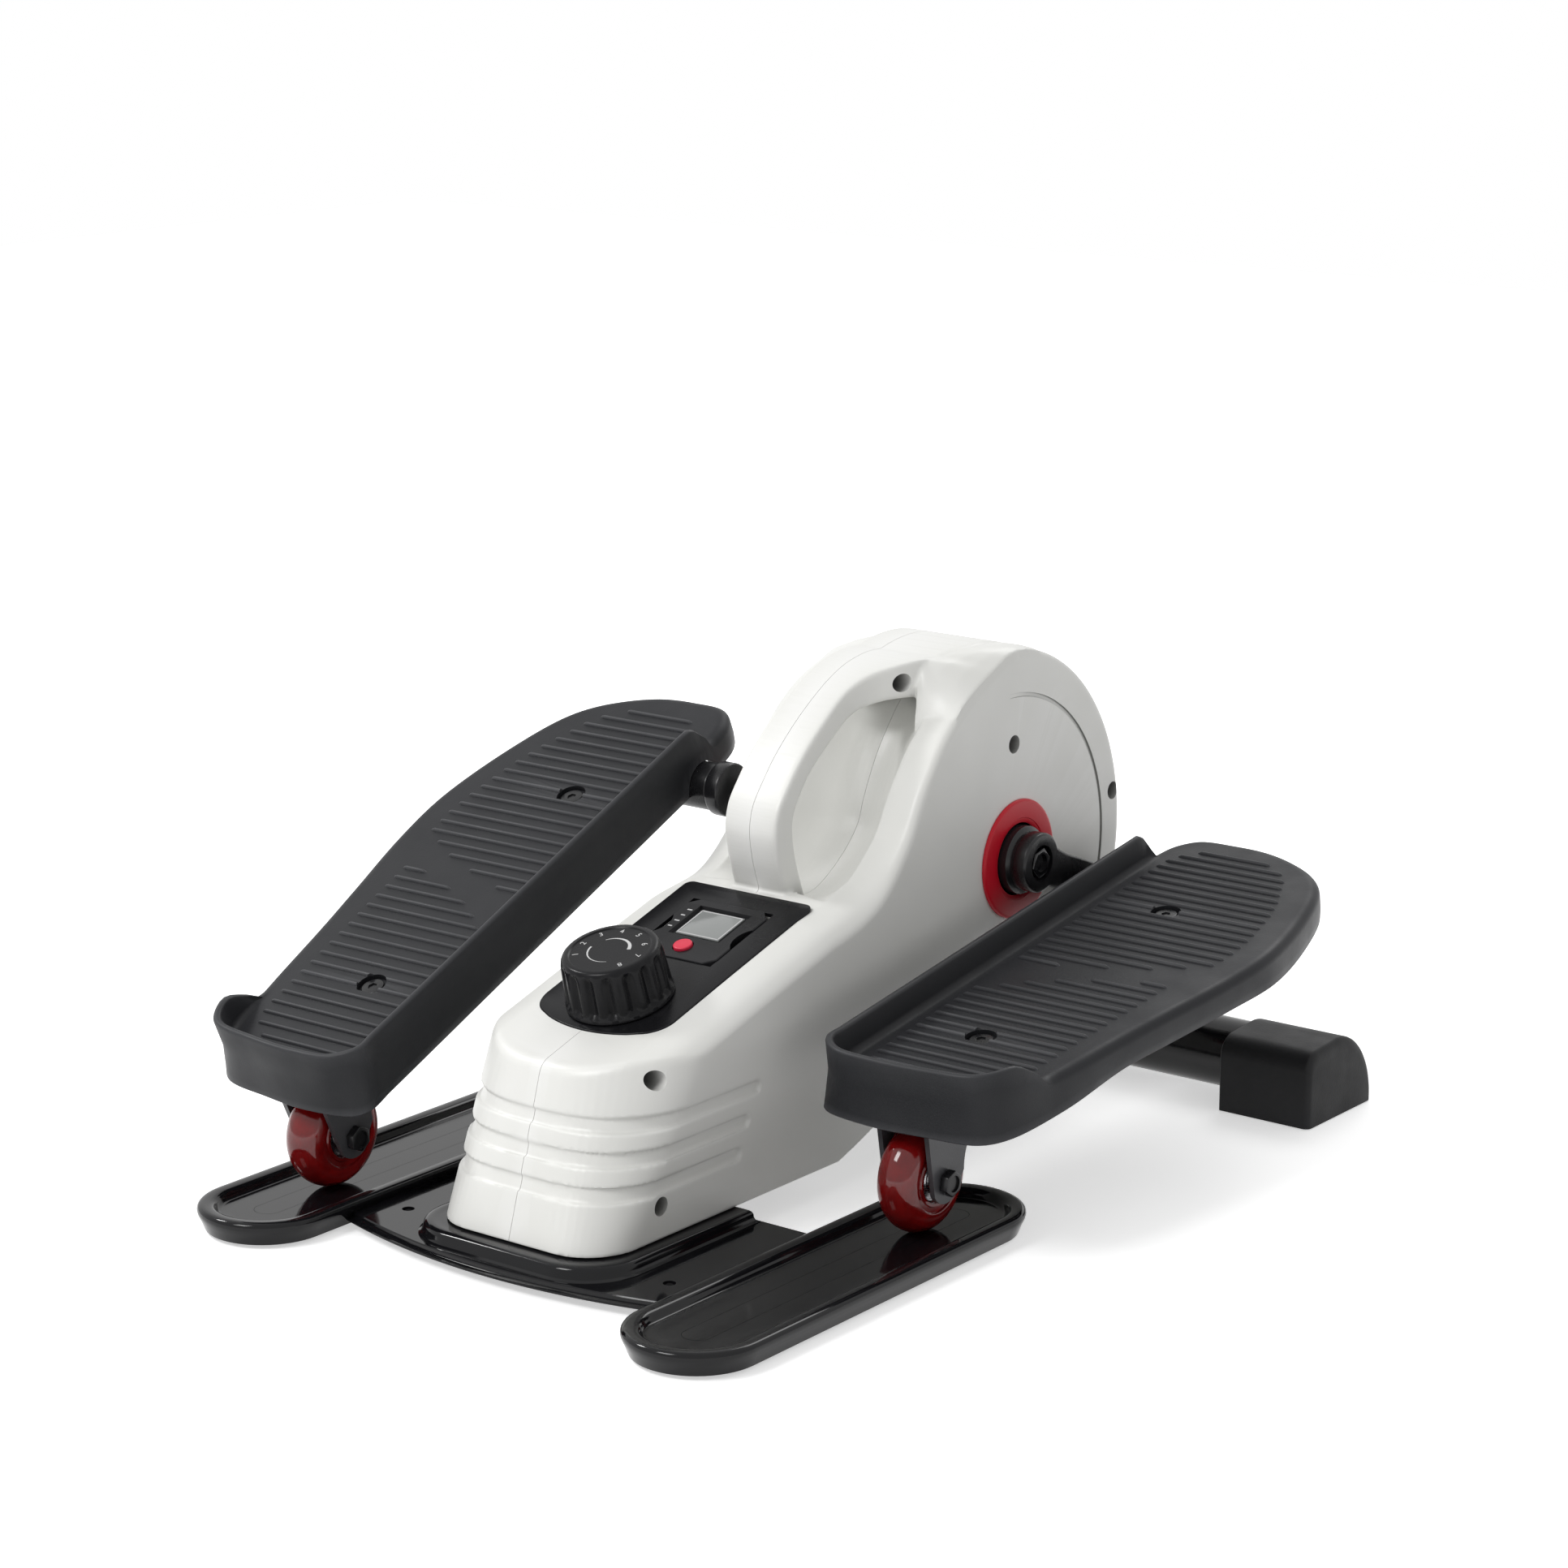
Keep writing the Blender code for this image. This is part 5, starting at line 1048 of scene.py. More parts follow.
    def grip(self, side: Side) -> Solid:
        """The hooped grip, which rises from the deck and runs into the crown.

        Args:
            side: Which half; only the right one flares over the drum.

        Returns:
            The solid.
        """
        stations = [(*outer, *inner, width) for outer, inner, width in self.grip_stations]
        start, end = self.crown_degrees
        steps = 24
        for step in range(steps + 1):
            angle = start + (end - start) * step / steps
            rise = self.crown_rise * (1.0 - self.crown_fade * eased(step, 9.0, 24.0))
            outer = arc(self.drum_centre, self.drum_radius + rise, angle, angle, 1)[0]
            inner = arc(self.drum_centre, self.drum_radius - self.crown_depth, angle, angle, 1)[0]
            width = self.crown_half_width + self.crown_flare * eased(step, 0.0, 9.0)
            stations.append((*outer, *inner, width))
        dense = smooth_path(stations[:14], 5)[:-1] + stations[13:]
        rows = []
        for outer_y, outer_z, inner_y, inner_z, width in dense:
            half_width = width if side is Side.RIGHT else self.grip_half_width
            rows.append(self.grip_ring((outer_y, outer_z), (inner_y, inner_z), half_width))
        return loft("grip", rows)

    def ramp(self) -> Solid:
        """The slope that falls from the crown's right edge to the drum's rim."""
        rows = []
        for inner, outer in zip(smooth_path(list(self.ramp_inner), 4), smooth_path(list(self.ramp_outer), 4)):
            near = Vector(inner)
            far = Vector((self.ramp_half_width, *outer))
            lift = Vector((0.0, 0.0, (near - far).length * 0.04))
            inside = near - Vector((0.004, 0.0, 0.0))
            rows.append([tuple(inside), tuple(near), tuple(near.lerp(far, 0.33) + lift),
                         tuple(near.lerp(far, 0.67) + lift), tuple(far), (far.x, far.y, far.z - 0.012),
                         (inside.x, inside.y, inside.z - 0.03)])
        return loft("ramp", rows)

    def bands(self, side: Side) -> Solid:
        """The three recessed bands round the nose, as cutters.

        Args:
            side: Which half.

        Returns:
            The cutters in one object.
        """
        cutters = []
        for (low, high), end in zip(self.band_heights, self.band_ends):
            radius = (high - low) / 2
            outline = [(-0.02, low), *arc((end - radius, low + radius), radius, -90.0, 90.0, 10),
                       (-0.02, high)]
            cutters.append(side_prism("band", outline, -self.overlap - 0.01, self.half_width + 0.01))
        core = self.body(side, self.band_depth, self.overlap + 0.02)
        return cut(gathered("bands", *cutters), core)

    def rim_groove(self) -> Solid:
        """The cutter of the shallow groove that runs round the flank near its rear edge."""
        rows = []
        half = self.rim_groove_width / 2
        curves = [arc(self.rim_groove_centre, self.rim_groove_radius + offset, 90.0, -70.0, 90)
                  for offset in (-half, half)]
        for step, (inner, outer) in enumerate(zip(*curves)):
            low = self.half_width - self.flank_draft * max(self.draft_top - inner[1], 0.0)
            low -= self.rim_groove_depth * eased(step, -3.0, 9.0)
            high = self.half_width + 0.02
            rows.append([(low, *inner), (low, *outer), (high, *outer), (high, *inner)])
        return loft("rim", rows)

    def openings(self, side: Side, console: Console) -> Solid:
        """The crisp holes and recesses, as cutters in one object.

        Args:
            side: Which half.
            console: The console that sits in the deck.

        Returns:
            The cutters.
        """
        spine = box("slot", (-0.04, self.underside - 0.03, 0.0), (0.022, 0.3, 0.043))
        post = box("slot", (-0.04, self.axle[0] - 0.018, 0.0), (0.017, self.axle[0] + 0.018, 0.06))
        hole = rod("hole", self.axle_hole, 0.04, 0.09, self.axle, 64)
        cutters = [moved(joined(console.recess(), *console.wells()), self.deck_frame), spine, post, hole]
        if side is Side.RIGHT:
            for place in self.screws:
                cutters.append(rod("recess", self.recess_radius, 0.02, 0.09, place, 32))
            cutters.append(rod("recess", self.recess_radius, 0.01, 0.09, self.grip_screw, 32))
        return gathered("openings", *cutters)

    def mouth(self) -> Solid:
        """The opening underneath, which follows the flank's foot and the nose's corner."""
        foot_half = self.half_width - self.flank_draft * (self.draft_top - self.foot)
        corner = (foot_half - self.nose_corner, self.nose_foot + self.nose_corner)
        rear = self.underside - self.mouth_margin
        outline = [(-0.03, self.nose_foot + self.mouth_margin)]
        outline += arc(corner, self.nose_corner - self.mouth_margin, -90.0, 0.0, 12)
        outline += [(foot_half - self.mouth_margin, rear), (-0.03, rear)]
        return prism("mouth", outline, 0.0, self.mouth_top)

    def cavity(self, side: Side) -> Solid:
        """The hollow inside, open underneath."""
        inside = joined(self.body(side, self.wall, self.overlap + 0.008), self.mouth())
        bosses = [rod("boss", 0.0065, -0.06, 0.08, place, 24) for place in self.screws]
        return cut(inside, self.scoop(self.wall), *bosses)

    def half(self, side: Side, console: Console) -> Solid:
        """One finished half.

        Args:
            side: Which half.
            console: The console that sits in the deck.

        Returns:
            The half shell in its place on the machine.
        """
        shell = cut(self.body(side, 0.0, self.overlap), self.scoop(0.0), self.bands(side))
        joined(shell, self.grip(side))
        if side is Side.RIGHT:
            joined(shell, self.ramp())
        softened(shell, self.skin_cell, self.skin_passes, self.skin_share)
        if side is Side.RIGHT:
            cut(shell, self.rim_groove())
        cut(shell, self.cavity(side), self.openings(side, console))
        parted(shell, FIT / 2)
        return moved(shell, side.mirror)


@dataclass
class Console:
    """The panel on the deck with its display, reset button and tension knob, laid out in the deck's frame."""

    half_width: float = 0.0445
    front: float = -0.012
    rear: float = 0.14
    bow: float = 0.014
    front_corner: float = 0.018
    corner: float = 0.005
    recess_depth: float = 0.0018
    thickness: float = 0.0022
    display_place: float = 0.0947
    display_half_width: float = 0.028
    display_half_length: float = 0.029
    display_depth: float = 0.009
    notch_radius: float = 0.015
    notch_depth: float = 0.0042
    notch_place: float = 0.0945
    lens_place: float = 0.1023
    lens_half_width: float = 0.015
    lens_half_length: float = 0.0125
    button_place: float = 0.0777
    button_radius: float = 0.0055
    knob_place: float = 0.022
    knob_radius: float = 0.03
    knob_top_radius: float = 0.028
    knob_height: float = 0.03
    knob_flutes: int = 16
    flute_depth: float = 0.0026
    shaft_radius: float = 0.0055
    drum_radius: float = 0.009
    shaft_length: float = 0.032

    @property
    def top(self) -> float:
        """Height of the panel's face over the deck."""
        return self.thickness + FIT - self.recess_depth

    @property
    def face(self) -> float:
        """Height of the display's face over the deck."""
        return self.top + 0.0008

    def outline(self, extra: float) -> Outline:
        """The panel's outline on the deck: bowed at the front between round corners, square at the rear.

        Args:
            extra: How far it is let out.

        Returns:
            The closed outline.
        """
        half = self.half_width + extra
        radius = (half ** 2 + self.bow ** 2) / (2 * self.bow)
        sweep = degrees(asin(half / radius))
        front = arc((0.0, self.front - extra + radius), radius, -90.0 - sweep, -90.0 + sweep, 24)
        rear = self.rear + extra
        right = fillet(front[-5], front[-1], (half, rear), self.front_corner + extra, 12)
        right += fillet((half, 0.05), (half, rear), (0.0, rear), self.corner, 6)
        left = [(-across, along) for across, along in reversed(right)]
        return front[5:-5] + right + left

    def recess(self) -> Solid:
        """The cutter for the panel's seat in the housing."""
        return prism("seat", self.outline(FIT), -self.recess_depth, 0.02)

    def wells(self) -> list[Solid]:
        """The cutters for the display and the knob's shaft."""
        shaft = rod("shaft", self.drum_radius + 0.001, -0.03, 0.019, (0.0, self.knob_place), 32, upright=True)
        return [self.display_opening(-0.03, 0.019), shaft]

    def display_opening(self, low: float, high: float) -> Solid:
        """A cutter with a fit's room round the display, between two heights."""
        half = self.display_half_width + FIT
        front = self.display_place - self.display_half_length - FIT
        rear = self.display_place + self.display_half_length + FIT
        return box("window", (-half, front, low), (half, rear, high))

    def panel(self) -> Solid:
        """The black panel with its soft rim, opened for the display and the knob."""
        low = FIT - self.recess_depth
        plate = rounded_prism("panel", self.outline(0.0), low, self.top, 0.0006, 3)
        hole = rod("hole", self.shaft_radius + 0.0005, -0.01, 0.01, (0.0, self.knob_place), 32, upright=True)
        return cut(plate, self.display_opening(-0.01, 0.01), hole)

    def display(self) -> Solid:
        """The display module: a bevelled block with a sunk window, a button well and two side grips.

        Returns:
            The block.
        """
        low = self.display_place - self.display_half_length
        high = self.display_place + self.display_half_length
        half = self.display_half_width
        outline = [(-half, low + 0.006), (-half + 0.006, low), (half - 0.006, low), (half, low + 0.006),
                   (half, high - 0.006), (half - 0.006, high), (-half + 0.006, high), (-half, high - 0.006)]
        block = rounded_prism("display", outline, self.face - self.display_depth, self.face, 0.0006, 2)
        slope = [flat_ring(self.pane(0.0022 + spread, 0.0018 + spread), height)
                 for height, spread in ((self.face - 0.0016, 0.0), (self.face + 0.0016, 0.0017))]
        seat = prism("seat", self.pane(FIT, FIT), self.face - 0.0022, self.face)
        well = rod("well", self.button_radius + 2 * FIT, self.face - 0.006, self.face + 0.01,
                   (0.0, self.button_place), 48, upright=True)
        cutters = [loft("window", slope), seat, well]
        for side in (-1, 1):
            middle = (side * (half + self.notch_radius - self.notch_depth), self.notch_place)
            cutters.append(rod("notch", self.notch_radius, self.face - 0.007, self.face + 0.01, middle, 96,
                               upright=True))
        return cut(block, *cutters)

    def pane(self, wider: float, longer: float) -> Outline:
        """The display pane's rectangle, let out by two margins."""
        across = self.lens_half_width + wider
        along = self.lens_half_length + longer
        corners = ((-across, -along), (across, -along), (across, along), (-across, along))
        return [(corner, self.lens_place + reach) for corner, reach in corners]

    def lens(self) -> Solid:
        """The pane over the display, with a soft rim."""
        low = self.face - 0.0022 + FIT
        return rounded_prism("lens", self.pane(0.0, 0.0), low, self.face - 0.0009, 0.0003, 2)

    def lens_frame(self) -> Solid:
        """The thin printed line round the pane and the short marks beside it.

        Returns:
            The marks, a hair above the display's face.
        """
        parts = []
        low = self.face - 0.0011
        high = self.face - 0.0007
        half = self.lens_half_width - 0.0008
        length = self.lens_half_length - 0.0008
        for across, along, width, depth in ((0.0, length, half, 0.0004), (0.0, -length, half, 0.0004),
                                            (half, 0.0, 0.0004, length), (-half, 0.0, 0.0004, length)):
            parts.append(box("line", (across - width, self.lens_place + along - depth, low),
                             (across + width, self.lens_place + along + depth, high)))
        for step in range(4):
            place = self.lens_place - 0.009 + step * 0.006
            start = -self.lens_half_width - 0.0078
            end = -self.lens_half_width - 0.005 + 0.0006 * (step % 2)
            parts.append(box("mark", (start, place - 0.0005, self.face - 0.0002),
                             (end, place + 0.0005, self.face + 0.0001)))
        return gathered("marks", *parts)

    def button(self) -> Solid:
        """The round reset button with a domed rim."""
        low = self.face - 0.006 + FIT + 0.0012
        return rod("button", self.button_radius, low, self.face + 0.0015, (0.0, self.button_place), 48,
                   0.0008, upright=True)

    def knob(self) -> Solid:
        """The fluted tension knob with a foot ring, a bevelled crown, a sunk dial and its shaft.

        Returns:
            The knob.
        """
        low = self.top + 2 * FIT
        heights = ((0.0, 0.0, 0.0), (0.0006, 0.0004, 0.0), (0.0024, 0.0004, 0.0), (0.0032, 0.0, 0.15),
                   (0.0048, 0.0, 0.9), (0.0066, 0.0, 1.0), (0.014, 0.0, 1.0), (0.022, 0.0, 1.0),
                   (0.0248, 0.0, 0.85), (0.0266, -0.0002, 0.35), (0.0276, -0.0005, 0.0),
                   (0.029, -0.0012, 0.0), (0.0297, -0.002, 0.0), (0.03, -0.0032, 0.0), (0.03, -0.0046, 0.0),
                   (0.0294, -0.0054, 0.0))
        rows = []
        steps = self.knob_flutes * 10
        for height, let_out, fluted in heights:
            taper = self.knob_radius + (self.knob_top_radius - self.knob_radius) * height / self.knob_height
            row = []
            for step in range(steps):
                angle = 2 * pi * step / steps
                wave = (0.5 - 0.5 * cos(self.knob_flutes * angle)) ** 2
                radius = taper - 0.0004 + let_out - self.flute_depth * wave * fluted
                row.append((radius * cos(angle), radius * sin(angle), low + height))
            rows.append(row)
        knob = loft("knob", rows)
        shaft = rod("shaft", self.shaft_radius, -self.shaft_length, low + 0.005, (0.0, 0.0), 32, upright=True)
        drum = rod("drum", self.drum_radius, -self.shaft_length, -self.shaft_length + 0.008, (0.0, 0.0), 48,
                   0.0005, upright=True)
        knob = joined(knob, shaft, drum)
        return moved(knob, Matrix.Translation((0.0, self.knob_place, 0.0)))

    def dial(self) -> Solid:
        """The knob's printed scale: numbers round the rim, a tapering sweep and a pointer.

        Returns:
            The marks, a hair above the dial.
        """
        height = self.top + 2 * FIT + self.knob_height - 0.0006
        parts = []
        for number in range(1, 9):
            angle = radians(215.0 - (number - 1) * 250.0 / 7)
            curve = bpy.data.curves.new("number", "FONT")
            curve.body = str(number)
            curve.size = 0.005
            curve.extrude = 0.0001
            curve.align_x = "CENTER"
            curve.align_y = "CENTER"
            text = linked("number", curve)
            graph = bpy.context.evaluated_depsgraph_get()
            printed = linked("number", bpy.data.meshes.new_from_object(text.evaluated_get(graph)))
            bpy.data.objects.remove(text)
            place = Matrix.Translation((0.0188 * cos(angle), 0.0188 * sin(angle), height))
            parts.append(moved(printed, place @ Matrix.Rotation(angle - pi / 2, 4, "Z")))
        for start, end, radius, width in ((20.0, 140.0, 0.0118, 0.0022), (185.0, 300.0, 0.0128, 0.0011)):
            outer = arc((0.0, 0.0), radius, start, end, 24)
            inner = []
            for step in range(24, -1, -1):
                angle = radians(start + (end - start) * step / 24)
                reach = radius - width * (0.15 + 0.85 * (1.0 - step / 24))
                inner.append((reach * cos(angle), reach * sin(angle)))
            parts.append(prism("sweep", outer + inner, height - 0.0001, height + 0.0001))
        pointer = [(-0.0013, 0.0228), (0.0013, 0.0228), (0.0, 0.0252)]
        parts.append(prism("pointer", pointer, height - 0.0001, height + 0.0001))
        return moved(gathered("dial", *parts), Matrix.Translation((0.0, self.knob_place, 0.0)))


@dataclass
class Footplate:
    """One footplate in its own frame: origin on the roller's axle, X outwards, Y along the tread."""

    inner: float = 0.0537
    tread: float = 0.0555
    skirt_depth: float = 0.02
    skirt_wall: float = 0.0035
    deck_thickness: float = 0.005
    kerb_wall: float = 0.0045
    kerb_height: float = 0.018
    kerb_end: float = 0.319
    heel_kerb_end: float = 0.04
    rim_round: float = 0.006
    spindle_place: float = 0.3023
    spindle_drop: float = 0.02
    spindle_radius: float = 0.014
    rib_first: float = 0.332
    rib_pitch: float = 0.00907
    rib_count: int = 37
    rib_half_width: float = 0.0014
    rib_height: float = 0.0015
    bolts: tuple[tuple[str, float], ...] = (("toe", 0.2492), ("heel", 0.0629))
    bolt_w: float = 0.001
    recess_radius: float = 0.0088
    recess_depth: float = 0.003
    rib_outer: Curve = (
        (0.006, 0.036), (0.017, 0.049), (0.03, 0.052), (0.06, 0.0535), (0.1, 0.0555), (0.13, 0.0575),
        (0.161, 0.059), (0.196, 0.067), (0.214, 0.0685), (0.232, 0.067), (0.25, 0.064), (0.269, 0.06),
        (0.287, 0.054), (0.304, 0.046), (0.313, 0.0425), (0.323, 0.035), (0.333, 0.02))
    rib_inner: Curve = ((0.006, -0.028), (0.012, -0.038), (0.02, -0.041), (0.312, -0.041), (0.323, -0.037),
                        (0.333, -0.028))
    arch_toe: Curve = ((0.155, -0.035), (0.159, -0.014), (0.169, 0.016), (0.178, 0.039), (0.187, 0.055),
                       (0.196, 0.067), (0.205, 0.08))
    arch_heel: Curve = ((0.115, -0.041), (0.124, -0.028), (0.134, -0.017), (0.143, -0.002), (0.152, 0.017),
                        (0.161, 0.0445), (0.17, 0.07))

    def outline(self, *heel: Point) -> Outline:
        """An outline from the inner heel round by the toe, with the same toe for tread and skirt.

        Args:
            *heel: The points behind the toe, as places along and across, with the inner heel first.

        Returns:
            The smooth closed outline.
        """
        inner = self.inner
        toe = [(0.09, -inner), (0.19, -inner), (0.29, -inner), (0.3207, 0.0003 - inner),
               (0.339, 0.004 - inner), (0.352, 0.015 - inner), (0.3545, -0.015), (0.353, 0.008),
               (0.3455, 0.03), (0.333, 0.05), (0.317, 0.063), (0.279, 0.077), (0.227, 0.087)]
        return [(across, along) for along, across in smooth_path([heel[0], *toe, *heel[1:]], 8, closed=True)]

    @property
    def top_outline(self) -> Outline:
        """The tread's outline."""
        return self.outline((0.012, -self.inner), (0.185, 0.0855), (0.134, 0.078), (0.099, 0.073),
                            (0.044, 0.0665), (0.0015, 0.0595), (-0.0105, 0.0495), (-0.016, 0.019),
                            (-0.0176, -0.015), (-0.0146, 0.0137 - self.inner), (-0.0025, 0.0004 - self.inner))

    @property
    def foot_outline(self) -> Outline:
        """The skirt's foot, point for point below the tread's outline."""
        return self.outline((0.008, -self.inner), (0.185, 0.083), (0.134, 0.0755), (0.099, 0.0705),
                            (0.04, 0.07), (-0.003, 0.0625), (-0.0155, 0.0515), (-0.0205, 0.019),
                            (-0.0225, -0.015), (-0.0176, 0.0067 - self.inner), (-0.01, 0.0002 - self.inner))

    def kerb_share(self, across: float, along: float) -> float:
        """How much of its full height the kerb has at a place on the outline.

        Args:
            across: The place's distance outwards.
            along: Its place along the tread.

        Returns:
            A share from 0 to 1.
        """
        inner_wall = 1.0 - eased(along, self.kerb_end - 0.016, self.kerb_end + 0.002)
        heel_wall = 1.0 - eased(along, self.heel_kerb_end - 0.034, self.heel_kerb_end)
        if across > 0.0:
            return heel_wall
        return inner_wall if along > 0.05 else 1.0

    def shell(self) -> Solid:
        """The skirt, kerb and tread as one loft: up the outside, over the kerb and down to the tread."""
        top = self.top_outline
        foot = self.foot_outline
        low = self.tread - self.skirt_depth
        edge = [(0.0, low + 0.0006), (0.0, low + 0.006), (0.0, self.tread - self.rim_round)]
        edge += [(self.rim_round - drop, self.tread - self.rim_round + rise)
                 for drop, rise in arc((0.0, 0.0), self.rim_round, 0.0, 90.0, 6)[1:]]
        edge += [(0.0072, self.tread), (0.0084, self.tread), (0.0096, self.tread), (0.0108, self.tread),
                 (0.0118, self.tread)]
        wall = self.kerb_wall
        high = self.tread + self.kerb_height
        kerb = [(0.0, low + 0.0006), (0.0, low + 0.006), (0.0, self.tread), (0.0, high - 0.0016),
                (0.0005, high - 0.0006), (0.0014, high), (wall - 0.0016, high),
                (wall - 0.0006, high - 0.0006), (wall, high - 0.0018), (wall + 0.0004, self.tread + 0.0046),
                (wall + 0.001, self.tread + 0.0022), (wall + 0.0022, self.tread + 0.0008),
                (wall + 0.0042, self.tread + 0.0001), (0.0118, self.tread)]
        rings = min(len(edge), len(kerb))
        rows = []
        for index in range(rings):
            row = []
            edge_in, edge_z = edge[index]
            kerb_in, kerb_z = kerb[index]
            for place, (across, along) in enumerate(top):
                share = self.kerb_share(across, along)
                soft = eased(share, 0.0, 0.35)
                height = self.tread + (kerb_z - self.tread) * share if kerb_z > self.tread else kerb_z
                drawn_in = edge_in + (kerb_in - edge_in) * soft
                level = edge_z + (height - edge_z) * soft
                if index == 0:
                    drawn_in += 0.0006
                row.append((drawn_in, level, place))
            insets = {}
            for drawn_in, _, _ in row:
                key = round(drawn_in, 5)
                if key not in insets:
                    insets[key] = (offset_outline(foot, key), offset_outline(top, key))
            ring = []
            for drawn_in, level, place in row:
                lower, upper = insets[round(drawn_in, 5)]
                rise = min(max((level - low) / (self.skirt_depth - self.rim_round), 0.0), 1.0)
                spot = Vector(lower[place]).lerp(Vector(upper[place]), rise)
                ring.append((spot.x, spot.y, level))
            rows.append(ring)
        return loft("footplate", [flat_ring(offset_outline(foot, 0.0012), low), *rows])

    def pocket(self) -> Solid:
        """The hollow under the tread."""
        low = self.tread - self.skirt_depth - 0.002
        high = self.tread - self.deck_thickness
        foot = offset_outline(self.foot_outline, self.skirt_wall)
        top = offset_outline(self.top_outline, self.skirt_wall + 0.001)
        return loft("pocket", [flat_ring(foot, low), flat_ring(top, high)])

    def d_recess(self, place: float) -> Solid:
        """The sunk D round a bolt, its flat side towards the heel."""
        seat = self.tread - self.recess_depth
        outline = arc((self.bolt_w, place), self.recess_radius, -50.0, 230.0, 36)
        return prism("recess", outline, seat, self.tread + 0.004)

    def ribs(self) -> Solid:
        """The low transverse ribs in two groups, with the smooth arch between them.

        Returns:
            All the ribs, sunk a little into the tread, with the bolt recesses cut through them.
        """
        bars = []
        for number in range(self.rib_count):
            along = self.rib_first - self.rib_pitch * number
            inner = along_knots(self.rib_inner, along)
            outer = along_knots(self.rib_outer, along)
            spans = []
            if along > self.arch_toe[-2][0]:
                spans.append((inner, outer))
            elif along > self.arch_toe[0][0]:
                limit = along_knots(self.arch_toe, along)
                spans.append((max(inner, self.rib_inner[3][1]), min(outer, limit)))
            if along < self.arch_heel[-1][0]:
                start = along_knots(self.arch_heel, along) if along > self.arch_heel[0][0] else inner
                spans.append((start, outer))
            for start, end in spans:
                if end - start > 0.008:
                    bars.append(self.rib(along, start, end))
        ribs = gathered("ribs", *bars)
        return cut(ribs, *[self.d_recess(place) for _, place in self.bolts])

    def rib(self, along: float, start: float, end: float) -> Solid:
        """One rib: half a rounded bar whose ends run out into the tread.

        Args:
            along: Its place along the tread.
            start: Its inner end.
            end: Its outer end.

        Returns:
            The bar.
        """
        rows = []
        base = self.tread - 0.0006
        for place, size in ((start, 0.15), (start + 0.0012, 0.7), (start + 0.003, 1.0), (end - 0.003, 1.0),
                            (end - 0.0012, 0.7), (end, 0.15)):
            row = []
            for step in range(9):
                angle = pi * step / 8
                row.append((place, along + self.rib_half_width * (0.4 + 0.6 * size) * cos(angle),
                            base + (self.rib_height + 0.0006) * size * sin(angle) + 0.00001))
            rows.append(row)
        return loft("rib", rows)

    def webs(self) -> Solid:
        """The stiffening walls under the tread, beside the rail."""
        parts = []
        low = self.tread - 0.0145
        high = self.tread - self.deck_thickness + 0.0005
        for along in (0.03, 0.085, 0.14, 0.195, 0.25):
            outer = along_knots(((0.0, 0.052), (0.14, 0.07), (0.22, 0.078), (0.3, 0.062)), along)
            parts.append(box("web", (0.016, along - 0.001, low), (outer, along + 0.001, high)))
            parts.append(box("web", (0.004 - self.inner, along - 0.001, low), (-0.016, along + 0.001, high)))
        return gathered("webs", *parts)

    def build(self) -> Solid:
        """The whole footplate in its own frame, for the right foot."""
        plate = cut(self.shell(), self.pocket())
        centre = (self.spindle_place, self.tread - self.spindle_drop)
        notch = rod("notch", self.spindle_radius + 2 * FIT, -0.08, -0.03, centre, 48)
        mouth = box("mouth", (-0.08, centre[0] - self.spindle_radius - 2 * FIT, 0.0),
                    (-0.03, centre[0] + self.spindle_radius + 2 * FIT, centre[1]))
        recesses = [self.d_recess(place) for _, place in self.bolts]
        holes = [rod("hole", 0.0038, 0.0, 0.1, (self.bolt_w, place), 24, upright=True)
                 for _, place in self.bolts]
        cut(plate, notch, mouth, *recesses, *holes)
        return gathered("footplate", plate, self.ribs(), self.webs())


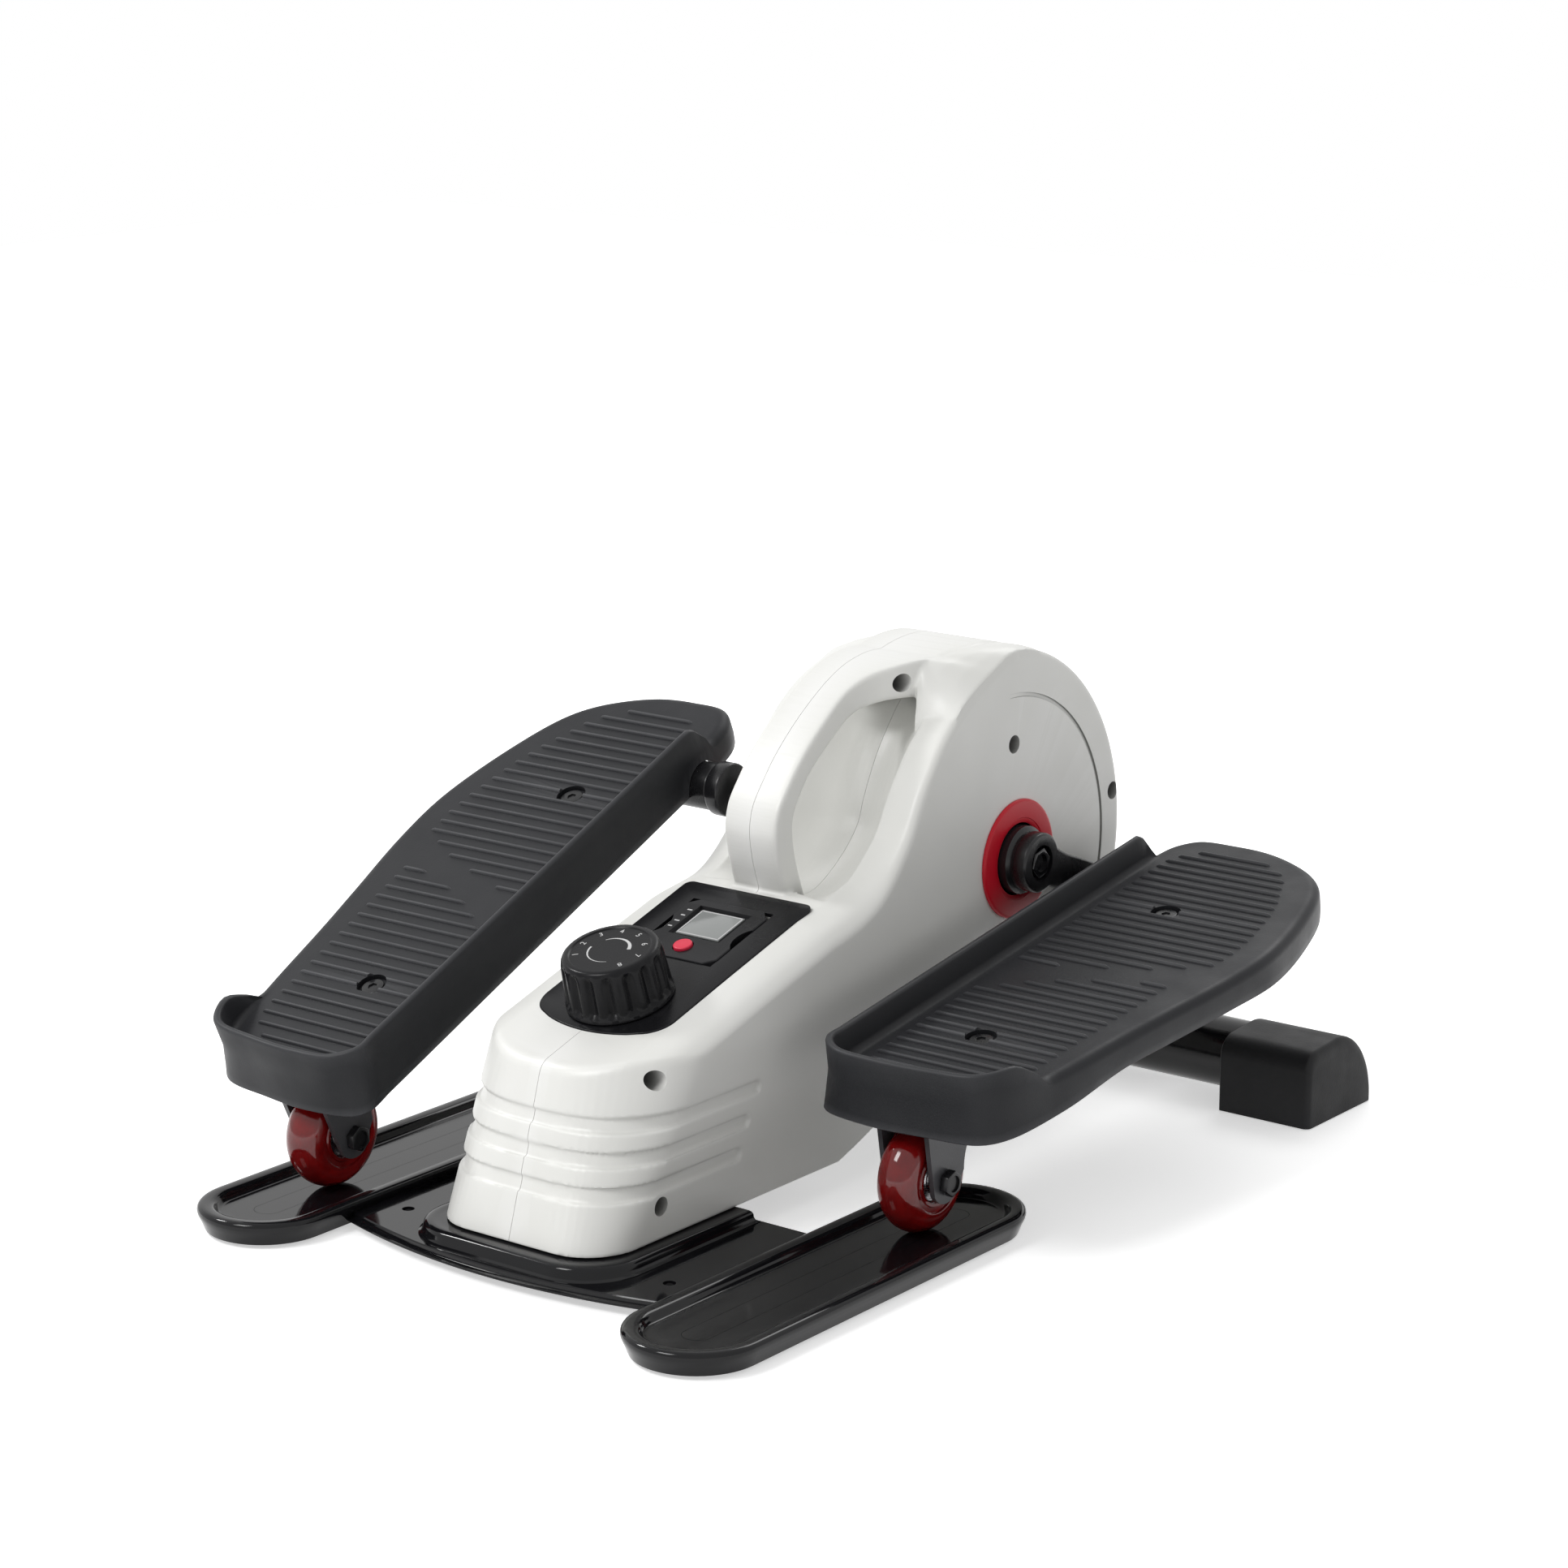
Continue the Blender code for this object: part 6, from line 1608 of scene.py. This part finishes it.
@dataclass
class Running:
    """The running gear under a footplate: fork, roller with its hub and bolt, spindle and tread bolts."""

    fork_half_width: float = 0.017
    fork_sheet: float = 0.003
    fork_end: float = 0.012
    fork_reach: float = 0.046
    fork_top: float = 0.0362
    roller_radius: float = 0.0306
    roller_half_width: float = 0.012
    hub_radius: float = 0.0125
    bolt_radius: float = 0.004
    bolt_head: float = 0.0075
    head_thickness: float = 0.005

    def fork(self) -> Solid:
        """The pressed fork: two cheeks with a curved gusset, joined by a bridge."""
        top = self.fork_top
        curve = arc((self.fork_reach + 0.001, -0.004), 0.031, 96.0, 172.0, 18)
        tip = arc((0.0, 0.0), self.fork_end, 340.0, 200.0, 20)
        outline = [(self.fork_reach + 0.004, top), (self.fork_reach + 0.004, top - 0.006), *curve, *tip,
                   (-self.fork_end, top)]
        outside = self.fork_half_width
        inside = outside - self.fork_sheet
        fork = side_prism("cheek", outline, -outside, -inside)
        joined(fork, side_prism("cheek", outline, inside, outside))
        bridge = box("bridge", (-self.fork_half_width, -self.fork_end, top - self.fork_sheet),
                     (self.fork_half_width, self.fork_reach + 0.004, top))
        joined(fork, bridge)
        bore = rod("bore", self.bolt_radius + FIT, -0.05, 0.05, (0.0, 0.0), 32)
        return bevelled(cut(fork, bore), 0.0006, 2, 50.0)

    def tyre(self) -> Solid:
        """The crowned urethane tyre, with a shallow groove on each face."""
        width = self.roller_half_width
        crown = 0.011
        rounded = arc((self.roller_radius - crown, 0.0), crown, 80.0, -80.0, 22)
        profile = [(radius, along * width / crown) for radius, along in rounded]
        for side in (-1, 1):
            face = [(0.0195, 0.0), (0.0185, 0.0002), (0.0178, 0.0013), (0.0152, 0.0015), (0.0146, 0.0006),
                    (self.hub_radius + 0.0004, 0.0008), (self.hub_radius, 0.0016)]
            wall = [(radius, side * (width - depth)) for radius, depth in face]
            profile += wall if side < 0 else list(reversed(wall))
        return turned("tyre", profile, (0.0, 0.0), 96)

    def hub(self) -> Solid:
        """The hub with its shielded bearing on each face."""
        spacer = self.fork_half_width - self.fork_sheet - FIT
        bore = self.bolt_radius + FIT
        rim = self.hub_radius - FIT
        half = [(rim, 0.0082), (rim - 0.0006, 0.0088), (0.0108, 0.0088), (0.0104, 0.008), (0.0078, 0.008),
                (0.0074, 0.0086), (0.0066, 0.0088), (0.006, 0.01), (0.006, spacer), (bore, spacer)]
        profile = half + [(radius, -along) for radius, along in reversed(half)]
        return turned("hub", profile, (0.0, 0.0), 64)

    def axle_bolt(self) -> Solid:
        """The roller's bolt: a hexagon head with a washer face at each end."""
        start = self.fork_half_width + FIT
        end = start + self.head_thickness
        bolt = rod("bolt", self.bolt_radius, -end + 0.001, end - 0.001, (0.0, 0.0), 32)
        for low_x, high_x in ((-end, -start), (start, end)):
            head = rod("head", self.bolt_head, low_x, high_x, (0.0, 0.0), 6, turn=12.0)
            bevelled(head, 0.0007, 2)
            joined(bolt, head)
        for side in (-1, 1):
            low_x, high_x = sorted((side * (end - 0.0012), side * (end + 0.002)))
            cut(bolt, rod("dish", 0.0046, low_x, high_x, (0.0, 0.0), 32))
        return bolt

    def spindle(self, plate: Footplate, inner: float) -> Solid:
        """The thick spindle that joins the crank arm, at its inner end, to the footplate that it carries."""
        place = (plate.spindle_place, plate.tread - plate.spindle_drop)
        return rod("spindle", plate.spindle_radius, inner, 0.036, place, 64, 0.0012)

    def tread_bolt(self, plate: Footplate, place: float, low: float) -> Solid:
        """A pan-headed bolt with a hexagon socket, sunk in its recess.

        Args:
            plate: The footplate that it holds.
            place: Its place along the tread.
            low: Its lower end.

        Returns:
            The bolt.
        """
        seat = plate.tread - plate.recess_depth + FIT
        centre = (plate.bolt_w, place)
        bolt = rod("bolt", 0.0035, low, seat + 0.0005, centre, 32, upright=True)
        head = rod("head", 0.0066, seat, seat + 0.0014, centre, 48, 0.0005, upright=True)
        socket = rod("socket", 0.0028, seat + 0.0006, seat + 0.004, centre, 6, upright=True)
        return joined(bolt, cut(head, socket))


@dataclass
class Tray:
    """The glossy tray: two grooved tracks, the plate between them and the beaded plinth of the housing."""

    spacing: float = 0.3
    half_width: float = 0.039
    length: float = 0.2215
    lift: float = 0.002
    floor: float = 0.01
    floor_thickness: float = 0.003
    plate_top: float = 0.009
    plate_thickness: float = 0.004
    plate_front: float = 0.005
    plate_sweep: float = 0.02
    plate_rear: float = 0.151
    plinth_half_width: float = 0.07
    plinth_front: float = 0.016
    plinth_rear: float = 0.147
    plinth_corner: float = 0.034
    plinth_top: float = 0.0165
    hole_radius: float = 0.0035
    hole_place: Point = (0.092, 0.0486)

    def track(self, centre: float) -> Solid:
        """One track: a rounded rim round a grooved floor, hollow underneath.

        Args:
            centre: The track's middle line across the machine.

        Returns:
            The track.
        """
        section = [(0.0345, self.lift + 0.0006), (0.0352, self.lift), (0.036, 0.004), (0.0374, 0.0076),
                   (0.0386, 0.0102), (0.039, 0.012), (0.0387, 0.0134), (0.0379, 0.0144), (0.0366, 0.015),
                   (0.0346, 0.015), (0.0322, 0.0149), (0.0306, 0.0145), (0.0294, 0.0136), (0.0286, 0.0122),
                   (0.0279, 0.0108), (0.027, 0.0102), (0.0256, 0.01), (0.02, 0.01), (0.008, 0.01)]
        under = [(0.008, 0.007), (0.025, 0.007), (0.0292, 0.009), (0.0312, 0.0116), (0.035, 0.0118),
                 (0.0352, 0.008), (0.033, 0.0032), (0.0328, self.lift)]
        rows = []
        for radius, height in section + under:
            rear = arc((centre, self.length), radius, 0.0, 180.0, 28)
            front = arc((centre, 0.0), radius, 180.0, 360.0, 28)
            rows.append(flat_ring(rear + front, height))
        floor_low = self.floor - self.floor_thickness
        ring = loft("track", rows, looped=True)
        rear = arc((centre, self.length), 0.0082, 0.0, 180.0, 28)
        front = arc((centre, 0.0), 0.0082, 180.0, 360.0, 28)
        middle = prism("floor", rear + front, floor_low, self.floor)
        return gathered("track", ring, middle)

    def plate(self) -> Solid:
        """The plate between the tracks, with a stepped lip along its swept front."""
        reach = self.spacing / 2 - 0.03
        rows = []
        for inset, height in ((0.0, self.plate_top - self.plate_thickness), (0.0, self.plate_top - 0.0035),
                              (0.0004, self.plate_top - 0.0029), (0.0035, self.plate_top - 0.0026),
                              (0.0042, self.plate_top - 0.0022), (0.0044, self.plate_top - 0.0006),
                              (0.005, self.plate_top)):
            front = self.plate_front + inset
            radius = (reach ** 2 + self.plate_sweep ** 2) / (2 * self.plate_sweep)
            sweep = degrees(asin(reach / radius))
            edge = arc((0.0, front + radius), radius, -90.0 - sweep, -90.0 + sweep, 40)
            outline = edge + [(reach, self.plate_rear), (-reach, self.plate_rear)]
            rows.append(flat_ring(outline, height))
        return loft("plate", rows)

    def plinth_outline(self, inset: float) -> Outline:
        """The bead's outline round the housing's foot, drawn in by an inset."""
        half = self.plinth_half_width - inset
        corner = self.plinth_corner - inset
        front = self.plinth_front + inset
        right = arc((half - corner, front + corner), corner, -90.0, 0.0, 16)
        left = arc((corner - half, front + corner), corner, 180.0, 270.0, 16)
        rear = self.plinth_rear - inset
        return left + right + [(half, rear), (-half, rear)]

    def plinth_pocket(self) -> Solid:
        """The cutter for the hollow under the bead."""
        return prism("pocket", self.plinth_outline(0.006), 0.0, self.plinth_top - 0.003)

    def plinth(self) -> Solid:
        """The rounded bead that the housing stands in."""
        section = [(-0.003, self.plate_top - 0.001), (-0.0026, self.plate_top + 0.0004),
                   (-0.001, self.plate_top + 0.0012), (-0.0002, self.plate_top + 0.003),
                   (0.0, self.plate_top + 0.0048), (0.0006, self.plinth_top - 0.0014),
                   (0.0018, self.plinth_top - 0.0004), (0.0036, self.plinth_top), (0.006, self.plinth_top),
                   (0.0082, self.plinth_top - 0.0002), (0.01, self.plinth_top - 0.0002)]
        body = loft("plinth", [flat_ring(self.plinth_outline(inset), height) for inset, height in section])
        low = self.plate_top - self.plate_thickness
        skirt = prism("skirt", self.plinth_outline(0.0005), low, self.plate_top)
        return cut(joined(body, skirt), self.plinth_pocket())

    def build(self) -> Solid:
        """The whole tray."""
        plate = cut(self.plate(), self.plinth_pocket())
        for side in (-1, 1):
            hole = rod("hole", self.hole_radius, 0.0, 0.03, (side * self.hole_place[0], self.hole_place[1]),
                       32, upright=True)
            cut(plate, hole)
        tracks = [self.track(side * self.spacing / 2) for side in (-1, 1)]
        return gathered("tray", plate, self.plinth(), *tracks)


@dataclass
class Stabilizer:
    """The rear cross tube and its two moulded end caps."""

    along: float = 0.523
    height: float = 0.024
    radius: float = 0.021
    wall: float = 0.002
    cap_depth: float = 0.074
    cap_height: float = 0.0475
    cap_corner: float = 0.012
    cap_crest: float = 0.002
    cap_edge: float = 0.004
    cap_length: float = 0.0614
    cap_end: float = 0.2152
    cap_end_wall: float = 0.006

    def tube(self) -> Solid:
        """The painted tube, open at its ends inside the caps."""
        end = self.cap_end - self.cap_end_wall - FIT
        inner = self.radius - self.wall
        profile = [(self.radius, -end + 0.0005), (self.radius, end - 0.0005), (self.radius - 0.0005, end),
                   (inner, end), (inner, -end), (self.radius - 0.0005, -end)]
        return turned("tube", profile, (self.along, self.height), 96)

    def cap(self) -> Solid:
        """The right-hand cap: a rounded boot with a softly bulged end."""
        low_y = self.along - self.cap_depth / 2
        high_y = self.along + self.cap_depth / 2
        crest = self.along - self.cap_crest
        knee = 0.005
        outline = [(low_y, 0.0), (high_y, 0.0)]
        for across, high in arc((0.0, 0.0), 1.0, 0.0, 90.0, 32):
            outline.append((crest + across * (high_y - crest), knee + high * (self.cap_height - knee)))
        outline += arc((low_y + self.cap_corner, self.cap_height - 0.0015 - self.cap_corner), self.cap_corner,
                       90.0, 180.0, 12)
        start = self.cap_end - self.cap_length
        places = [(start, 0.0016), (start + 0.0004, 0.0006), (start + 0.0012, 0.0),
                  (self.cap_end - self.cap_edge, 0.0)]
        for step in range(1, 7):
            angle = radians(90.0 * step / 6)
            places.append((self.cap_end - self.cap_edge + self.cap_edge * sin(angle),
                           self.cap_edge * (1.0 - cos(angle))))
        rows = []
        for place_x, drawn_in in places:
            edge = offset_outline(outline, drawn_in)
            rows.append([(place_x, along, max(high - drawn_in, 0.0002)) for along, high in edge])
        cap = loft("cap", rows)
        bore = rod("bore", self.radius + FIT, start - 0.01, self.cap_end - self.cap_end_wall,
                   (self.along, self.height), 96)
        return cut(cap, bore)


@dataclass
class Crank:
    """The crank's outer pieces: red discs, hubs, arms and their bolts."""

    axle: Point = (0.398, 0.159)
    axle_radius: float = 0.0085
    throw: float = 0.092
    angle: float = -22.8
    arm_back: float = 0.075
    arm_face: float = 0.085
    head_radius: float = 0.0176
    eye_radius: float = 0.016
    waist: float = 0.011
    hub_radius: float = 0.02
    hub_start: float = 0.061
    bolt_radius: float = 0.0092
    bolt_head: float = 0.0055
    bolt_depth: float = 0.02
    disc_radius: float = 0.0352
    disc_bore: float = 0.0215
    disc_start: float = 0.0673
    disc_thickness: float = 0.002

    @property
    def bolt_seat(self) -> float:
        """Where the crank bolt's head lies, from the middle plane."""
        return self.arm_face - self.bolt_head - 2 * FIT

    def disc(self) -> Solid:
        """The red disc with a soft rim and a fine turned step."""
        start = self.disc_start
        face = start + self.disc_thickness
        profile = [(self.disc_radius, start), (self.disc_radius, start + 0.001),
                   (self.disc_radius - 0.0003, start + 0.0015), (self.disc_radius - 0.001, face - 0.0001),
                   (self.disc_radius - 0.0018, face), (self.disc_bore + 0.003, face),
                   (self.disc_bore + 0.0026, face - 0.0004), (self.disc_bore + 0.0008, face - 0.0004),
                   (self.disc_bore, face - 0.0008), (self.disc_bore, start)]
        return turned("disc", profile, self.axle, 128)

    def arm(self, side: Side) -> Solid:
        """A flat arm with a round head, a waist, an eye and its stepped hub.

        Args:
            side: Which arm; the two are half a turn apart.

        Returns:
            The arm, for the right-hand side.
        """
        head = arc((0.0, 0.0), self.head_radius, 42.0, 318.0, 40)
        tip = arc((self.throw, 0.0), self.eye_radius, -128.0, 128.0, 36)
        lower = smooth_path([head[-1], (0.024, -0.0106), (self.throw / 2, -self.waist), (0.074, -0.0112),
                             tip[0]], 5)
        upper = [(along, -high) for along, high in reversed(lower)]
        outline = head + lower[1:-1] + tip + upper[1:-1]
        arm = rounded_prism("arm", outline, self.arm_back, self.arm_face, 0.0016, 3, SIDE_VIEW)
        back = self.arm_back
        hub_profile = [(self.hub_radius, self.hub_start), (self.hub_radius, back - 0.0022),
                       (self.hub_radius - 0.0006, back - 0.0014), (self.head_radius - 0.0004, back - 0.0004),
                       (self.head_radius - 0.0004, back + 0.001), (self.axle_radius + FIT, back + 0.001),
                       (self.axle_radius + FIT, self.hub_start)]
        bore = rod("bore", self.axle_radius + FIT, 0.0, self.arm_face + 0.01, (0.0, 0.0), 48)
        seat = rod("seat", self.bolt_radius + 0.0014, self.bolt_seat, self.arm_face + 0.01, (0.0, 0.0), 64)
        arm = cut(arm, bore, seat)
        arm = gathered("arm", arm, turned("hub", hub_profile, (0.0, 0.0), 72))
        turn = radians(self.angle) + (0.0 if side is Side.RIGHT else pi)
        return moved(arm, Matrix.Translation((0.0, *self.axle)) @ Matrix.Rotation(turn, 4, "X"))

    def bolt(self) -> Solid:
        """The crank bolt: a hexagon head with a dished top and a washer face."""
        seat = self.bolt_seat
        shank = rod("bolt", 0.004, seat - self.bolt_depth, seat + 0.001, self.axle, 32)
        head = rod("head", self.bolt_radius, seat + FIT, seat + FIT + self.bolt_head, self.axle, 6, turn=14.0)
        head = bevelled(head, 0.0009, 3)
        dish = rod("dish", 0.0052, seat + self.bolt_head - 0.0012, seat + 0.02, self.axle, 48)
        return joined(shank, cut(head, dish))

    def housing_screw(self, place: Point, seat: float, length: float) -> Solid:
        """A housing screw with a crossed recess in its round head.

        Args:
            place: Its place in the side view.
            seat: Where its head lies, from the middle plane.
            length: Its whole length below the head.

        Returns:
            The screw.
        """
        screw = rod("screw", 0.002, seat - length, seat + 0.0005, place, 24)
        head = rod("head", 0.0039, seat, seat + 0.0026, place, 32, 0.0008)
        top = seat + 0.0026
        for across, high in ((0.0026, 0.0005), (0.0005, 0.0026)):
            slot = box("slot", (top - 0.0012, place[0] - across, place[1] - high),
                       (top + 0.002, place[0] + across, place[1] + high))
            head = cut(head, slot)
        return joined(screw, head)


@dataclass
class Studio:
    """The plain floor, the soft light and the camera at the photograph's angle."""

    camera_place: Place = (1.3346, -1.7199, 0.7565)
    camera_turn: Place = (76.157, 0.0, 37.749)
    lens: float = 92.0
    floor_size: float = 8.0
    floor_drop: float = 0.0005
    floor_glow: float = 0.52
    world_level: float = 0.56

    def build(self) -> None:
        """Sets up the floor, world, lamps and camera."""
        bpy.context.scene.view_settings.view_transform = "Standard"
        self.make_floor()
        self.make_world()
        self.make_lamp("key", (-0.4, -1.6, 1.7), 0.7, 20.0)
        self.make_lamp("fill", (-1.4, -0.5, 1.5), 0.3, 11.0)
        self.make_lamp("rim", (-0.2, 1.5, 1.6), 0.8, 7.0)
        camera = linked("camera", bpy.data.cameras.new("camera"))
        camera.location = self.camera_place
        camera.rotation_euler = [radians(angle) for angle in self.camera_turn]
        camera.data.lens = self.lens
        camera.data.sensor_width = 36.0
        bpy.context.scene.camera = camera

    def make_floor(self) -> None:
        """The pale floor: it keeps the shadow near the machine and fades to plain white further off."""
        bpy.ops.mesh.primitive_plane_add(size=self.floor_size, location=(0.0, 0.0, -self.floor_drop))
        floor = bpy.context.active_object
        floor.name = "floor"
        net = NodeNet("floor_white")
        distance = net.add("VectorMath", operation="LENGTH")
        net.link(net.place, distance.inputs[0])
        far = net.spread(distance.outputs["Value"], 0.0, 1.0, 0.42, 0.95)
        glow = net.add("Math", operation="MULTIPLY")
        net.link(net.spread(far, self.floor_glow, 1.0, 0.0, 1.0), glow.inputs[0])
        net.link(seen_ray(net.tree), glow.inputs[1])
        net.link(net.blend(net.spread(net.noise(3.0), 0.0, 1.0), (0.93, 0.93, 0.93), (0.91, 0.91, 0.91)),
                 net.shader.inputs["Base Color"])
        net.link(glow.outputs["Value"], net.shader.inputs["Emission Strength"])
        net.settle(Emission_Color=(1.0, 1.0, 1.0, 1.0), Roughness=0.7)
        floor.data.materials.append(net.material)

    def make_world(self) -> None:
        """A white world to the eye and a soft even light on the object."""
        world = bpy.data.worlds.new("studio")
        bpy.context.scene.world = world
        world.use_nodes = True
        tree = world.node_tree
        background = tree.nodes["Background"]
        background.inputs["Color"].default_value = (1.0, 1.0, 1.0, 1.0)
        strength = tree.nodes.new("ShaderNodeMapRange")
        strength.inputs["To Min"].default_value = self.world_level
        strength.inputs["To Max"].default_value = 1.0
        tree.links.new(seen_ray(tree), strength.inputs["Value"])
        tree.links.new(strength.outputs["Result"], background.inputs["Strength"])

    def make_lamp(self, name: str, place: Place, size: float, power: float) -> None:
        """A square soft lamp that looks at the machine.

        Args:
            name: The lamp's name.
            place: Where it hangs.
            size: Its side in metres.
            power: Its power in watts.
        """
        light = bpy.data.lights.new(name, "AREA")
        light.size = size
        light.energy = power
        lamp = linked(name, light)
        lamp.location = place
        lamp.rotation_euler = (Vector((0.0, 0.0, 0.1)) - Vector(place)).to_track_quat("-Z", "Y").to_euler()


class Trainer:
    """The whole machine: dresses the carried-over nodes and adds the detailed pieces."""

    def __init__(self, frame: dict) -> None:
        """Keeps the frame, makes the finishes and finds where the machine stands.

        Args:
            frame: What the frame's load gave.
        """
        self.nodes = frame["nodes"]
        self.slots = [row["slot"] if isinstance(row, dict) else row for row in frame["record"]["materials"]]
        self.materials = {finish.name: finish.material() for finish in FINISHES}
        self.tray = Tray()
        self.housing = Housing()
        self.console = Console()
        self.stabilizer = Stabilizer()
        self.crank = Crank()
        self.footplate = Footplate()
        self.running = Running()
        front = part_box("base_tray")[0]
        self.origin = Matrix.Translation((0.0, front[1] + self.tray.half_width, 0.0))
        self.pieces = 0

    def dress_nodes(self) -> None:
        """Gives every node the finish of the material that it came with."""
        for node in self.nodes.values():
            came_with = node.data.materials[0].name if node.data.materials else ""
            finish = next((name for name in self.materials if came_with.startswith(name)), "frame_black")
            node.data.materials.clear()
            node.data.materials.append(self.materials[finish])
        LOG.info("dressed %d nodes", len(self.nodes))

    def add(self, piece: Solid, name: str, finish: str, body: str, *replaced: str,
            matrix: Matrix | None = None, angle: float = 32.0) -> Solid:
        """Dresses a finished piece, puts it on its body and lets it stand for its nodes.

        Args:
            piece: The piece, in the machine's own layout.
            name: Its name.
            finish: Its finish.
            body: The body that carries it.
            *replaced: Nodes that it stands for.
            matrix: Where it is placed before the machine's own origin is set.
            angle: Edges sharper than this stay crisp.

        Returns:
            The piece.
        """
        moved(piece, self.origin @ (matrix or Matrix()))
        piece.name = name
        piece.data.name = name
        piece.data.materials.clear()
        piece.data.materials.append(self.materials[finish])
        piece.data.shade_smooth()
        piece.data.set_sharp_from_angle(angle=radians(angle))
        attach(piece, body)
        if replaced:
            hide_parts(*replaced)
        self.pieces += 1
        LOG.info("%s: %d faces", name, len(piece.data.polygons))
        return piece

    def add_side(self, side: Side, piece: Solid, name: str, finish: str, body: str, replaced: str,
                 matrix: Matrix | None = None, angle: float = 32.0) -> None:
        """Adds a right-hand piece on either side; the side's word goes before its name and its node's."""
        self.add(piece, f"{side.word}_{name}", finish, body, f"{side.word}_{replaced}",
                 matrix=matrix or side.mirror, angle=angle)

    def add_base(self) -> None:
        """The tray, the stabilizer and the housing."""
        self.add(self.tray.build(), "moulded_tray", "gloss_black", "base", "base_tray")
        self.add(self.stabilizer.tube(), "cross_tube", "tube_black", "base", "stabilizer_tube")
        for side in Side:
            self.add_side(side, self.stabilizer.cap(), "foot_cap", "rubber_black", "base", "end_cap")
            self.add_side(side, self.housing.half(side, self.console), "housing_half", "housing_white",
                          "base", "shell", Matrix(), 38.0)
        for number, place in enumerate((*self.housing.screws, self.housing.grip_screw)):
            seat = (0.01 if place == self.housing.grip_screw else 0.02) + FIT
            self.add(self.crank.housing_screw(place, seat, 0.03), f"shell_screw_{number + 1}", "frame_black",
                     "base", f"housing_screw_{number + 1}")

    def add_console(self) -> None:
        """The panel, display, button and knob."""
        console = self.console
        deck = self.housing.deck_frame
        self.add(console.panel(), "deck_panel", "panel_black", "base", "console_panel", matrix=deck)
        self.add(console.display(), "display_block", "panel_black", "base", "display_module", matrix=deck,
                 angle=20.0)
        self.add(console.lens(), "display_pane", "lens_grey", "base", "display_lens", matrix=deck)
        self.add(console.lens_frame(), "display_marks", "print_white", "base", matrix=deck)
        self.add(console.button(), "round_button", "button_red", "button", "reset_button", matrix=deck)
        self.add(console.knob(), "fluted_knob", "panel_black", "knob", "tension_knob", matrix=deck)
        self.add(console.dial(), "dial_marks", "print_white", "knob", matrix=deck)

    def add_crank(self) -> None:
        """The discs, arms and crank bolts."""
        for side in Side:
            self.add_side(side, self.crank.disc(), "red_disc", "disc_red", "base", "axle_disc")
            self.add_side(side, self.crank.arm(side), "arm", "frame_black", "crank", "crank_arm")
            self.add_side(side, self.crank.bolt(), "arm_bolt", "tube_black", "crank", "crank_bolt")

    def pedal_frame(self, side: Side) -> tuple[Matrix, Matrix]:
        """Where a footplate and its upright roller stand, from the frame's own pieces.

        Args:
            side: Which footplate.

        Returns:
            The footplate's frame and the roller's.
        """
        centres = []
        for node in (f"{side.word}_roller_tyre", f"{side.word}_pedal_spindle"):
            low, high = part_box(node)
            centres.append((Vector(low) + Vector(high)) / 2)
        roller, spindle = centres
        plate = self.footplate
        rise = atan2(spindle.z - roller.z, spindle.y - roller.y)
        tilt = rise - atan2(plate.tread - plate.spindle_drop, plate.spindle_place)
        half = side.value * self.tray.spacing / 2
        place = self.origin.inverted() @ Matrix.Translation((half, roller.y, roller.z))
        return place @ Matrix.Rotation(tilt, 4, "X") @ side.mirror, place @ side.mirror

    def add_pedal(self, side: Side) -> None:
        """One footplate with its running gear.

        Args:
            side: Which footplate.
        """
        tilted, upright = self.pedal_frame(side)
        running = self.running
        pedal, carriage, wheel = (f"{side.word}_{body}" for body in ("pedal", "carriage", "wheel"))
        self.add_side(side, self.footplate.build(), "ribbed_footplate", "footplate_grey", pedal, "footplate",
                      tilted, 40.0)
        self.add_side(side, running.fork(), "fork", "bracket_grey", pedal, "roller_fork", tilted)
        inner = self.crank.arm_face + FIT + 0.0001 - self.tray.spacing / 2
        self.add_side(side, running.spindle(self.footplate, inner), "spindle", "frame_black", pedal,
                      "pedal_spindle", tilted)
        for bolt_name, place in self.footplate.bolts:
            bolt = running.tread_bolt(self.footplate, place, 0.0375)
            self.add_side(side, bolt, f"{bolt_name}_screw", "frame_black", pedal, f"{bolt_name}_bolt", tilted)
        self.add_side(side, running.axle_bolt(), "axle_bolt", "frame_black", carriage, "roller_bolt", tilted)
        self.add_side(side, running.tyre(), "tyre", "roller_red", wheel, "roller_tyre", upright)
        self.add_side(side, running.hub(), "hub", "bright_steel", wheel, "roller_hub", upright)

    def build(self) -> None:
        """Dresses the nodes and adds the pieces in order."""
        self.dress_nodes()
        self.add_base()
        self.add_console()
        self.add_crank()
        for side in Side:
            self.add_pedal(side)
        LOG.info("added %d pieces", self.pieces)


def main() -> None:
    """Builds the studio and the trainer round the frame."""
    logging.basicConfig(level=logging.INFO)
    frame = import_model()
    Studio().build()
    Trainer(frame).build()


if __name__ == "__main__":
    main()
